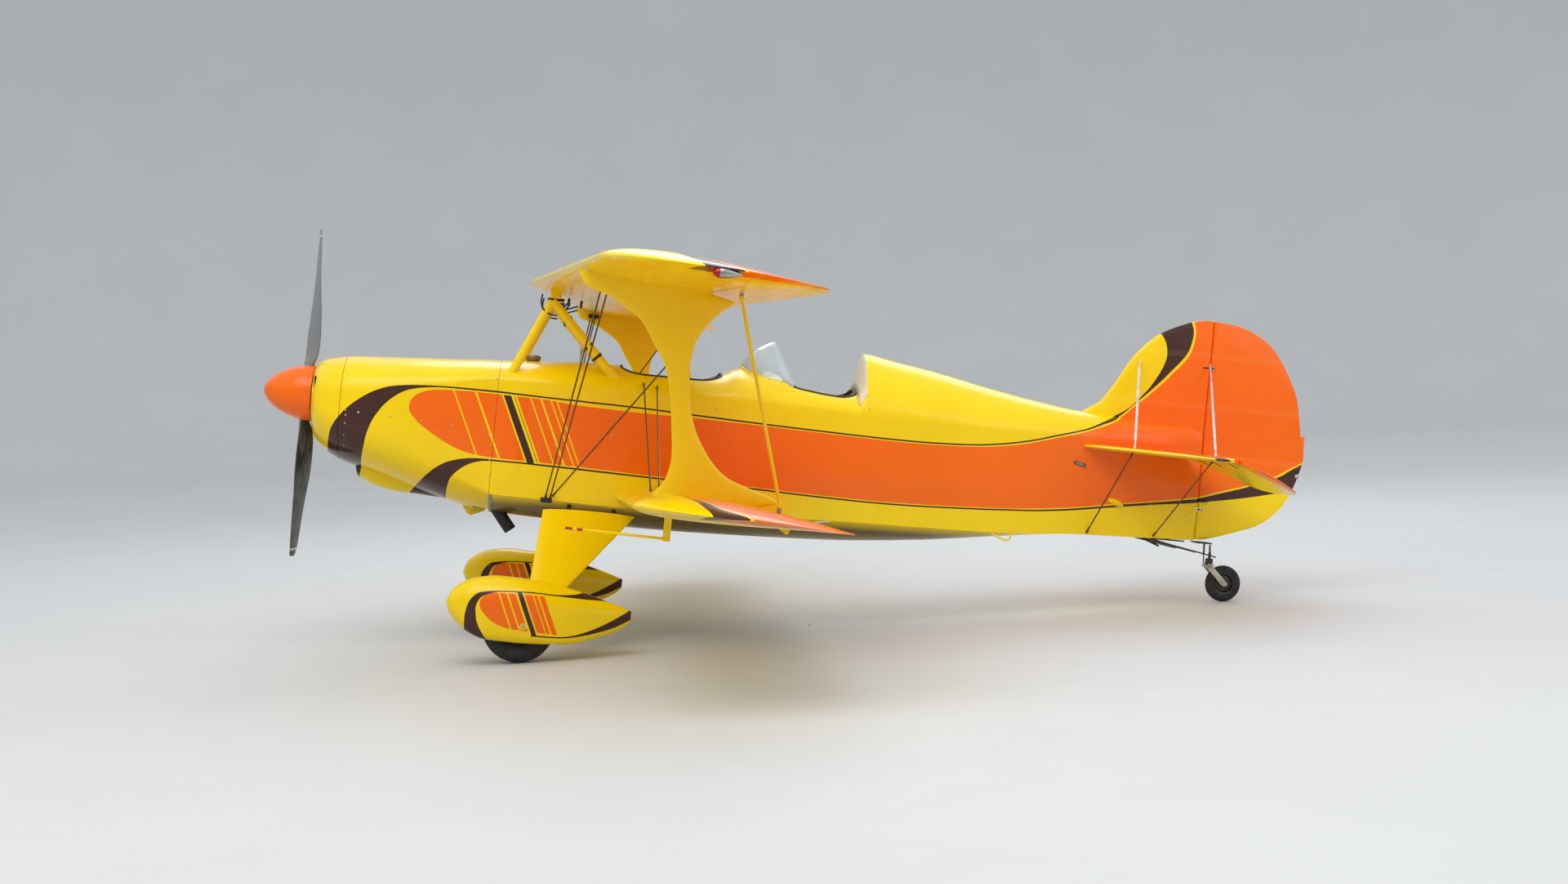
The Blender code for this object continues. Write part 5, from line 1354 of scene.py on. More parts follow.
FIN_CLOTH = paint("fin_livery", YELLOW, BODY_REGIONS, cloth=True, tapes="rib")
fin_z = list(np.linspace(0.16, 0.84, 56)) + [0.850, 0.859, 0.867, 0.874, 0.880, 0.885, 0.888, 0.8905]
fin = cut(skin([fin_ring(z) for z in fin_z]),
          slab((5.06, -0.03, 0.6155), (5.16, 0.03, 0.6245), 0.0))
piece("fin_skin", fin, FIN_CLOTH, stands_for=["fin"], fields=fin_fields(fin[0]))


def rudder_ring(z):
    """Rudder section: round nose about the hinge, tapering to the trailing edge."""
    back = float(RUDDER_EDGE(z))
    reach = back - RUDDER_HINGE_X
    a = np.radians(np.linspace(90, 270, 13))
    nose = np.stack([RUDDER_NOSE_R * np.cos(a), RUDDER_NOSE_R * np.sin(a)], 1)
    t = np.concatenate([np.linspace(0.06, 0.985, 26), [1.0]])
    w = np.interp(t, (0.0, 0.5, 0.9, 1.0), (RUDDER_NOSE_R, 0.013, 0.006, 0.0022))
    skin_side = np.stack([reach * t, -w], 1)
    ring = np.concatenate([nose, skin_side, (skin_side * (1, -1))[::-1]])
    return np.column_stack([RUDDER_HINGE_X + ring[:, 0], ring[:, 1], np.full(len(ring), z)])


rudder_z = [-0.372, -0.3715, -0.370, -0.367, -0.362, -0.355, -0.345, -0.33]
rudder_z += list(np.linspace(-0.31, 0.84, 84)) + [0.850, 0.859, 0.867, 0.874, 0.880, 0.885, 0.888, 0.8893]
notches = [slab((RUDDER_HINGE_X - 0.04, -0.03, z - 0.0088), (RUDDER_HINGE_X + 0.016, 0.03, z + 0.0088), 0.0)
           for z in RUDDER_HINGES_Z]
rudder = cut(skin([rudder_ring(z) for z in rudder_z]), *notches)
piece("rudder_skin", rudder, FIN_CLOTH, "rudder", ["rudder"], fields=fin_fields(rudder[0]))
pins = [rod([(RUDDER_HINGE_X, 0, z - 0.03), (RUDDER_HINGE_X, 0, z + 0.03)], 0.0035, 14)
        for z in RUDDER_HINGES_Z]
piece("rudder_pins", join(*pins), STEEL, "rudder")
tabs = [slab((RUDDER_HINGE_X - 0.060, -0.007, z - 0.0035), (RUDDER_HINGE_X + 0.008, 0.007, z + 0.0035), 0.001)
        for z in RUDDER_HINGES_Z]
piece("rudder_hinge_tabs", join(*tabs), DARK_STEEL)
piece("rudder_trim_tab", slab((5.640, -0.0022, 0.115), (5.708, 0.0022, 0.275), 0.0012), ORANGE_PAINT,
      "rudder")

# %% Tailplane and elevators
STAB_HALF = 0.0145          # half the tailplane's thickness
ELEVATOR_NOSE_R = 0.014
STAB_EDGE = smooth_table((0.0, 0.15, 0.40, 0.70, 1.00, 1.10, 1.17, 1.20),
                         (4.285, 4.348, 4.470, 4.650, 4.850, 4.905, 4.940, 4.965))
ELEVATOR_CHORD = smooth_table((0.09, 0.17, 0.30, 0.60, 0.90, 1.05, 1.14, 1.19),
                              (0.07, 0.24, 0.40, 0.43, 0.41, 0.37, 0.27, 0.13))
TAIL_OUTER = smooth_path([(4.950, 1.30), (4.925, 1.22), (4.905, 1.14), (4.8785, 1.05), (4.846, 0.97),
                          (4.736, 0.76), (4.560, 0.44), (4.390, 0.05), (4.37, 0.0)], 6)
TAIL_INNER = smooth_path([(4.975, 1.30), (4.948, 1.22), (4.922, 1.13), (4.908, 1.07), (4.875, 0.98),
                          (4.760, 0.76), (4.575, 0.44), (4.405, 0.05), (4.385, 0.0)], 6)


def tail_fields(points, upper):
    """Plan view fields of the tailplane."""
    x = points[:, 0]
    y = np.abs(points[:, 1])
    return {"band_outer": -edge_field(TAIL_OUTER, x, y), "band_inner": edge_field(TAIL_INNER, x, y),
            "wrap": np.where(upper > 0, 1.0, np.clip((y - 1.03) * 30.0, -1.0, 1.0)),
            "chordwise": (x - 4.6) / 0.6}


def stab_ring(y, side):
    """Tailplane section ahead of the elevator."""
    back = ELEVATOR_HINGE[0] - ELEVATOR_NOSE_R - HINGE_GAP
    front = min(float(STAB_EDGE(y)), back - 0.012)
    t = np.linspace(0, math.pi, 25)
    nose = front + min(back - front - 0.004, 0.11) * (1 - np.sin(t))
    x = np.linspace(back, nose[0], 18)
    low = np.stack([x, np.full(18, side * y), np.full(18, ELEVATOR_HINGE[1] - STAB_HALF)], 1)
    curve = np.stack([nose, np.full(25, side * y), ELEVATOR_HINGE[1] - STAB_HALF * np.cos(t)], 1)
    top = low.copy()
    top[:, 2] = ELEVATOR_HINGE[1] + STAB_HALF
    return np.concatenate([low[:-1], curve, top[::-1][1:]])


def elevator_ring(y, side):
    """Elevator section about its hinge line, drooped as it parks."""
    back = float(ELEVATOR_CHORD(y))
    a = np.radians(np.linspace(90, 270, 11))
    nose = np.stack([ELEVATOR_NOSE_R * np.cos(a), ELEVATOR_NOSE_R * np.sin(a)], 1)
    t = np.concatenate([np.linspace(0.06, 0.985, 18), [1.0]])
    w = np.interp(t, (0.0, 0.5, 0.9, 1.0), (ELEVATOR_NOSE_R, 0.011, 0.006, 0.0022))
    under = np.stack([back * t, -w], 1)
    ring = np.concatenate([nose, under, (under * (1, -1))[::-1]])
    c, s = math.cos(ELEVATOR_DROOP), math.sin(ELEVATOR_DROOP)
    x = ring[:, 0] * c + ring[:, 1] * s
    z = -ring[:, 0] * s + ring[:, 1] * c
    return np.column_stack([ELEVATOR_HINGE[0] + x, np.full(len(ring), side * y), ELEVATOR_HINGE[1] + z])


TAIL_CLOTH = cloth_paint("tailplane_livery", WING_REGIONS, 0.18)
for side_name, side in SIDES:
    ys = [0.01] + list(np.linspace(0.03, 1.06, 44)) + [1.08, 1.10, 1.12, 1.135, 1.148, 1.156, 1.16]
    part = skin([stab_ring(y, side) for y in ys])
    upper = np.array(([-1.0] * 29 + [1.0] * 30) * len(ys))
    piece("stabilizer_%s_skin" % side_name, part, TAIL_CLOTH, stands_for=["stabilizer_" + side_name],
          fields=tail_fields(part[0], upper))
    ys = [0.090, 0.0915, 0.095, 0.10, 0.108, 0.118, 0.13, 0.145, 0.16] + list(np.linspace(0.18, 1.06, 42))
    ys += [1.08, 1.10, 1.12, 1.14, 1.155, 1.168, 1.18, 1.188, 1.193, 1.195]
    part = skin([elevator_ring(y, side) for y in ys])
    upper = np.array(([1.0] * 6 + [-1.0] * 24 + [1.0] * 19) * len(ys))
    tube = rod([(ELEVATOR_HINGE[0], side * 0.004, ELEVATOR_HINGE[1]),
                (ELEVATOR_HINGE[0], side * 0.20, ELEVATOR_HINGE[1])], 0.009, 20)
    both = join(part, tube)
    upper = np.concatenate([upper, np.ones(len(tube[0]))])
    piece("elevator_%s_skin" % side_name, both, TAIL_CLOTH, "elevators", ["elevator_" + side_name],
          fields=tail_fields(both[0], upper))
print("tail ready")

# %% [markdown]
# ## Struts and wires
# Broad blades join the wings, round tubes hold the upper wing over the hull, and a thin strut makes each
# lower aileron follow the upper one. A blade's feet are held between the two wing skins, point by point.
# A curve with a bevel would do for a wire, but a real one is flattened in its middle and ends in a screw
# thread, a nut and a fork, so it is a rod whose radius changes along it.

# %% Interplane, cabane and slave struts
FORE = smooth_table((-0.40, -0.33, -0.30, -0.266, -0.195, -0.101, 0.046, 0.192, 0.300, 0.405, 0.502, 0.566,
                     0.605, 0.63, 0.72),
                    (1.78, 1.81, 1.835, 1.858, 1.907, 1.924, 1.910, 1.889, 1.861, 1.796, 1.731, 1.633,
                     1.560, 1.48, 1.42))
AFT = smooth_table((-0.40, -0.291, -0.266, -0.246, -0.223, -0.170, -0.068, 0.055, 0.164, 0.311, 0.404, 0.501,
                    0.561, 0.605, 0.622, 0.652, 0.72),
                   (2.349, 2.349, 2.425, 2.405, 2.330, 2.183, 2.080, 2.013, 1.984, 1.971, 1.981, 2.027,
                    2.077, 2.130, 2.148, 2.041, 2.041))


CABANE_Y = 0.30
CABANE_TOP = (1.306, 0.630)                                     # where the two legs' middles meet
CABANE_LEGS = ((1.105, 0.180, 0.0245), (1.700, 0.220, 0.0265))  # foot and radius of each


def strut_rings(side):
    """Interplane strut sections: rounded edges, flat sides, feet that follow the two wing skins."""
    heights = np.concatenate([np.linspace(-0.33, -0.20, 16), np.linspace(-0.19, 0.50, 44),
                              np.linspace(0.51, 0.70, 26)])
    rows = []
    for z in heights:
        front = float(FORE(z))
        back = float(AFT(z))
        half = 0.5 * (back - front)
        t = np.linspace(0, 2 * math.pi, 44, endpoint=False)
        c = np.cos(t)
        s = np.sin(t)
        x = 0.5 * (front + back) + half * np.sign(c) * np.abs(c)**0.8
        y = side * STRUT_Y + 0.016 * np.sign(s) * np.abs(s)**0.75
        top = UPPER.skin_z(x, STRUT_Y, 1) + 0.002
        low = LOWER.skin_z(x, STRUT_Y, 0) - 0.002
        rows.append(np.stack([x, y, np.clip(np.full(44, z), low, top)], 1))
    return rows


for side_name, side in SIDES:
    piece("interplane_strut_%s_skin" % side_name, skin(strut_rings(side)), YELLOW_PAINT,
          stands_for=["interplane_strut_" + side_name], angle=50.0)
    apex = np.array((CABANE_TOP[0], side * 0.305, CABANE_TOP[1] + 0.010))
    legs = [rod([(x, side * CABANE_Y, z), apex + (0, 0, -0.01)], radius, 32) for x, z, radius in CABANE_LEGS]
    piece("cabane_%s_tubes" % side_name, join(*legs), YELLOW_PAINT,
          stands_for=["cabane_" + side_name])
    head = [slab(apex + (-0.014, y - 0.003, -0.020), apex + (0.044, y + 0.003, 0.052), 0.002)
            for y in (-0.012, 0.012)]
    head += [rod([apex + (x, -0.019, z), apex + (x, 0.019, z)], 0.0055, 6)
             for x, z in ((0.0, 0.012), (0.036, 0.020))]
    piece("cabane_%s_head" % side_name, join(*head), YELLOW_PAINT)
    ends = []
    for wing, (reach, drop) in ((UPPER, EYE_UPPER), (LOWER, EYE_LOWER)):
        grid = hinge_frame(wing, side)
        centre = grid @ Vector((reach, side * EYE_OFFSET, drop))
        ends.append((np.array(centre), np.array(grid.to_3x3() @ Vector((0.0, EYE_HALF, 0.0)))))
    top, low = ends[0][0], ends[1][0]
    line = low - top
    parts = [rod([top + line * 0.010, top + line * 0.035, top + line * 0.045, top + line * 0.955,
                  top + line * 0.965, top + line * 0.990],
                 [0.0060, 0.0060, 0.0080, 0.0080, 0.0060, 0.0060], 18)]
    points, faces = turned([(0.0, -1.0), (0.0105, -1.0), (0.012, -0.8), (0.012, 0.8), (0.0105, 1.0),
                            (0.0, 1.0)], 24)
    parts += [placed((points * (1, 1, EYE_HALF), faces), centre, half) for centre, half in ends]
    piece("slave_strut_%s_rod" % side_name, join(*parts), YELLOW_PAINT, "slave_strut_" + side_name,
          ["aileron_slave_strut_" + side_name])
print("struts ready")

# %% Wires


def stay(start, end, size=0.0042):
    """Streamlined wire with threaded ends and fork fittings."""
    start = np.asarray(start, float)
    end = np.asarray(end, float)
    length = np.linalg.norm(end - start)
    unit = (end - start) / length
    parts = [rod([start + unit * 0.05, start + unit * 0.075, end - unit * 0.075, end - unit * 0.05],
                 [0.0026, size, size, 0.0026], 10, flat=0.42)]
    for at, way in ((start, unit), (end, -unit)):
        parts.append(rod([at + way * 0.030, at + way * 0.056], 0.0028, 8))
        parts.append(placed(turned([(0.0, 0.0), (0.0050, 0.0), (0.0056, 0.0012), (0.0056, 0.0078),
                                    (0.0050, 0.009), (0.0, 0.009)], 6), at + way * 0.040, way))
        parts.append(rod([at, at + way * 0.012, at + way * 0.034], [0.0062, 0.0068, 0.0044], 10))
    return join(*parts)


def beside(side):
    """Maker of places on one side of the aeroplane, where y counts outwards."""
    return lambda x, y, z: (x, side * y, z)


WIRE = metal("stay_wire", (0.15, 0.11, 0.08), 0.28, 0.45)
BRIGHT_WIRE = metal("bright_wire", (0.86, 0.86, 0.85), 0.30, 0.5)
for side_name, side in SIDES:
    at = beside(side)
    front_a = stay(at(1.366, 0.365, -0.440), at(1.545, 2.46, 0.655))
    front_b = stay(at(1.392, 0.365, -0.440), at(1.576, 2.46, 0.655))
    piece("flying_wires_%s" % side_name, join(front_a, front_b), WIRE,
          stands_for=["flying_wire_front_" + side_name])
    rear = stay(at(1.405, 0.365, -0.432), at(2.105, 2.30, 0.634))
    piece("rear_flying_wire_%s" % side_name, rear, WIRE)
    land_a = stay(at(1.844, 0.345, 0.225), at(1.848, 2.42, -0.262))
    land_b = stay(at(1.918, 0.345, 0.215), at(1.885, 2.42, -0.248))
    piece("landing_wires_%s" % side_name, join(land_a, land_b), WIRE,
          stands_for=["landing_wire_" + side_name])
    upper_a = stay(at(4.685, 0.019, 0.625), at(4.578, 0.50, 0.122), size=0.0075)
    upper_b = stay(at(5.100, 0.021, 0.640), at(4.955, 0.78, 0.122), size=0.0075)
    piece("tail_upper_stays_%s" % side_name, join(upper_a, upper_b), BRIGHT_WIRE,
          stands_for=["tail_brace_" + side_name])
    lower_a = stay(at(4.568, 0.50, 0.094), at(4.436, 0.145, -0.385))
    lower_b = stay(at(4.940, 0.78, 0.094), at(4.846, 0.075, -0.372))
    piece("tail_lower_stays_%s" % side_name, join(lower_a, lower_b), WIRE)
print("wires ready")

# %% [markdown]
# ## Undercarriage: legs, wheel fairings, wheels and tyres
# A fairing is a moulded shell round its wheel, an oval above and nearly square below, with a round well
# cut into it. A leg is one streamlined blade from the hull's corner, trimmed by both with Booleans. Tyre
# and rim are turned outlines, as a lathe or a mould would give them, and the grooves are steps in theirs.

# %% Livery of the wheel fairings
PANT_TOP = smooth_table((0.907, 0.925, 0.96, 1.05, 1.182, 1.35, 1.55, 1.75, 1.867),
                        (-0.997, -0.945, -0.905, -0.858, -0.839, -0.846, -0.878, -0.930, -0.967))
PANT_LOW = smooth_table((0.907, 0.925, 0.96, 1.03, 1.13, 1.30, 1.525, 1.70, 1.833, 1.867),
                        (-0.997, -1.046, -1.087, -1.138, -1.168, -1.173, -1.164, -1.120, -1.055, -1.020))
PANT_HALF = smooth_table((0.907, 0.925, 0.96, 1.03, 1.13, 1.30, 1.50, 1.70, 1.867),
                         (0.012, 0.052, 0.082, 0.112, 0.130, 0.135, 0.112, 0.062, 0.012))
PANT_OUTER = smooth_path([(1.04, -1.25), (1.020, -1.15), (1.013, -1.088), (1.014, -1.030), (1.028, -0.977),
                          (1.051, -0.943), (1.087, -0.920), (1.188, -0.905), (1.342, -0.900), (1.471, -0.905),
                          (1.560, -0.900), (1.620, -0.890), (1.700, -0.892), (1.760, -0.905), (1.815, -0.925)],
                         5)
PANT_INNER = smooth_path([(1.21, -1.25), (1.165, -1.200), (1.128, -1.156), (1.091, -1.101), (1.066, -1.039),
                          (1.068, -0.987), (1.090, -0.946), (1.130, -0.925), (1.189, -0.911), (1.343, -0.906),
                          (1.472, -0.912), (1.614, -0.920), (1.700, -0.923), (1.815, -0.930)], 5)
PANT_ORANGE = smooth_path([(1.560, -1.112), (1.490, -1.110), (1.348, -1.103), (1.231, -1.094), (1.151, -1.064),
                           (1.103, -1.023), (1.083, -0.979), (1.101, -0.940), (1.135, -0.922), (1.176, -0.916),
                           (1.290, -0.914), (1.407, -0.917), (1.50, -0.922)], 5)
PANT_LOW_TOP = smooth_path([(1.30, -1.118), (1.381, -1.119), (1.517, -1.119), (1.618, -1.096), (1.742, -1.038),
                            (1.858, -0.963), (1.90, -0.93)], 4)
PANT_LOW_END = smooth_path([(1.30, -1.127), (1.381, -1.127), (1.517, -1.127), (1.618, -1.110), (1.700, -1.088),
                            (1.790, -1.055), (1.860, -1.015), (1.90, -0.99)], 4)
PANT_STRIPES = [(0.9, ORANGE), (1.208, YELLOW), (1.216, ORANGE), (1.252, YELLOW), (1.260, ORANGE),
                (1.298, YELLOW), (1.311, BROWN), (1.336, YELLOW), (1.345, ORANGE), (1.384, YELLOW),
                (1.391, ORANGE), (1.411, YELLOW), (1.418, ORANGE), (1.445, YELLOW)]


def pant_fields(points):
    """Side view fields of a wheel fairing."""
    x = points[:, 0]
    z = points[:, 2]
    outer = edge_field(PANT_OUTER, x, z)
    return {"top_outer": np.where(x > 1.83, -1.0, outer), "top_inner": -edge_field(PANT_INNER, x, z),
            "orange": edge_field(PANT_ORANGE, x, z), "slant": x + 0.43 * (z + 1.0),
            "low_outer": edge_field(PANT_LOW_TOP, x, z), "low_inner": -edge_field(PANT_LOW_END, x, z),
            "aft": x, "bar_room": np.minimum(outer, -edge_field(PANT_LOW_TOP, x, z))}


PANT_PAINT = paint("fairing_livery", YELLOW, [
    (lambda look: banded(look, look.field("slant"), 0.9, 1.6, PANT_STRIPES), [("orange", 0.0, None)]),
    (BROWN, [("top_outer", 0.0, None), ("top_inner", 0.0, None)]),
    (BROWN, [("low_outer", 0.0, None), ("low_inner", 0.0, None), ("aft", 1.36, None)]),
    (BROWN, [("bar_room", 0.0, None), ("slant", 1.311, 1.336)]),
])

# %% Fairings, legs and wheels


def pant_ring(x, side, grow=0.0, count=72):
    """Wheel fairing section: an oval above, nearly square below."""
    top = float(PANT_TOP(x)) + grow
    low = float(PANT_LOW(x)) - grow
    half = float(PANT_HALF(x)) + grow
    a = np.linspace(0, 2 * math.pi, count, endpoint=False)
    c = np.cos(a)
    s = np.sin(a)
    boxy = 3.6 * max(0.0, min(1.0, (x - 0.95) / 0.14, (1.80 - x) / 0.25))
    power = 2.0 / np.where(s < 0, 2.4 + boxy, 2.4)
    return np.stack([np.full(count, x), side * TRACK_HALF + half * np.sign(c) * np.abs(c)**power,
                     0.5 * (top + low) + 0.5 * (top - low) * np.sign(s) * np.abs(s)**power], 1)


def leg_ring(t, side):
    """Leg fairing section: streamlined, from just below the body's corner to the wheel fairing."""
    a = np.linspace(0, 2 * math.pi, 48, endpoint=False)
    m = 0.5 + 0.5 * np.cos(a)
    t = t + (0.153 - 0.103 * m) * (1.12 - t) / 1.12
    front = np.stack([1.365 - 0.039 * t, 0.315 + 0.585 * t, -0.445 - 0.425 * t], 1)
    back = np.stack([1.880 - 0.365 * t, 0.315 + 0.585 * t, -0.490 - 0.395 * t], 1)
    ring = front + (back - front) * m[:, None]
    off = 0.017 * np.sin(a) * np.where(m > 0.3, 1.0 - 0.25 * (m - 0.3), 1.0)
    return np.stack([ring[:, 0], side * (ring[:, 1] + off * 0.588), ring[:, 2] + off * 0.809], 1)


xs = [0.907, 0.9085, 0.911, 0.915, 0.920, 0.927, 0.936, 0.947, 0.960, 0.975]
xs += list(np.linspace(0.99, 1.80, 62)) + [1.812, 1.824, 1.835, 1.845, 1.853, 1.860, 1.865, 1.867]
body_solid = skin([body_ring(x, 0.0003, (10, 8, 12)) for x in np.linspace(1.2, 2.1, 12)])
for side_name, side in SIDES:
    hub = (WHEEL_X, side * TRACK_HALF, WHEEL_Z)
    well = placed(drum(TYRE_R + 0.022, -0.088, 0.088, 72), hub, (0, 1, 0))
    pant = cut(skin([pant_ring(x, side) for x in xs]), well)
    piece("wheel_fairing_%s" % side_name, pant, PANT_PAINT, stands_for=["wheel_pant_" + side_name],
          fields=pant_fields(pant[0]), angle=30.0)
    pant_solid = skin([pant_ring(x, side, 0.0003, 36) for x in xs[::3]])
    leg = cut(skin([leg_ring(t, side) for t in np.linspace(0.0, 1.12, 25)]), body_solid, pant_solid)
    piece("gear_leg_%s_fairing" % side_name, leg, YELLOW_PAINT, stands_for=["gear_leg_" + side_name],
          angle=50.0)
    axle = turned([(0.0, -0.0877), (0.015, -0.0877), (0.016, -0.0867), (0.016, 0.0867), (0.015, 0.0877),
                   (0.0, 0.0877)], 32)
    piece("axle_%s_bar" % side_name, placed(axle, hub, (0, 1, 0)), STEEL,
          stands_for=["axle_" + side_name])
    w = TYRE_W / 2
    half = [(0.090, w * 0.78), (0.096, w * 0.86), (0.104, w * 0.92), (0.115, w * 0.97), (0.130, w * 0.995),
            (0.145, w), (0.158, w * 0.95), (0.166, w * 0.89), (0.1665, w * 0.865), (0.172, w * 0.82),
            (0.178, w * 0.72), (0.182, w * 0.60)]
    for groove in (0.50, 0.30, 0.10):
        r = 0.1895 - 0.0075 * (groove / 0.6)**2
        half += [(r, w * (groove + 0.055)), (r - 0.004, w * (groove + 0.045)), (r - 0.004, w * groove),
                 (r, w * (groove - 0.012))]
    half = [p for p in half if p[1] > 0.001] + [(TYRE_R, 0.0)]
    profile = half + [(r, -h) for r, h in half[-2::-1]]
    body = "main_wheel_" + side_name
    tread = turned(profile, 96, closed=True)
    piece("tyre_%s_tread" % side_name, placed(tread, hub, (0, 1, 0)), RUBBER, body,
          ["tyre_" + side_name], angle=40.0)
    rim = [(0.0165, 0.052), (0.034, 0.052), (0.036, 0.050), (0.038, 0.034), (0.044, 0.026), (0.060, 0.022),
           (0.072, 0.024), (0.078, 0.034), (0.0865, 0.0425), (0.0885, 0.050), (0.0897, w * 0.78)]
    hubcap = placed(turned(rim + [(r, -h) for r, h in rim[::-1]], 72, closed=True), hub, (0, 1, 0))
    bolt = turned([(0.0, 0.0), (0.0052, 0.0), (0.0055, 0.0008), (0.0055, 0.0045), (0.0045, 0.0055),
                   (0.0, 0.0055)], 6)
    bolts = [placed(bolt, (WHEEL_X + 0.053 * math.cos(a), side * TRACK_HALF + way * 0.0225,
                           WHEEL_Z + 0.053 * math.sin(a)), (0, way, 0))
             for a in (k * math.pi / 3 for k in range(6)) for way in (-1, 1)]
    piece("wheel_%s_rim" % side_name, join(hubcap, *bolts), ALLOY, body, ["wheel_" + side_name],
          angle=40.0)
print("undercarriage ready")

# %% [markdown]
# ## Screws, plates and small fittings on the hull
# Each lies on the hull's side: its place comes from the half width there, its direction from the slopes.
# Geometry Nodes could scatter hundreds of screws, but these few stand where the panels are held.

# %% Screw heads, vent plates, hand loops and rudder cables
DOME = [(0.0, -0.4), (1.0, -0.4), (1.0, 0.10), (0.72, 0.34), (0.38, 0.46), (0.0, 0.5)]


def screws(places, radius):
    """Domed heads on both sides of the hull."""
    made = []
    for side in (-1, 1):
        for x, z in places:
            at, out = on_side(x, z, side)
            made.append(placed(turned([(r * radius, h * radius) for r, h in DOME], 12), at, out))
    return join(*made)


def side_turn(x, z, side, tilt):
    """Place on the hull with a frame: along the tilted line, across it, and outward."""
    at, out = on_side(x, z, side)
    along = np.array((math.cos(tilt), 0.0, math.sin(tilt)))
    along -= out * along.dot(out)
    along /= np.linalg.norm(along)
    return at, np.stack([along, np.cross(out, along), out], 1)


COWL_SCREWS = [(0.251, -0.069), (0.254, -0.095), (0.253, -0.140), (0.251, -0.203), (0.252, -0.262),
               (0.495, -0.078), (0.664, -0.088), (0.830, -0.100), (1.000, -0.110), (1.046, -0.189),
               (1.047, -0.357), (1.046, -0.271), (1.046, 0.176), (1.046, 0.013)]
HULL_SCREWS = [(1.698, 0.008), (1.696, -0.072), (1.696, -0.160), (1.691, -0.250), (2.326, 0.026),
               (2.355, -0.066), (2.385, -0.150), (2.408, -0.236), (3.102, 0.203), (2.123, 0.230),
               (2.257, 0.124), (3.148, 0.432)]
TAIL_SCREWS = [(4.492, 0.051), (4.466, 0.008), (4.566, 0.057), (4.546, -0.041), (4.639, -0.092),
               (4.723, -0.140), (4.960, 0.053), (5.034, 0.037), (4.973, -0.073), (4.805, -0.192),
               (4.868, 0.130), (4.377, 0.163), (4.391, 0.141), (5.060, -0.218), (5.060, -0.266),
               (5.060, -0.357)]
BOWL_SCREWS = [(0.090, 0.0), (0.138, 0.0), (0.198, 0.0)]
piece("cowl_screws", screws(COWL_SCREWS, 0.0048), STEEL)
piece("cowl_latches", screws([(0.322, -0.074)], 0.0068), STEEL)
piece("bowl_screws", screws(BOWL_SCREWS, 0.0042), YELLOW_PAINT)
piece("hull_screws", screws(HULL_SCREWS, 0.0042), STEEL)
piece("tail_screws", screws(TAIL_SCREWS, 0.0040), STEEL)
plates, grilles, blisters, loops, cables = [], [], [], [], []
for side in (-1, 1):
    at, turn = side_turn(4.3525, 0.0035, side, -0.217)
    plates.append(placed(slab((-0.036, -0.010, -0.002), (0.036, 0.010, 0.0022), 0.0015), at, turn=turn))
    for x in np.linspace(-0.024, 0.024, 5):
        bar = slab((x - 0.0035, -0.0062, 0.001), (x + 0.0035, 0.0062, 0.0034), 0.0006)
        grilles.append(placed(bar, at, turn=turn))
    at, turn = side_turn(4.592, -0.198, side, -0.31)
    swell = turned([(math.sin(a), -math.cos(a)) for a in np.linspace(0, math.pi, 17)], 28)
    blisters.append(placed((swell[0][:, [2, 0, 1]] * (0.050, 0.019, 0.017), swell[1]), at, turn=turn))
    y = side * (side_half(3.90, -0.41) - 0.006)
    loops.append(rod(smooth_path([(3.843, y, -0.415), (3.900, y, -0.442), (3.955, y, -0.461),
                                  (3.978, y, -0.455), (3.986, y, -0.432), (3.987, y, -0.404)], 5), 0.0052, 12))
    y = side_half(4.65, -0.20)
    cables.append(rod([(4.636, side * (y + 0.006), -0.2065), (4.75, side * 0.128, -0.190),
                       (4.90, side * 0.104, -0.172), (5.020, side * 0.082, -0.156)], 0.0018, 8))
    cables.append(rod([(5.000, side * 0.0855, -0.159), (5.006, side * 0.0845, -0.158),
                       (5.060, side * 0.076, -0.151), (5.072, side * 0.074, -0.150)],
                      [0.0024, 0.0048, 0.0048, 0.0024], 10))
piece("vent_plates", join(*plates), BLACK)
piece("vent_grilles", join(*grilles), ALLOY)
piece("cable_blisters", join(*blisters), YELLOW_PAINT, angle=60.0)
piece("hand_loops", join(*loops), YELLOW_PAINT)
piece("rudder_cables", join(*cables), DARK_STEEL)
print("hull fittings", len(plates) + len(blisters) + len(loops))

# %% [markdown]
# ## Rudder, tail light, elevator brackets and steering
# What sits on a moving surface rides on its body, so it turns with it. These are small things of rod, strip
# and turned caps; those of one finish are joined into one piece, which keeps the scene easy to read.

# %% Rudder horn, tail light, steering links and elevator brackets
arms = []
for side in (-1, 1):
    arms.append(skin([[(5.135, side * 0.002, z), (5.160, side * 0.002, z), (5.150, side * 0.062, z),
                       (5.134, side * 0.062, z)] for z in (-0.151, -0.1465, -0.142)]))
    arms.append(placed(drum(0.005, -0.006, 0.006, 10), (5.141, side * 0.056, -0.1465)))
    arms.append(slab((5.107, min(side * 0.004, side * 0.062), -0.3920),
                     (5.202, max(side * 0.004, side * 0.062), -0.3845), 0.002))
piece("rudder_horn", join(*arms), DARK_STEEL, "rudder")
light = turned([(0.0, 0.020), (0.0065, 0.0185), (0.0110, 0.013), (0.0135, 0.005), (0.014, -0.004),
                (0.0, -0.004)], 24)
piece("tail_light_lens", placed(light, (5.694, 0.0, 0.043), (1, 0, 0)), LENS_WHITE, "rudder")
base_cup = turned([(0.0, -0.022), (0.010, -0.020), (0.0148, -0.010), (0.0152, 0.001), (0.0146, 0.002),
                   (0.0, 0.002)], 24)
piece("tail_light_base", placed(base_cup, (5.690, 0.0, 0.043), (1, 0, 0)), ALLOY, "rudder")
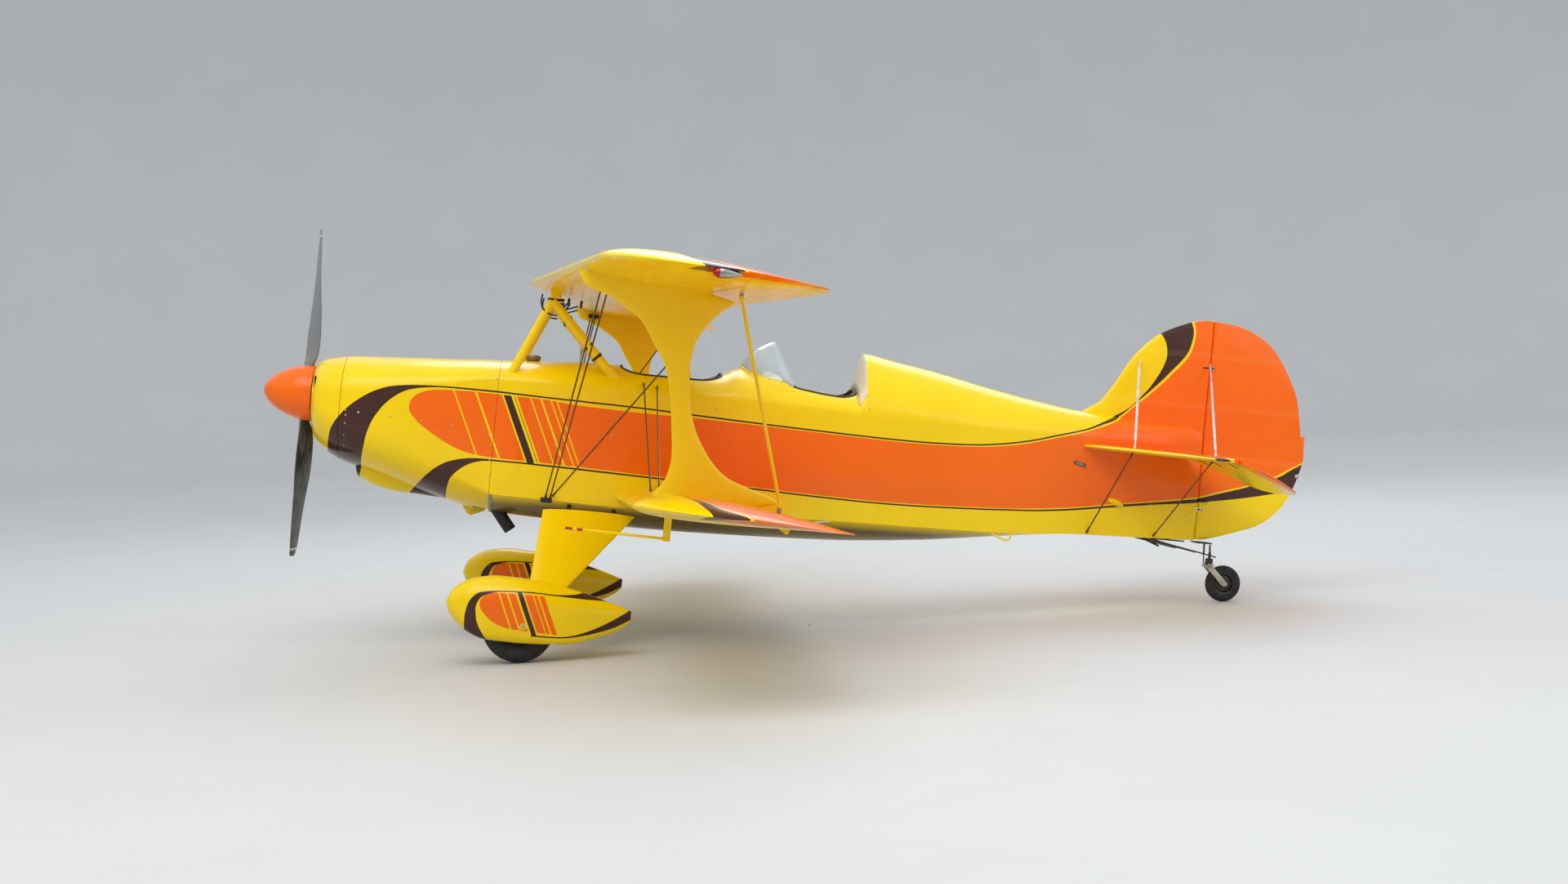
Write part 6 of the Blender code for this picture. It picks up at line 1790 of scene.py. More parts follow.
pulls = [rod([(5.190, side * 0.056, -0.3945), (5.192, side * 0.060, -0.440), (5.196, side * 0.065, -0.475),
              (5.200, side * 0.070, -0.505)], 0.0036, 10) for side in (-1, 1)]
coils = []
for side in (-1, 1):
    t = np.linspace(0, 1, 90)
    a = t * 2 * math.pi * 9
    coil = np.stack([5.1905 + 0.004 * t + 0.0065 * np.cos(a),
                     side * (0.058 + 0.003 * t) + 0.0065 * np.sin(a), -0.400 - 0.058 * t], 1)
    coils.append(rod(coil, 0.0013, 6))
piece("steering_links", join(*pulls, *coils), DARK_STEEL, "tailwheel_fork")
clamp = slab((4.795, -0.0175, -0.3935), (5.050, 0.0175, -0.3865), 0.002)
bolt = rod([(4.803, 0.0, -0.392), (4.905, 0.0, -0.430)], 0.0055, 10)
piece("stern_clamp", join(clamp, bolt), DARK_STEEL)
brackets = []
droop = [(math.cos(ELEVATOR_DROOP), 0, math.sin(ELEVATOR_DROOP)), (0, 1, 0),
         (-math.sin(ELEVATOR_DROOP), 0, math.cos(ELEVATOR_DROOP))]
for side in (-1, 1):
    for y in (0.34, 0.60, 0.90):
        reach = slab((-0.010, -0.0016, -0.020), (0.050, 0.0016, -0.011), 0.0008)
        spot = (ELEVATOR_HINGE[0] + 0.02, side * y, ELEVATOR_HINGE[1] - 0.004)
        brackets.append(placed(reach, spot, turn=droop))
piece("elevator_brackets", join(*brackets), DARK_STEEL, "elevators")
print("tail fittings", len(brackets))

# %% [markdown]
# ## Centre section, wing tips and underside
# Hoses and clips run between the hull and the upper wing, a filler cap stands on the deck, and lamps, the
# pitot tube, horns and caps sit outboard and below. Each is a short path or a turned outline of its own
# size. One loop makes both sides from places that are written once.

# %% Hoses, clips, posts and caps
HOSES = [([(1.250, 0.30, 0.662), (1.246, 0.312, 0.618), (1.262, 0.322, 0.579), (1.300, 0.322, 0.555),
           (1.336, 0.31, 0.552)], 0.0048),
         ([(1.352, 0.30, 0.574), (1.382, 0.322, 0.612), (1.400, 0.312, 0.640)], 0.0048),
         ([(1.372, 0.30, 0.585), (1.415, 0.32, 0.600), (1.448, 0.31, 0.612)], 0.0042)]
REAR_LEG_WAY = np.array((CABANE_LEGS[1][0] - CABANE_TOP[0], 0.0, CABANE_LEGS[1][1] - CABANE_TOP[1]))


def block(low, high, side, edge):
    """Slab between two places that are given for one side."""
    low, high = np.array(low) * (1, side, 1), np.array(high) * (1, side, 1)
    return slab(np.minimum(low, high), np.maximum(low, high), edge)


lines, clips, posts, lips = [], [], [], []
band = turned([(0.0268, -0.008), (0.0285, -0.008), (0.0285, 0.008), (0.0268, 0.008)], 32, closed=True)
knob = turned([(0.0, -0.010), (0.007, -0.010), (0.008, 0.0), (0.006, 0.012), (0.0, 0.012)], 12)
for side in (-1, 1):
    at = beside(side)
    lines += [rod(smooth_path([at(*place) for place in path], 6), radius, 10) for path, radius in HOSES]
    clips.append(block((1.280, 0.296, 0.628), (1.372, 0.320, 0.646), side, 0.003))
    for t in (0.235, 0.560, 0.690):
        spot = np.array(at(CABANE_TOP[0], CABANE_Y, CABANE_TOP[1])) + REAR_LEG_WAY * t
        clips.append(placed(band, spot, REAR_LEG_WAY))
    clips += [placed(knob, at(x, 0.31, z)) for x, z in ((1.396, 0.641), (1.465, 0.634))]
    posts.append(rod([at(1.343, 0.270, 0.580), at(1.665, 0.262, 0.235)], 0.0075, 14))
    clips.append(block((1.340, 0.3575, -0.444), (1.402, 0.3605, -0.472), side, 0.0015))
    for x in (1.353, 1.389):
        clips.append(placed(turned([(r * 0.0055, h * 0.006) for r, h in DOME], 8), at(x, 0.3625, -0.459),
                            (0, side, 0)))
    for x, z, thick in ((1.50, -0.505, 0.012), (1.745, -0.512, 0.011)):
        clips.append(rod([at(x, 0.300, z + 0.050), at(x - 0.004, 0.392, z - 0.022)], thick, 14))
    edge = np.array([body_ring(x, 0.0032) for x in (1.056, 1.060, 1.070, 1.074)])
    half = edge[:, (edge[0, :, 1] * side >= 0.02) & (edge[0, :, 2] < -0.452)]
    lips.append(half[:, np.argsort(half[0, :, 1] * side)])
    clips.append(block((1.526, 2.452, 0.640), (1.598, 2.470, 0.666), side, 0.002))
piece("centre_hoses", join(*lines), HOSE)
piece("dark_clips", join(*clips), DARK_STEEL)
piece("inner_cabane_stays", join(*posts), YELLOW_PAINT)
post = rod([(1.484, 0.0, 0.250), (1.484, 0.0, 0.400), (1.482, 0.0, 0.408)], [0.005, 0.005, 0.002], 12)
piece("centre_post", post, WHITE_MARK)
for number, half in enumerate(lips):
    lip = sheet_grid(half, wrap=False)
    thicken(piece("cowl_lip_%d" % number, lip, STEEL, recalc=False), 0.0016)
cap = turned([(0.0, -0.012), (0.030, -0.012), (0.033, 0.0), (0.036, 0.012), (0.0425, 0.014), (0.0425, 0.030),
              (0.038, 0.036), (0.016, 0.040), (0.0, 0.040)], 36)
piece("fuel_cap", placed(cap, (1.225, 0.0, deck_height(1.225, 0.0) - 0.004)), BRASS)
rows = []
for x, low, half in ((0.905, -0.545, 0.004), (0.918, -0.566, 0.009), (0.940, -0.594, 0.012),
                     (0.960, -0.599, 0.013), (0.990, -0.586, 0.011), (1.020, -0.573, 0.007),
                     (1.036, -0.566, 0.003)):
    a = np.linspace(0, math.pi, 13)
    keel = np.stack([np.full(13, x), half * np.cos(a), low + 0.012 - 0.012 * np.sin(a)], 1)
    rows.append(np.concatenate([keel, [(x, -half, -0.535), (x, half, -0.535)]]))
piece("drain_fairing", skin(rows), YELLOW_PAINT, angle=50.0)

# %% Pitot tube, tip lights and what hangs from the lower ailerons
PITOT_Y = -2.60
a = np.linspace(0, 2 * math.pi, 28, endpoint=False)
mast = skin([np.stack([1.930 + 0.0170 * np.cos(a), PITOT_Y + 0.0045 * np.sin(a), np.full(28, z)], 1)
             for z in np.linspace(-0.330, -0.474, 12)])
tube = rod([(1.948, PITOT_Y, -0.4625), (1.940, PITOT_Y, -0.463), (1.560, PITOT_Y, -0.4545),
            (1.475, PITOT_Y, -0.4525), (1.470, PITOT_Y, -0.4523)],
           [0.0035, 0.0062, 0.0062, 0.0052, 0.0044], 20)
piece("pitot_mast", join(mast, tube), YELLOW_PAINT, stands_for=["pitot_tube"])
bands = [rod([(x0, PITOT_Y, z0), (x1, PITOT_Y, z1)], 0.0067, 20)
         for x0, z0, x1, z1 in ((1.477, -0.4526, 1.510, -0.4533), (1.529, -0.4537, 1.555, -0.4543))]
piece("pitot_bands", join(*bands), RED_BAND)
HORN_Y = 1.665
for (side_name, side), lens in zip(SIDES, (LENS_RED, LENS_GREEN)):
    spot = (1.992, side * 3.644, 0.686)
    dome = turned([(0.0, -0.030), (0.009, -0.027), (0.017, -0.019), (0.0215, -0.008), (0.0225, 0.003),
                   (0.0, 0.003)], 30)
    piece("tip_light_%s_lens" % side_name, placed(dome, spot, (1, 0, 0)), lens)
    pod = turned([(0.0, 0.0), (0.0228, 0.0), (0.0232, 0.006), (0.0215, 0.028), (0.0165, 0.054),
                  (0.0095, 0.078), (0.0035, 0.094), (0.0, 0.098)], 30)
    piece("tip_light_%s_pod" % side_name, placed(pod, spot, (1, 0, 0)), STEEL)
    y = side * HORN_Y
    body = "aileron_lower_" + side_name
    low_z = LOWER.front(HORN_Y)[1]
    outline = ((2.462, -0.030), (2.600, -0.022), (2.574, -0.096), (2.562, -0.100))
    horn = [[(x, y + dy, low_z + z) for x, z in outline] for dy in (-0.0025, 0.0, 0.0025)]
    piece("aileron_horn_" + side_name, skin(horn), YELLOW_PAINT, body)
    tab = rod([(2.632, y, low_z - 0.040), (2.700, y, low_z - 0.030), (2.776, y, low_z - 0.016)],
              [0.0045, 0.0050, 0.0030], 12)
    piece("aileron_tab_rod_" + side_name, tab, STEEL, body)
    cap_y = side * (TRACK_HALF + 0.1315)
    ring = turned([(0.0, -0.010), (0.0185, -0.010), (0.0185, 0.002), (0.0165, 0.0040), (0.0125, 0.0040),
                   (0.0115, 0.0020), (0.0, 0.0020)], 32)
    piece("fairing_cap_" + side_name, placed(ring, (1.316, cap_y, -1.079), (0, side, 0)), YELLOW_PAINT)
    heart = placed(turned([(0.0, 0.0), (0.0110, 0.0), (0.0105, 0.0030), (0.0, 0.0034)], 24),
                   (1.316, cap_y + side * 0.0005, -1.079), (0, side, 0))
    piece("fairing_cap_core_" + side_name, heart, ALLOY)
print("centre and underside fittings", len(clips))

# %% [markdown]
# ## Tailwheel
# Three spring leaves come out from under the stern and carry a fork that swivels. A leaf is a strip
# between two shares of the pack's thickness, so that the leaves always lie one on another, and the stern
# itself trims them. The cast arms are one outline, drawn in at both faces for a soft edge.

# %% Spring leaves, fork and small wheel
LEAF = [(4.76, -0.384, 0.020, 0.012), (4.84, -0.397, 0.020, 0.012), (4.95, -0.418, 0.020, 0.010),
        (5.06, -0.436, 0.019, 0.008), (5.15, -0.452, 0.018, 0.008), (5.245, -0.470, 0.018, 0.008)]
leaf_fit = fitted(LEAF)
FORK_Z = -0.500


def leaf(start, stop, low, high):
    """One spring leaf between two fractions of the pack's thickness, its edges cut off by e."""
    rows = []
    e = 0.0012
    for x in np.linspace(start, stop, 18):
        c, h, t = [float(f(x)) for f in leaf_fit]
        z0 = c + t * low
        z1 = c + t * high
        rows.append([(x, -h + e, z0), (x, h - e, z0), (x, h, z0 + e), (x, h, z1 - e), (x, h - e, z1),
                     (x, -h + e, z1), (x, -h, z1 - e), (x, -h, z0 + e)])
    return skin(rows)


stern = skin([body_ring(x, 0.0003, (8, 6, 8)) for x in np.linspace(4.6, TAIL_POST_X, 8)])
hole = placed(drum(0.0085, -0.1, 0.2, 24), (SWIVEL_X, 0.0, FORK_Z))
pack = [cut(leaf(4.76, 5.245, 0.02, 1.0), stern, hole), cut(leaf(4.76, 5.12, -0.46, -0.02), stern),
        cut(leaf(4.76, 5.00, -1.0, -0.50), stern)]
piece("tail_spring_leaves", join(*pack), DARK_STEEL, stands_for=["tail_spring"])

axle_x, axle_z = TAIL_AXLE
fork_parts = [
    placed(turned([(0.0, -0.028), (0.019, -0.028), (0.022, -0.025), (0.022, 0.020), (0.020, 0.0235),
                   (0.0, 0.0235)], 36), (SWIVEL_X, 0.0, FORK_Z)),
    placed(turned([(0.0, 0.0), (0.008, 0.0), (0.008, 0.056), (0.0065, 0.058), (0.0, 0.058)], 24),
           (SWIVEL_X, 0.0, FORK_Z)),
    slab((SWIVEL_X - 0.030, -0.039, FORK_Z - 0.028), (SWIVEL_X + 0.014, 0.039, FORK_Z - 0.014), 0.003, 3),
    slab((SWIVEL_X - 0.012, -0.085, FORK_Z - 0.014), (SWIVEL_X + 0.012, 0.085, FORK_Z - 0.006), 0.002),
    rod([(axle_x, -0.035, axle_z), (axle_x, 0.035, axle_z)], 0.008, 24)]
for way in (-1, 1):
    outline = [(SWIVEL_X - 0.028, FORK_Z - 0.020), (SWIVEL_X + 0.012, FORK_Z - 0.016),
               (axle_x + 0.016, axle_z + 0.004), (axle_x + 0.015, axle_z - 0.010),
               (axle_x + 0.006, axle_z - 0.015), (axle_x - 0.008, axle_z - 0.015),
               (axle_x - 0.019, axle_z - 0.008)]
    rows = []
    middle = np.mean(outline, 0)
    for y, shrink in ((0.031, 0.94), (0.0318, 1.0), (0.0382, 1.0), (0.039, 0.94)):
        rows.append([(middle[0] + (x - middle[0]) * shrink, way * y, middle[1] + (z - middle[1]) * shrink)
                     for x, z in outline])
    fork_parts.append(skin(rows))
    fork_parts.append(placed(turned([(0.0, 0.0), (0.0125, 0.0), (0.013, 0.001), (0.013, 0.006), (0.011, 0.008),
                                     (0.0, 0.008)], 6), (axle_x, way * 0.039, axle_z), (0, way, 0)))
FORK_ENAMEL = metal("fork_enamel", (0.52, 0.49, 0.38), 0.4, 0.6, 0.1, scale=120.0, relief=0.0001)
piece("tailwheel_fork_casting", join(*fork_parts[2:4], *fork_parts[5:]), FORK_ENAMEL, "tailwheel_fork",
      ["tailwheel_fork"])
piece("tailwheel_fork_head", join(*fork_parts[:2], fork_parts[4]), DARK_STEEL, "tailwheel_fork")
tail_tyre = [(0.060, 0.0245), (0.070, 0.0247), (0.085, 0.024), (0.094, 0.0195), (0.099, 0.014),
             (0.1025, 0.008), (0.105, 0.0)]
tail_tyre += [(r, -h) for r, h in tail_tyre[-2::-1]]
hub = (axle_x, 0.0, axle_z)
piece("tail_tyre", placed(turned(tail_tyre, 72, closed=True), hub, (0, 1, 0)), RUBBER, "tail_wheel",
      ["tail_wheel"], angle=40.0)
core = [(0.0085, 0.024), (0.018, 0.024), (0.022, 0.014), (0.046, 0.010), (0.052, 0.020), (0.0595, 0.0225)]
piece("tail_wheel_rim", placed(turned(core + [(r, -h) for r, h in core[::-1]], 60, closed=True), hub,
                               (0, 1, 0)), DARK_STEEL, "tail_wheel")
print("tailwheel ready")

# %% [markdown]
# ## Cockpits, windscreen and headrest
# A padded roll follows each opening, and a moulded screen stands ahead of the rear seat in a low frame.
# The screen is a sheet between its foot and its crest, swelled by a sine, and Solidify gives it a wall: a
# bent plane would not meet the deck along one line. The headrest's face is a sheet on the deck's step.

# %% Cockpit rims


def rim_tube(outline):
    """Padded edge round an opening, laid on the deck's skin."""
    loop = np.array(list(outline) + [outline[0]])
    run = np.concatenate([[0.0], np.cumsum(np.hypot(*np.diff(loop, axis=0).T))])
    spots = np.linspace(0.0, run[-1], 150)[:-1]
    xs, ys = (np.interp(spots, run, loop[:, k]) for k in (0, 1))
    path = [(x, y, deck_height(x, y) - 0.001) for x, y in zip(xs, ys)]
    return rod(path, 0.0075, 12, closed=True, side_hint=(0, 0, 1))


front_rim = rim_tube(opening_outline(*COCKPITS["front"], per=8))
piece("front_cockpit_rim", front_rim, BLACK_HIDE)
rear_rim = rim_tube(opening_outline(2.620, 3.036, 0.272, 0.11, per=8))
piece("rear_cockpit_rim", rear_rim, BLACK_HIDE)

# %% Windscreen
SCREEN_FOOT = [(2.348, 0.0), (2.356, 0.10), (2.380, 0.175), (2.425, 0.240), (2.490, 0.285), (2.570, 0.306),
               (2.640, 0.311), (2.692, 0.306)]
SCREEN_BASE = [(2.396, 0.0, 0.374), (2.402, 0.085, 0.368), (2.422, 0.150, 0.352), (2.455, 0.205, 0.335),
               (2.510, 0.250, 0.322), (2.580, 0.272, 0.311), (2.635, 0.280, 0.298), (2.676, 0.282, 0.280)]
SCREEN_CREST = [(2.562, 0.0, 0.533), (2.566, 0.060, 0.524), (2.578, 0.110, 0.500), (2.598, 0.155, 0.458),
                (2.620, 0.195, 0.410), (2.644, 0.232, 0.358), (2.662, 0.262, 0.320), (2.676, 0.280, 0.293)]


def both_ways(points):
    """A run of points from the middle to starboard, joined to its mirror image."""
    points = np.asarray(points, float)
    return np.concatenate([(points * (1, -1, 1))[:0:-1], points])


foot = smooth_path(both_ways([(x, y, deck_height(x, y) - 0.001) for x, y in SCREEN_FOOT]), 5)
base = smooth_path(both_ways(SCREEN_BASE), 5)
crest = smooth_path(both_ways(SCREEN_CREST), 5)
round_about = np.linspace(-math.pi / 2, math.pi / 2, len(base))
bulge = np.stack([-0.75 * np.cos(round_about), 0.45 * np.sin(2 * round_about),
                  0.66 * np.cos(round_about)], 1)
rows = np.array([base * (1 - t) + crest * t + bulge * 0.027 * math.sin(math.pi * t)
                 for t in np.linspace(0.0, 1.0, 17)])
screen = piece("windscreen_pane", sheet_grid(rows, wrap=False), CLEAR, stands_for=["windscreen"],
               recalc=False, angle=60.0)
thicken(screen, 0.003)
rows = np.array([foot * (1 - t) + (base + bulge * 0.004) * t + bulge * -0.010 * math.sin(math.pi * t)
                 for t in np.linspace(0.0, 1.06, 9)])
frame_sheet = piece("windscreen_frame", sheet_grid(rows, wrap=False), YELLOW_PAINT,
                    recalc=False, angle=60.0)
thicken(frame_sheet, 0.0022)
studs = []
stud = turned([(0.0, -0.002), (0.0042, -0.002), (0.0042, 0.0010), (0.0026, 0.0022), (0.0, 0.0024)], 12)
for i in range(3, len(base) - 3, 5):
    way = np.cross(base[i + 1] - base[i - 1], crest[i] - base[i])
    way *= math.copysign(1.0, np.dot(way, bulge[i])) / np.linalg.norm(way)
    studs.append(placed(stud, rows[-2][i] + way * 0.0012, way))
piece("windscreen_screws", join(*studs), STEEL)
piece("windscreen_edge", rod(crest, 0.0030, 8, side_hint=(1, 0, 0)), LENS_WHITE)

# %% Headrest face
outer, inner = body_ring(3.0875, -0.0005), body_ring(3.0470, -0.0005)
above = outer[:, 2] > 0.262
turn_by = np.argsort(np.arctan2(outer[above, 2] - 0.12, outer[above, 1]))
outer, inner = outer[above][turn_by], inner[above][turn_by]
face = np.array([outer * (1 - t) + inner * t - ((0.0025, 0, 0) if t else 0)
                 for t in (0.0, 0.03, 0.25, 0.5, 0.75, 1.0)])
headrest = piece("headrest_face", sheet_grid(face, wrap=False), CREAM, recalc=False)
thicken(headrest, 0.003, -1.0)
print("screen", len(rows[0]), "points round")

# %% [markdown]
# ## Cabin frame, floor and controls
# The hull is a cage of thin welded tubes under cloth, so inside one sees the longerons, the uprights and
# the diagonals. A plywood floor lies between the lower tubes; sticks and pedals stand on it, and throttles
# on the side. A Wireframe modifier makes such a cage fast, but gives every tube the same size.

# %% Tubes


def cabin_half(x):
    """Half width inside the hull."""
    return float(FRONT_FIT[2](x)) - 0.022


TUBE = plastic("tube_enamel", (0.22, 0.23, 0.21), 0.35, 0.55)
BAYS = (1.65, 2.07, 2.49, 2.99)
RAIL_HIGH, RAIL_LOW = 0.150, -0.425
tubes = []
for side in (-1, 1):
    def rail(x, z):
        """Place of a tube's middle beside the cabin wall."""
        return (x, side * (cabin_half(x) - 0.013 - (0.02 if z < -0.4 else 0.0)), z)

    for z in (RAIL_HIGH, RAIL_LOW):
        tubes.append(rod([rail(x, z) for x in np.linspace(1.64, 3.0, 12)], 0.0105, 14))
    for i, x in enumerate(BAYS):
        tubes.append(rod([rail(x, RAIL_LOW), rail(x, RAIL_HIGH)], 0.0085, 12))
        if i + 1 < len(BAYS):
            ends = (RAIL_HIGH, RAIL_LOW) if i % 2 else (RAIL_LOW, RAIL_HIGH)
            tubes.append(rod([rail(x, ends[0]), rail(BAYS[i + 1], ends[1])], 0.0085, 12))
for x in BAYS[2:]:
    reach = cabin_half(x) - 0.02
    tubes.append(rod([(x, -reach, RAIL_LOW), (x, reach, RAIL_LOW)], 0.0085, 12))
piece("cabin_tubes", join(*tubes), TUBE)

# %% Floor, sticks and pedals


def wood(name):
    """Varnished plywood: long grain and darker streaks."""
    look = Look(name, 0.35, 0.0, 0.3)
    grain = look.span(look.noise(38.0, 6.0, (0.06, 1.0, 1.0)), 0.3, 0.7)
    look.color(look.mix(grain, (0.33, 0.17, 0.065), (0.52, 0.32, 0.14)))
    look.rough(0.3, 0.5)
    look.bump(grain, 0.0003, 0.4)
    return look.mat


PLY = wood("varnished_ply")
FLOOR_Z = -0.463
boards = [slab((x0, y0, FLOOR_Z - 0.0062), (x1, y1, FLOOR_Z), 0.0015)
          for x0, x1 in ((1.66, 2.115), (2.125, 2.555), (2.565, 2.985))
          for y0, y1 in ((-0.200, -0.003), (0.003, 0.200))]
piece("floor_boards", join(*boards), PLY)

controls = []
grips = []
for stick in ([(1.860, 0, FLOOR_Z), (1.861, 0, -0.38), (1.880, 0, -0.24), (1.925, 0, -0.10)],
              [(2.572, 0, FLOOR_Z), (2.573, 0, -0.37), (2.596, 0, -0.22), (2.648, 0, -0.08)]):
    path = smooth_path(stick, 6)
    controls.append(rod(path, 0.0095, 14))
    way = (path[-1] - path[-2]) / np.linalg.norm(path[-1] - path[-2])
    grips.append(rod([path[-1] + way * s for s in (-0.012, -0.008, 0.01, 0.03, 0.05, 0.075, 0.090, 0.097)],
                     [0.0105, 0.0145, 0.0150, 0.0130, 0.0150, 0.0165, 0.0150, 0.0080], 18))
    boot = turned([(0.0, -0.001), (0.040, -0.001), (0.040, 0.004), (0.024, 0.012), (0.012, 0.030),
                   (0.0, 0.030)], 24)
    controls.append(placed(boot, (stick[0][0], 0, FLOOR_Z)))
for x, y in ((1.70, 0.115), (2.335, 0.232)):
    for side in (-1, 1):
        controls.append(rod([(x, side * y, FLOOR_Z), (x - 0.01, side * y, -0.36)], 0.007, 10))
        bar = [(x - 0.012, side * (y - 0.045), -0.352), (x - 0.012, side * (y + 0.045), -0.352)]
        controls.append(rod(bar, 0.0085, 12))
for x in (2.02, 2.74):
    y = -cabin_half(x) + 0.030
    controls.append(slab((x - 0.055, y - 0.014, 0.020), (x + 0.055, y + 0.008, 0.066), 0.006, 3))
    controls.append(rod([(x + 0.01, y + 0.012, 0.045), (x - 0.035, y + 0.020, 0.112)], 0.0042, 10))
    knob = turned([(0.0, -0.014), (0.008, -0.012), (0.0125, -0.004), (0.0125, 0.006), (0.008, 0.013),
                   (0.0, 0.0145)], 20)
    grips.append(placed(knob, (x - 0.038, y + 0.021, 0.118)))
piece("sticks_and_pedals", join(*controls), TUBE)
piece("grips", join(*grips), BLACK)
print("cabin", len(tubes), "tubes")

# %% [markdown]
# ## Instrument panels
# A dial is a turned bezel, a dark face and a needle. The face carries its own two coordinates, so the
# nodes can count ticks round it: the angle times the number of ticks, less its whole part. Modelled ticks
# would need hundreds of faces for each dial and look the same.

# %% Dials and panels


def dial_face(name, ticks):
    """Black face with white ticks from 225 degrees on one side to 225 on the other."""
    look = Look(name, 0.35)
    u, v = look.field("dial_u"), look.field("dial_v")
    radius = look.math("SQRT", look.math("ADD", look.math("MULTIPLY", u, u), look.math("MULTIPLY", v, v)))
    turn = look.math("DIVIDE", look.math("ARCTAN2", u, v), 2 * math.pi)
    beat = look.math("FRACT", look.math("ADD", look.math("MULTIPLY", turn, ticks), 0.5))
    long_beat = look.math("FRACT", look.math("ADD", look.math("MULTIPLY", turn, ticks / 5), 0.5))
    fine = look.within([(radius, 0.80, 0.90), (beat, 0.42, 0.58)])
    bold = look.within([(radius, 0.70, 0.90), (long_beat, 0.47, 0.53)])
    marks = look.math("MAXIMUM", fine, bold)
    look.color(look.mix(marks, (0.012, 0.012, 0.013), (0.75, 0.74, 0.68)))
    look.rough(0.25, 0.4)
    look.bump(marks, 0.0001, 0.5)
    return look.mat


DIAL_FACE = dial_face("dial_face", 40)
PANEL = plastic("panel_crackle", (0.045, 0.047, 0.050), 0.5, 0.7, 0.0003, 220.0)


def dial(x, y, z, r):
    """Bezel, face with its own coordinates, and needle of one dial that faces aft."""
    bezel = turned([(r, -0.001), (r, 0.005), (r - 0.0015, 0.0068), (r - 0.0045, 0.0068),
                    (r - 0.006, 0.0050), (r - 0.006, -0.001)], 40, closed=True)
    a = np.linspace(0, 2 * math.pi, 40, endpoint=False)
    rings = [(0.02, 0.0016), (0.5, 0.0016), (1.0, 0.0016), (1.0, -0.0006), (0.02, -0.0006)]
    reach = r - 0.0055
    rows = np.array([np.stack([np.full(40, x + h), y + reach * k * np.sin(a), z + reach * k * np.cos(a)], 1)
                     for k, h in rings])
    plate = sheet_grid(np.concatenate([rows, rows[:1]]))
    plate = (plate[0][:200], [[i % 200 for i in f] for f in plate[1]])
    u = np.concatenate([k * np.sin(a) for k, _ in rings])
    v = np.concatenate([k * np.cos(a) for k, _ in rings])
    return placed(bezel, (x, y, z), (1, 0, 0)), plate, u, v


def panel(name, x, z_low, dials, stands_for=()):
    """Plate across the cabin with its dials, needles and switches."""
    wall = room_ring(x, 0.0035)
    half = wall[(wall[:, 1] >= 0) & (wall[:, 2] > z_low)]
    outline = np.concatenate([[(x, half[0, 1], z_low)], half])
    outline = np.concatenate([outline, (outline * (1, -1, 1))[::-1][1:]])
    piece(name + "_plate", skin([outline, outline + (0.0045, 0, 0)]), PANEL, stands_for=stands_for)
    bezels, plates, u, v, needles = [], [], [], [], []
    for k, (y, z, r) in enumerate(dials):
        bezel, plate, du, dv = dial(x + 0.0045, y, z, r)
        bezels.append(bezel)
        plates.append(plate)
        u.append(du)
        v.append(dv)
        a = math.radians((200, 320, 45, 250, 120, 15, 280)[k % 7])
        tip = np.array((x + 0.0078, y + 0.72 * r * math.sin(a), z + 0.72 * r * math.cos(a)))
        tail = np.array((x + 0.0078, y - 0.2 * r * math.sin(a), z - 0.2 * r * math.cos(a)))
        needles.append(rod([tail, (tail + tip) / 2, tip], [0.0014, 0.0012, 0.0003], 6))
        boss = turned([(0.0, -0.002), (0.004, -0.002), (0.004, 0.0012), (0.0, 0.002)], 12)
        needles.append(placed(boss, (x + 0.0078, y, z), (1, 0, 0)))
    for k in range(5):
        at = np.array((x + 0.004, -0.16 + 0.08 * k, z_low + 0.035))
        collar = turned([(0.0, 0.0), (0.0062, 0.0), (0.0062, 0.003), (0.003, 0.004), (0.0, 0.004)], 12)
        bezels.append(placed(collar, at, (1, 0, 0)))
        bezels.append(rod([at, at + (0.016, 0, 0.005)], [0.0020, 0.0028], 8))
    piece(name + "_bezels", join(*bezels), BLACK)
    piece(name + "_dials", join(*plates), DIAL_FACE,
          fields={"dial_u": np.concatenate(u), "dial_v": np.concatenate(v)})
    piece(name + "_needles", join(*needles), WHITE_MARK)


panel("rear_panel", 2.5605, -0.010, [(-0.105, 0.205, 0.040), (0.0, 0.225, 0.040), (0.105, 0.205, 0.040),
                                     (-0.185, 0.120, 0.030), (-0.058, 0.118, 0.040), (0.058, 0.118, 0.040),
                                     (0.185, 0.120, 0.030)], ["instrument_panel"])
panel("front_panel", 1.7000, 0.040, [(-0.10, 0.165, 0.040), (0.0, 0.185, 0.040), (0.10, 0.165, 0.040)])
print("panels ready")

# %% [markdown]
# ## Seats
# Each seat is a bent alloy pan with two leather cushions and a five-piece harness. A cushion starts as a
# rounded box; Cloth with inside pressure blows it up, and the move of each point is held under a cap.
# Sewn channels and piping come after that, because remeshing would wipe them out.

# %% Padding


def box_pad(size):
    """Rounded box: superellipse rings that shrink towards the top and bottom."""
    width, length, height = size
    corner = 3.2
    a = np.linspace(0, 2 * math.pi, 64, endpoint=False)
    c = np.sign(np.cos(a)) * np.abs(np.cos(a))**(2 / corner)
    s = np.sign(np.sin(a)) * np.abs(np.sin(a))**(2 / corner)
    rows = []
    for t in np.linspace(-math.pi / 2, math.pi / 2, 9):
        k = 1.0 - 0.5 * height / width * (1.0 - math.cos(t)) * 1.2
        level = np.full(64, height / 2 * math.sin(t))
        rows.append(np.stack([width / 2 * k * c, length / 2 * k * s, level], 1))
    return skin(rows)


def remeshed(part, voxel):
    """Even quads by a voxel remesh."""
    obj = scratch(part)
    mod = obj.modifiers.new("remesh", "REMESH")
    mod.mode = "VOXEL"
    mod.voxel_size = voxel
    bpy.context.view_layer.update()
    return applied(obj)


PAD_PRESSURE = 4.0
PAD_CAP = 0.009             # the farthest that a point of a cushion may move
PAD_FRAMES = 20


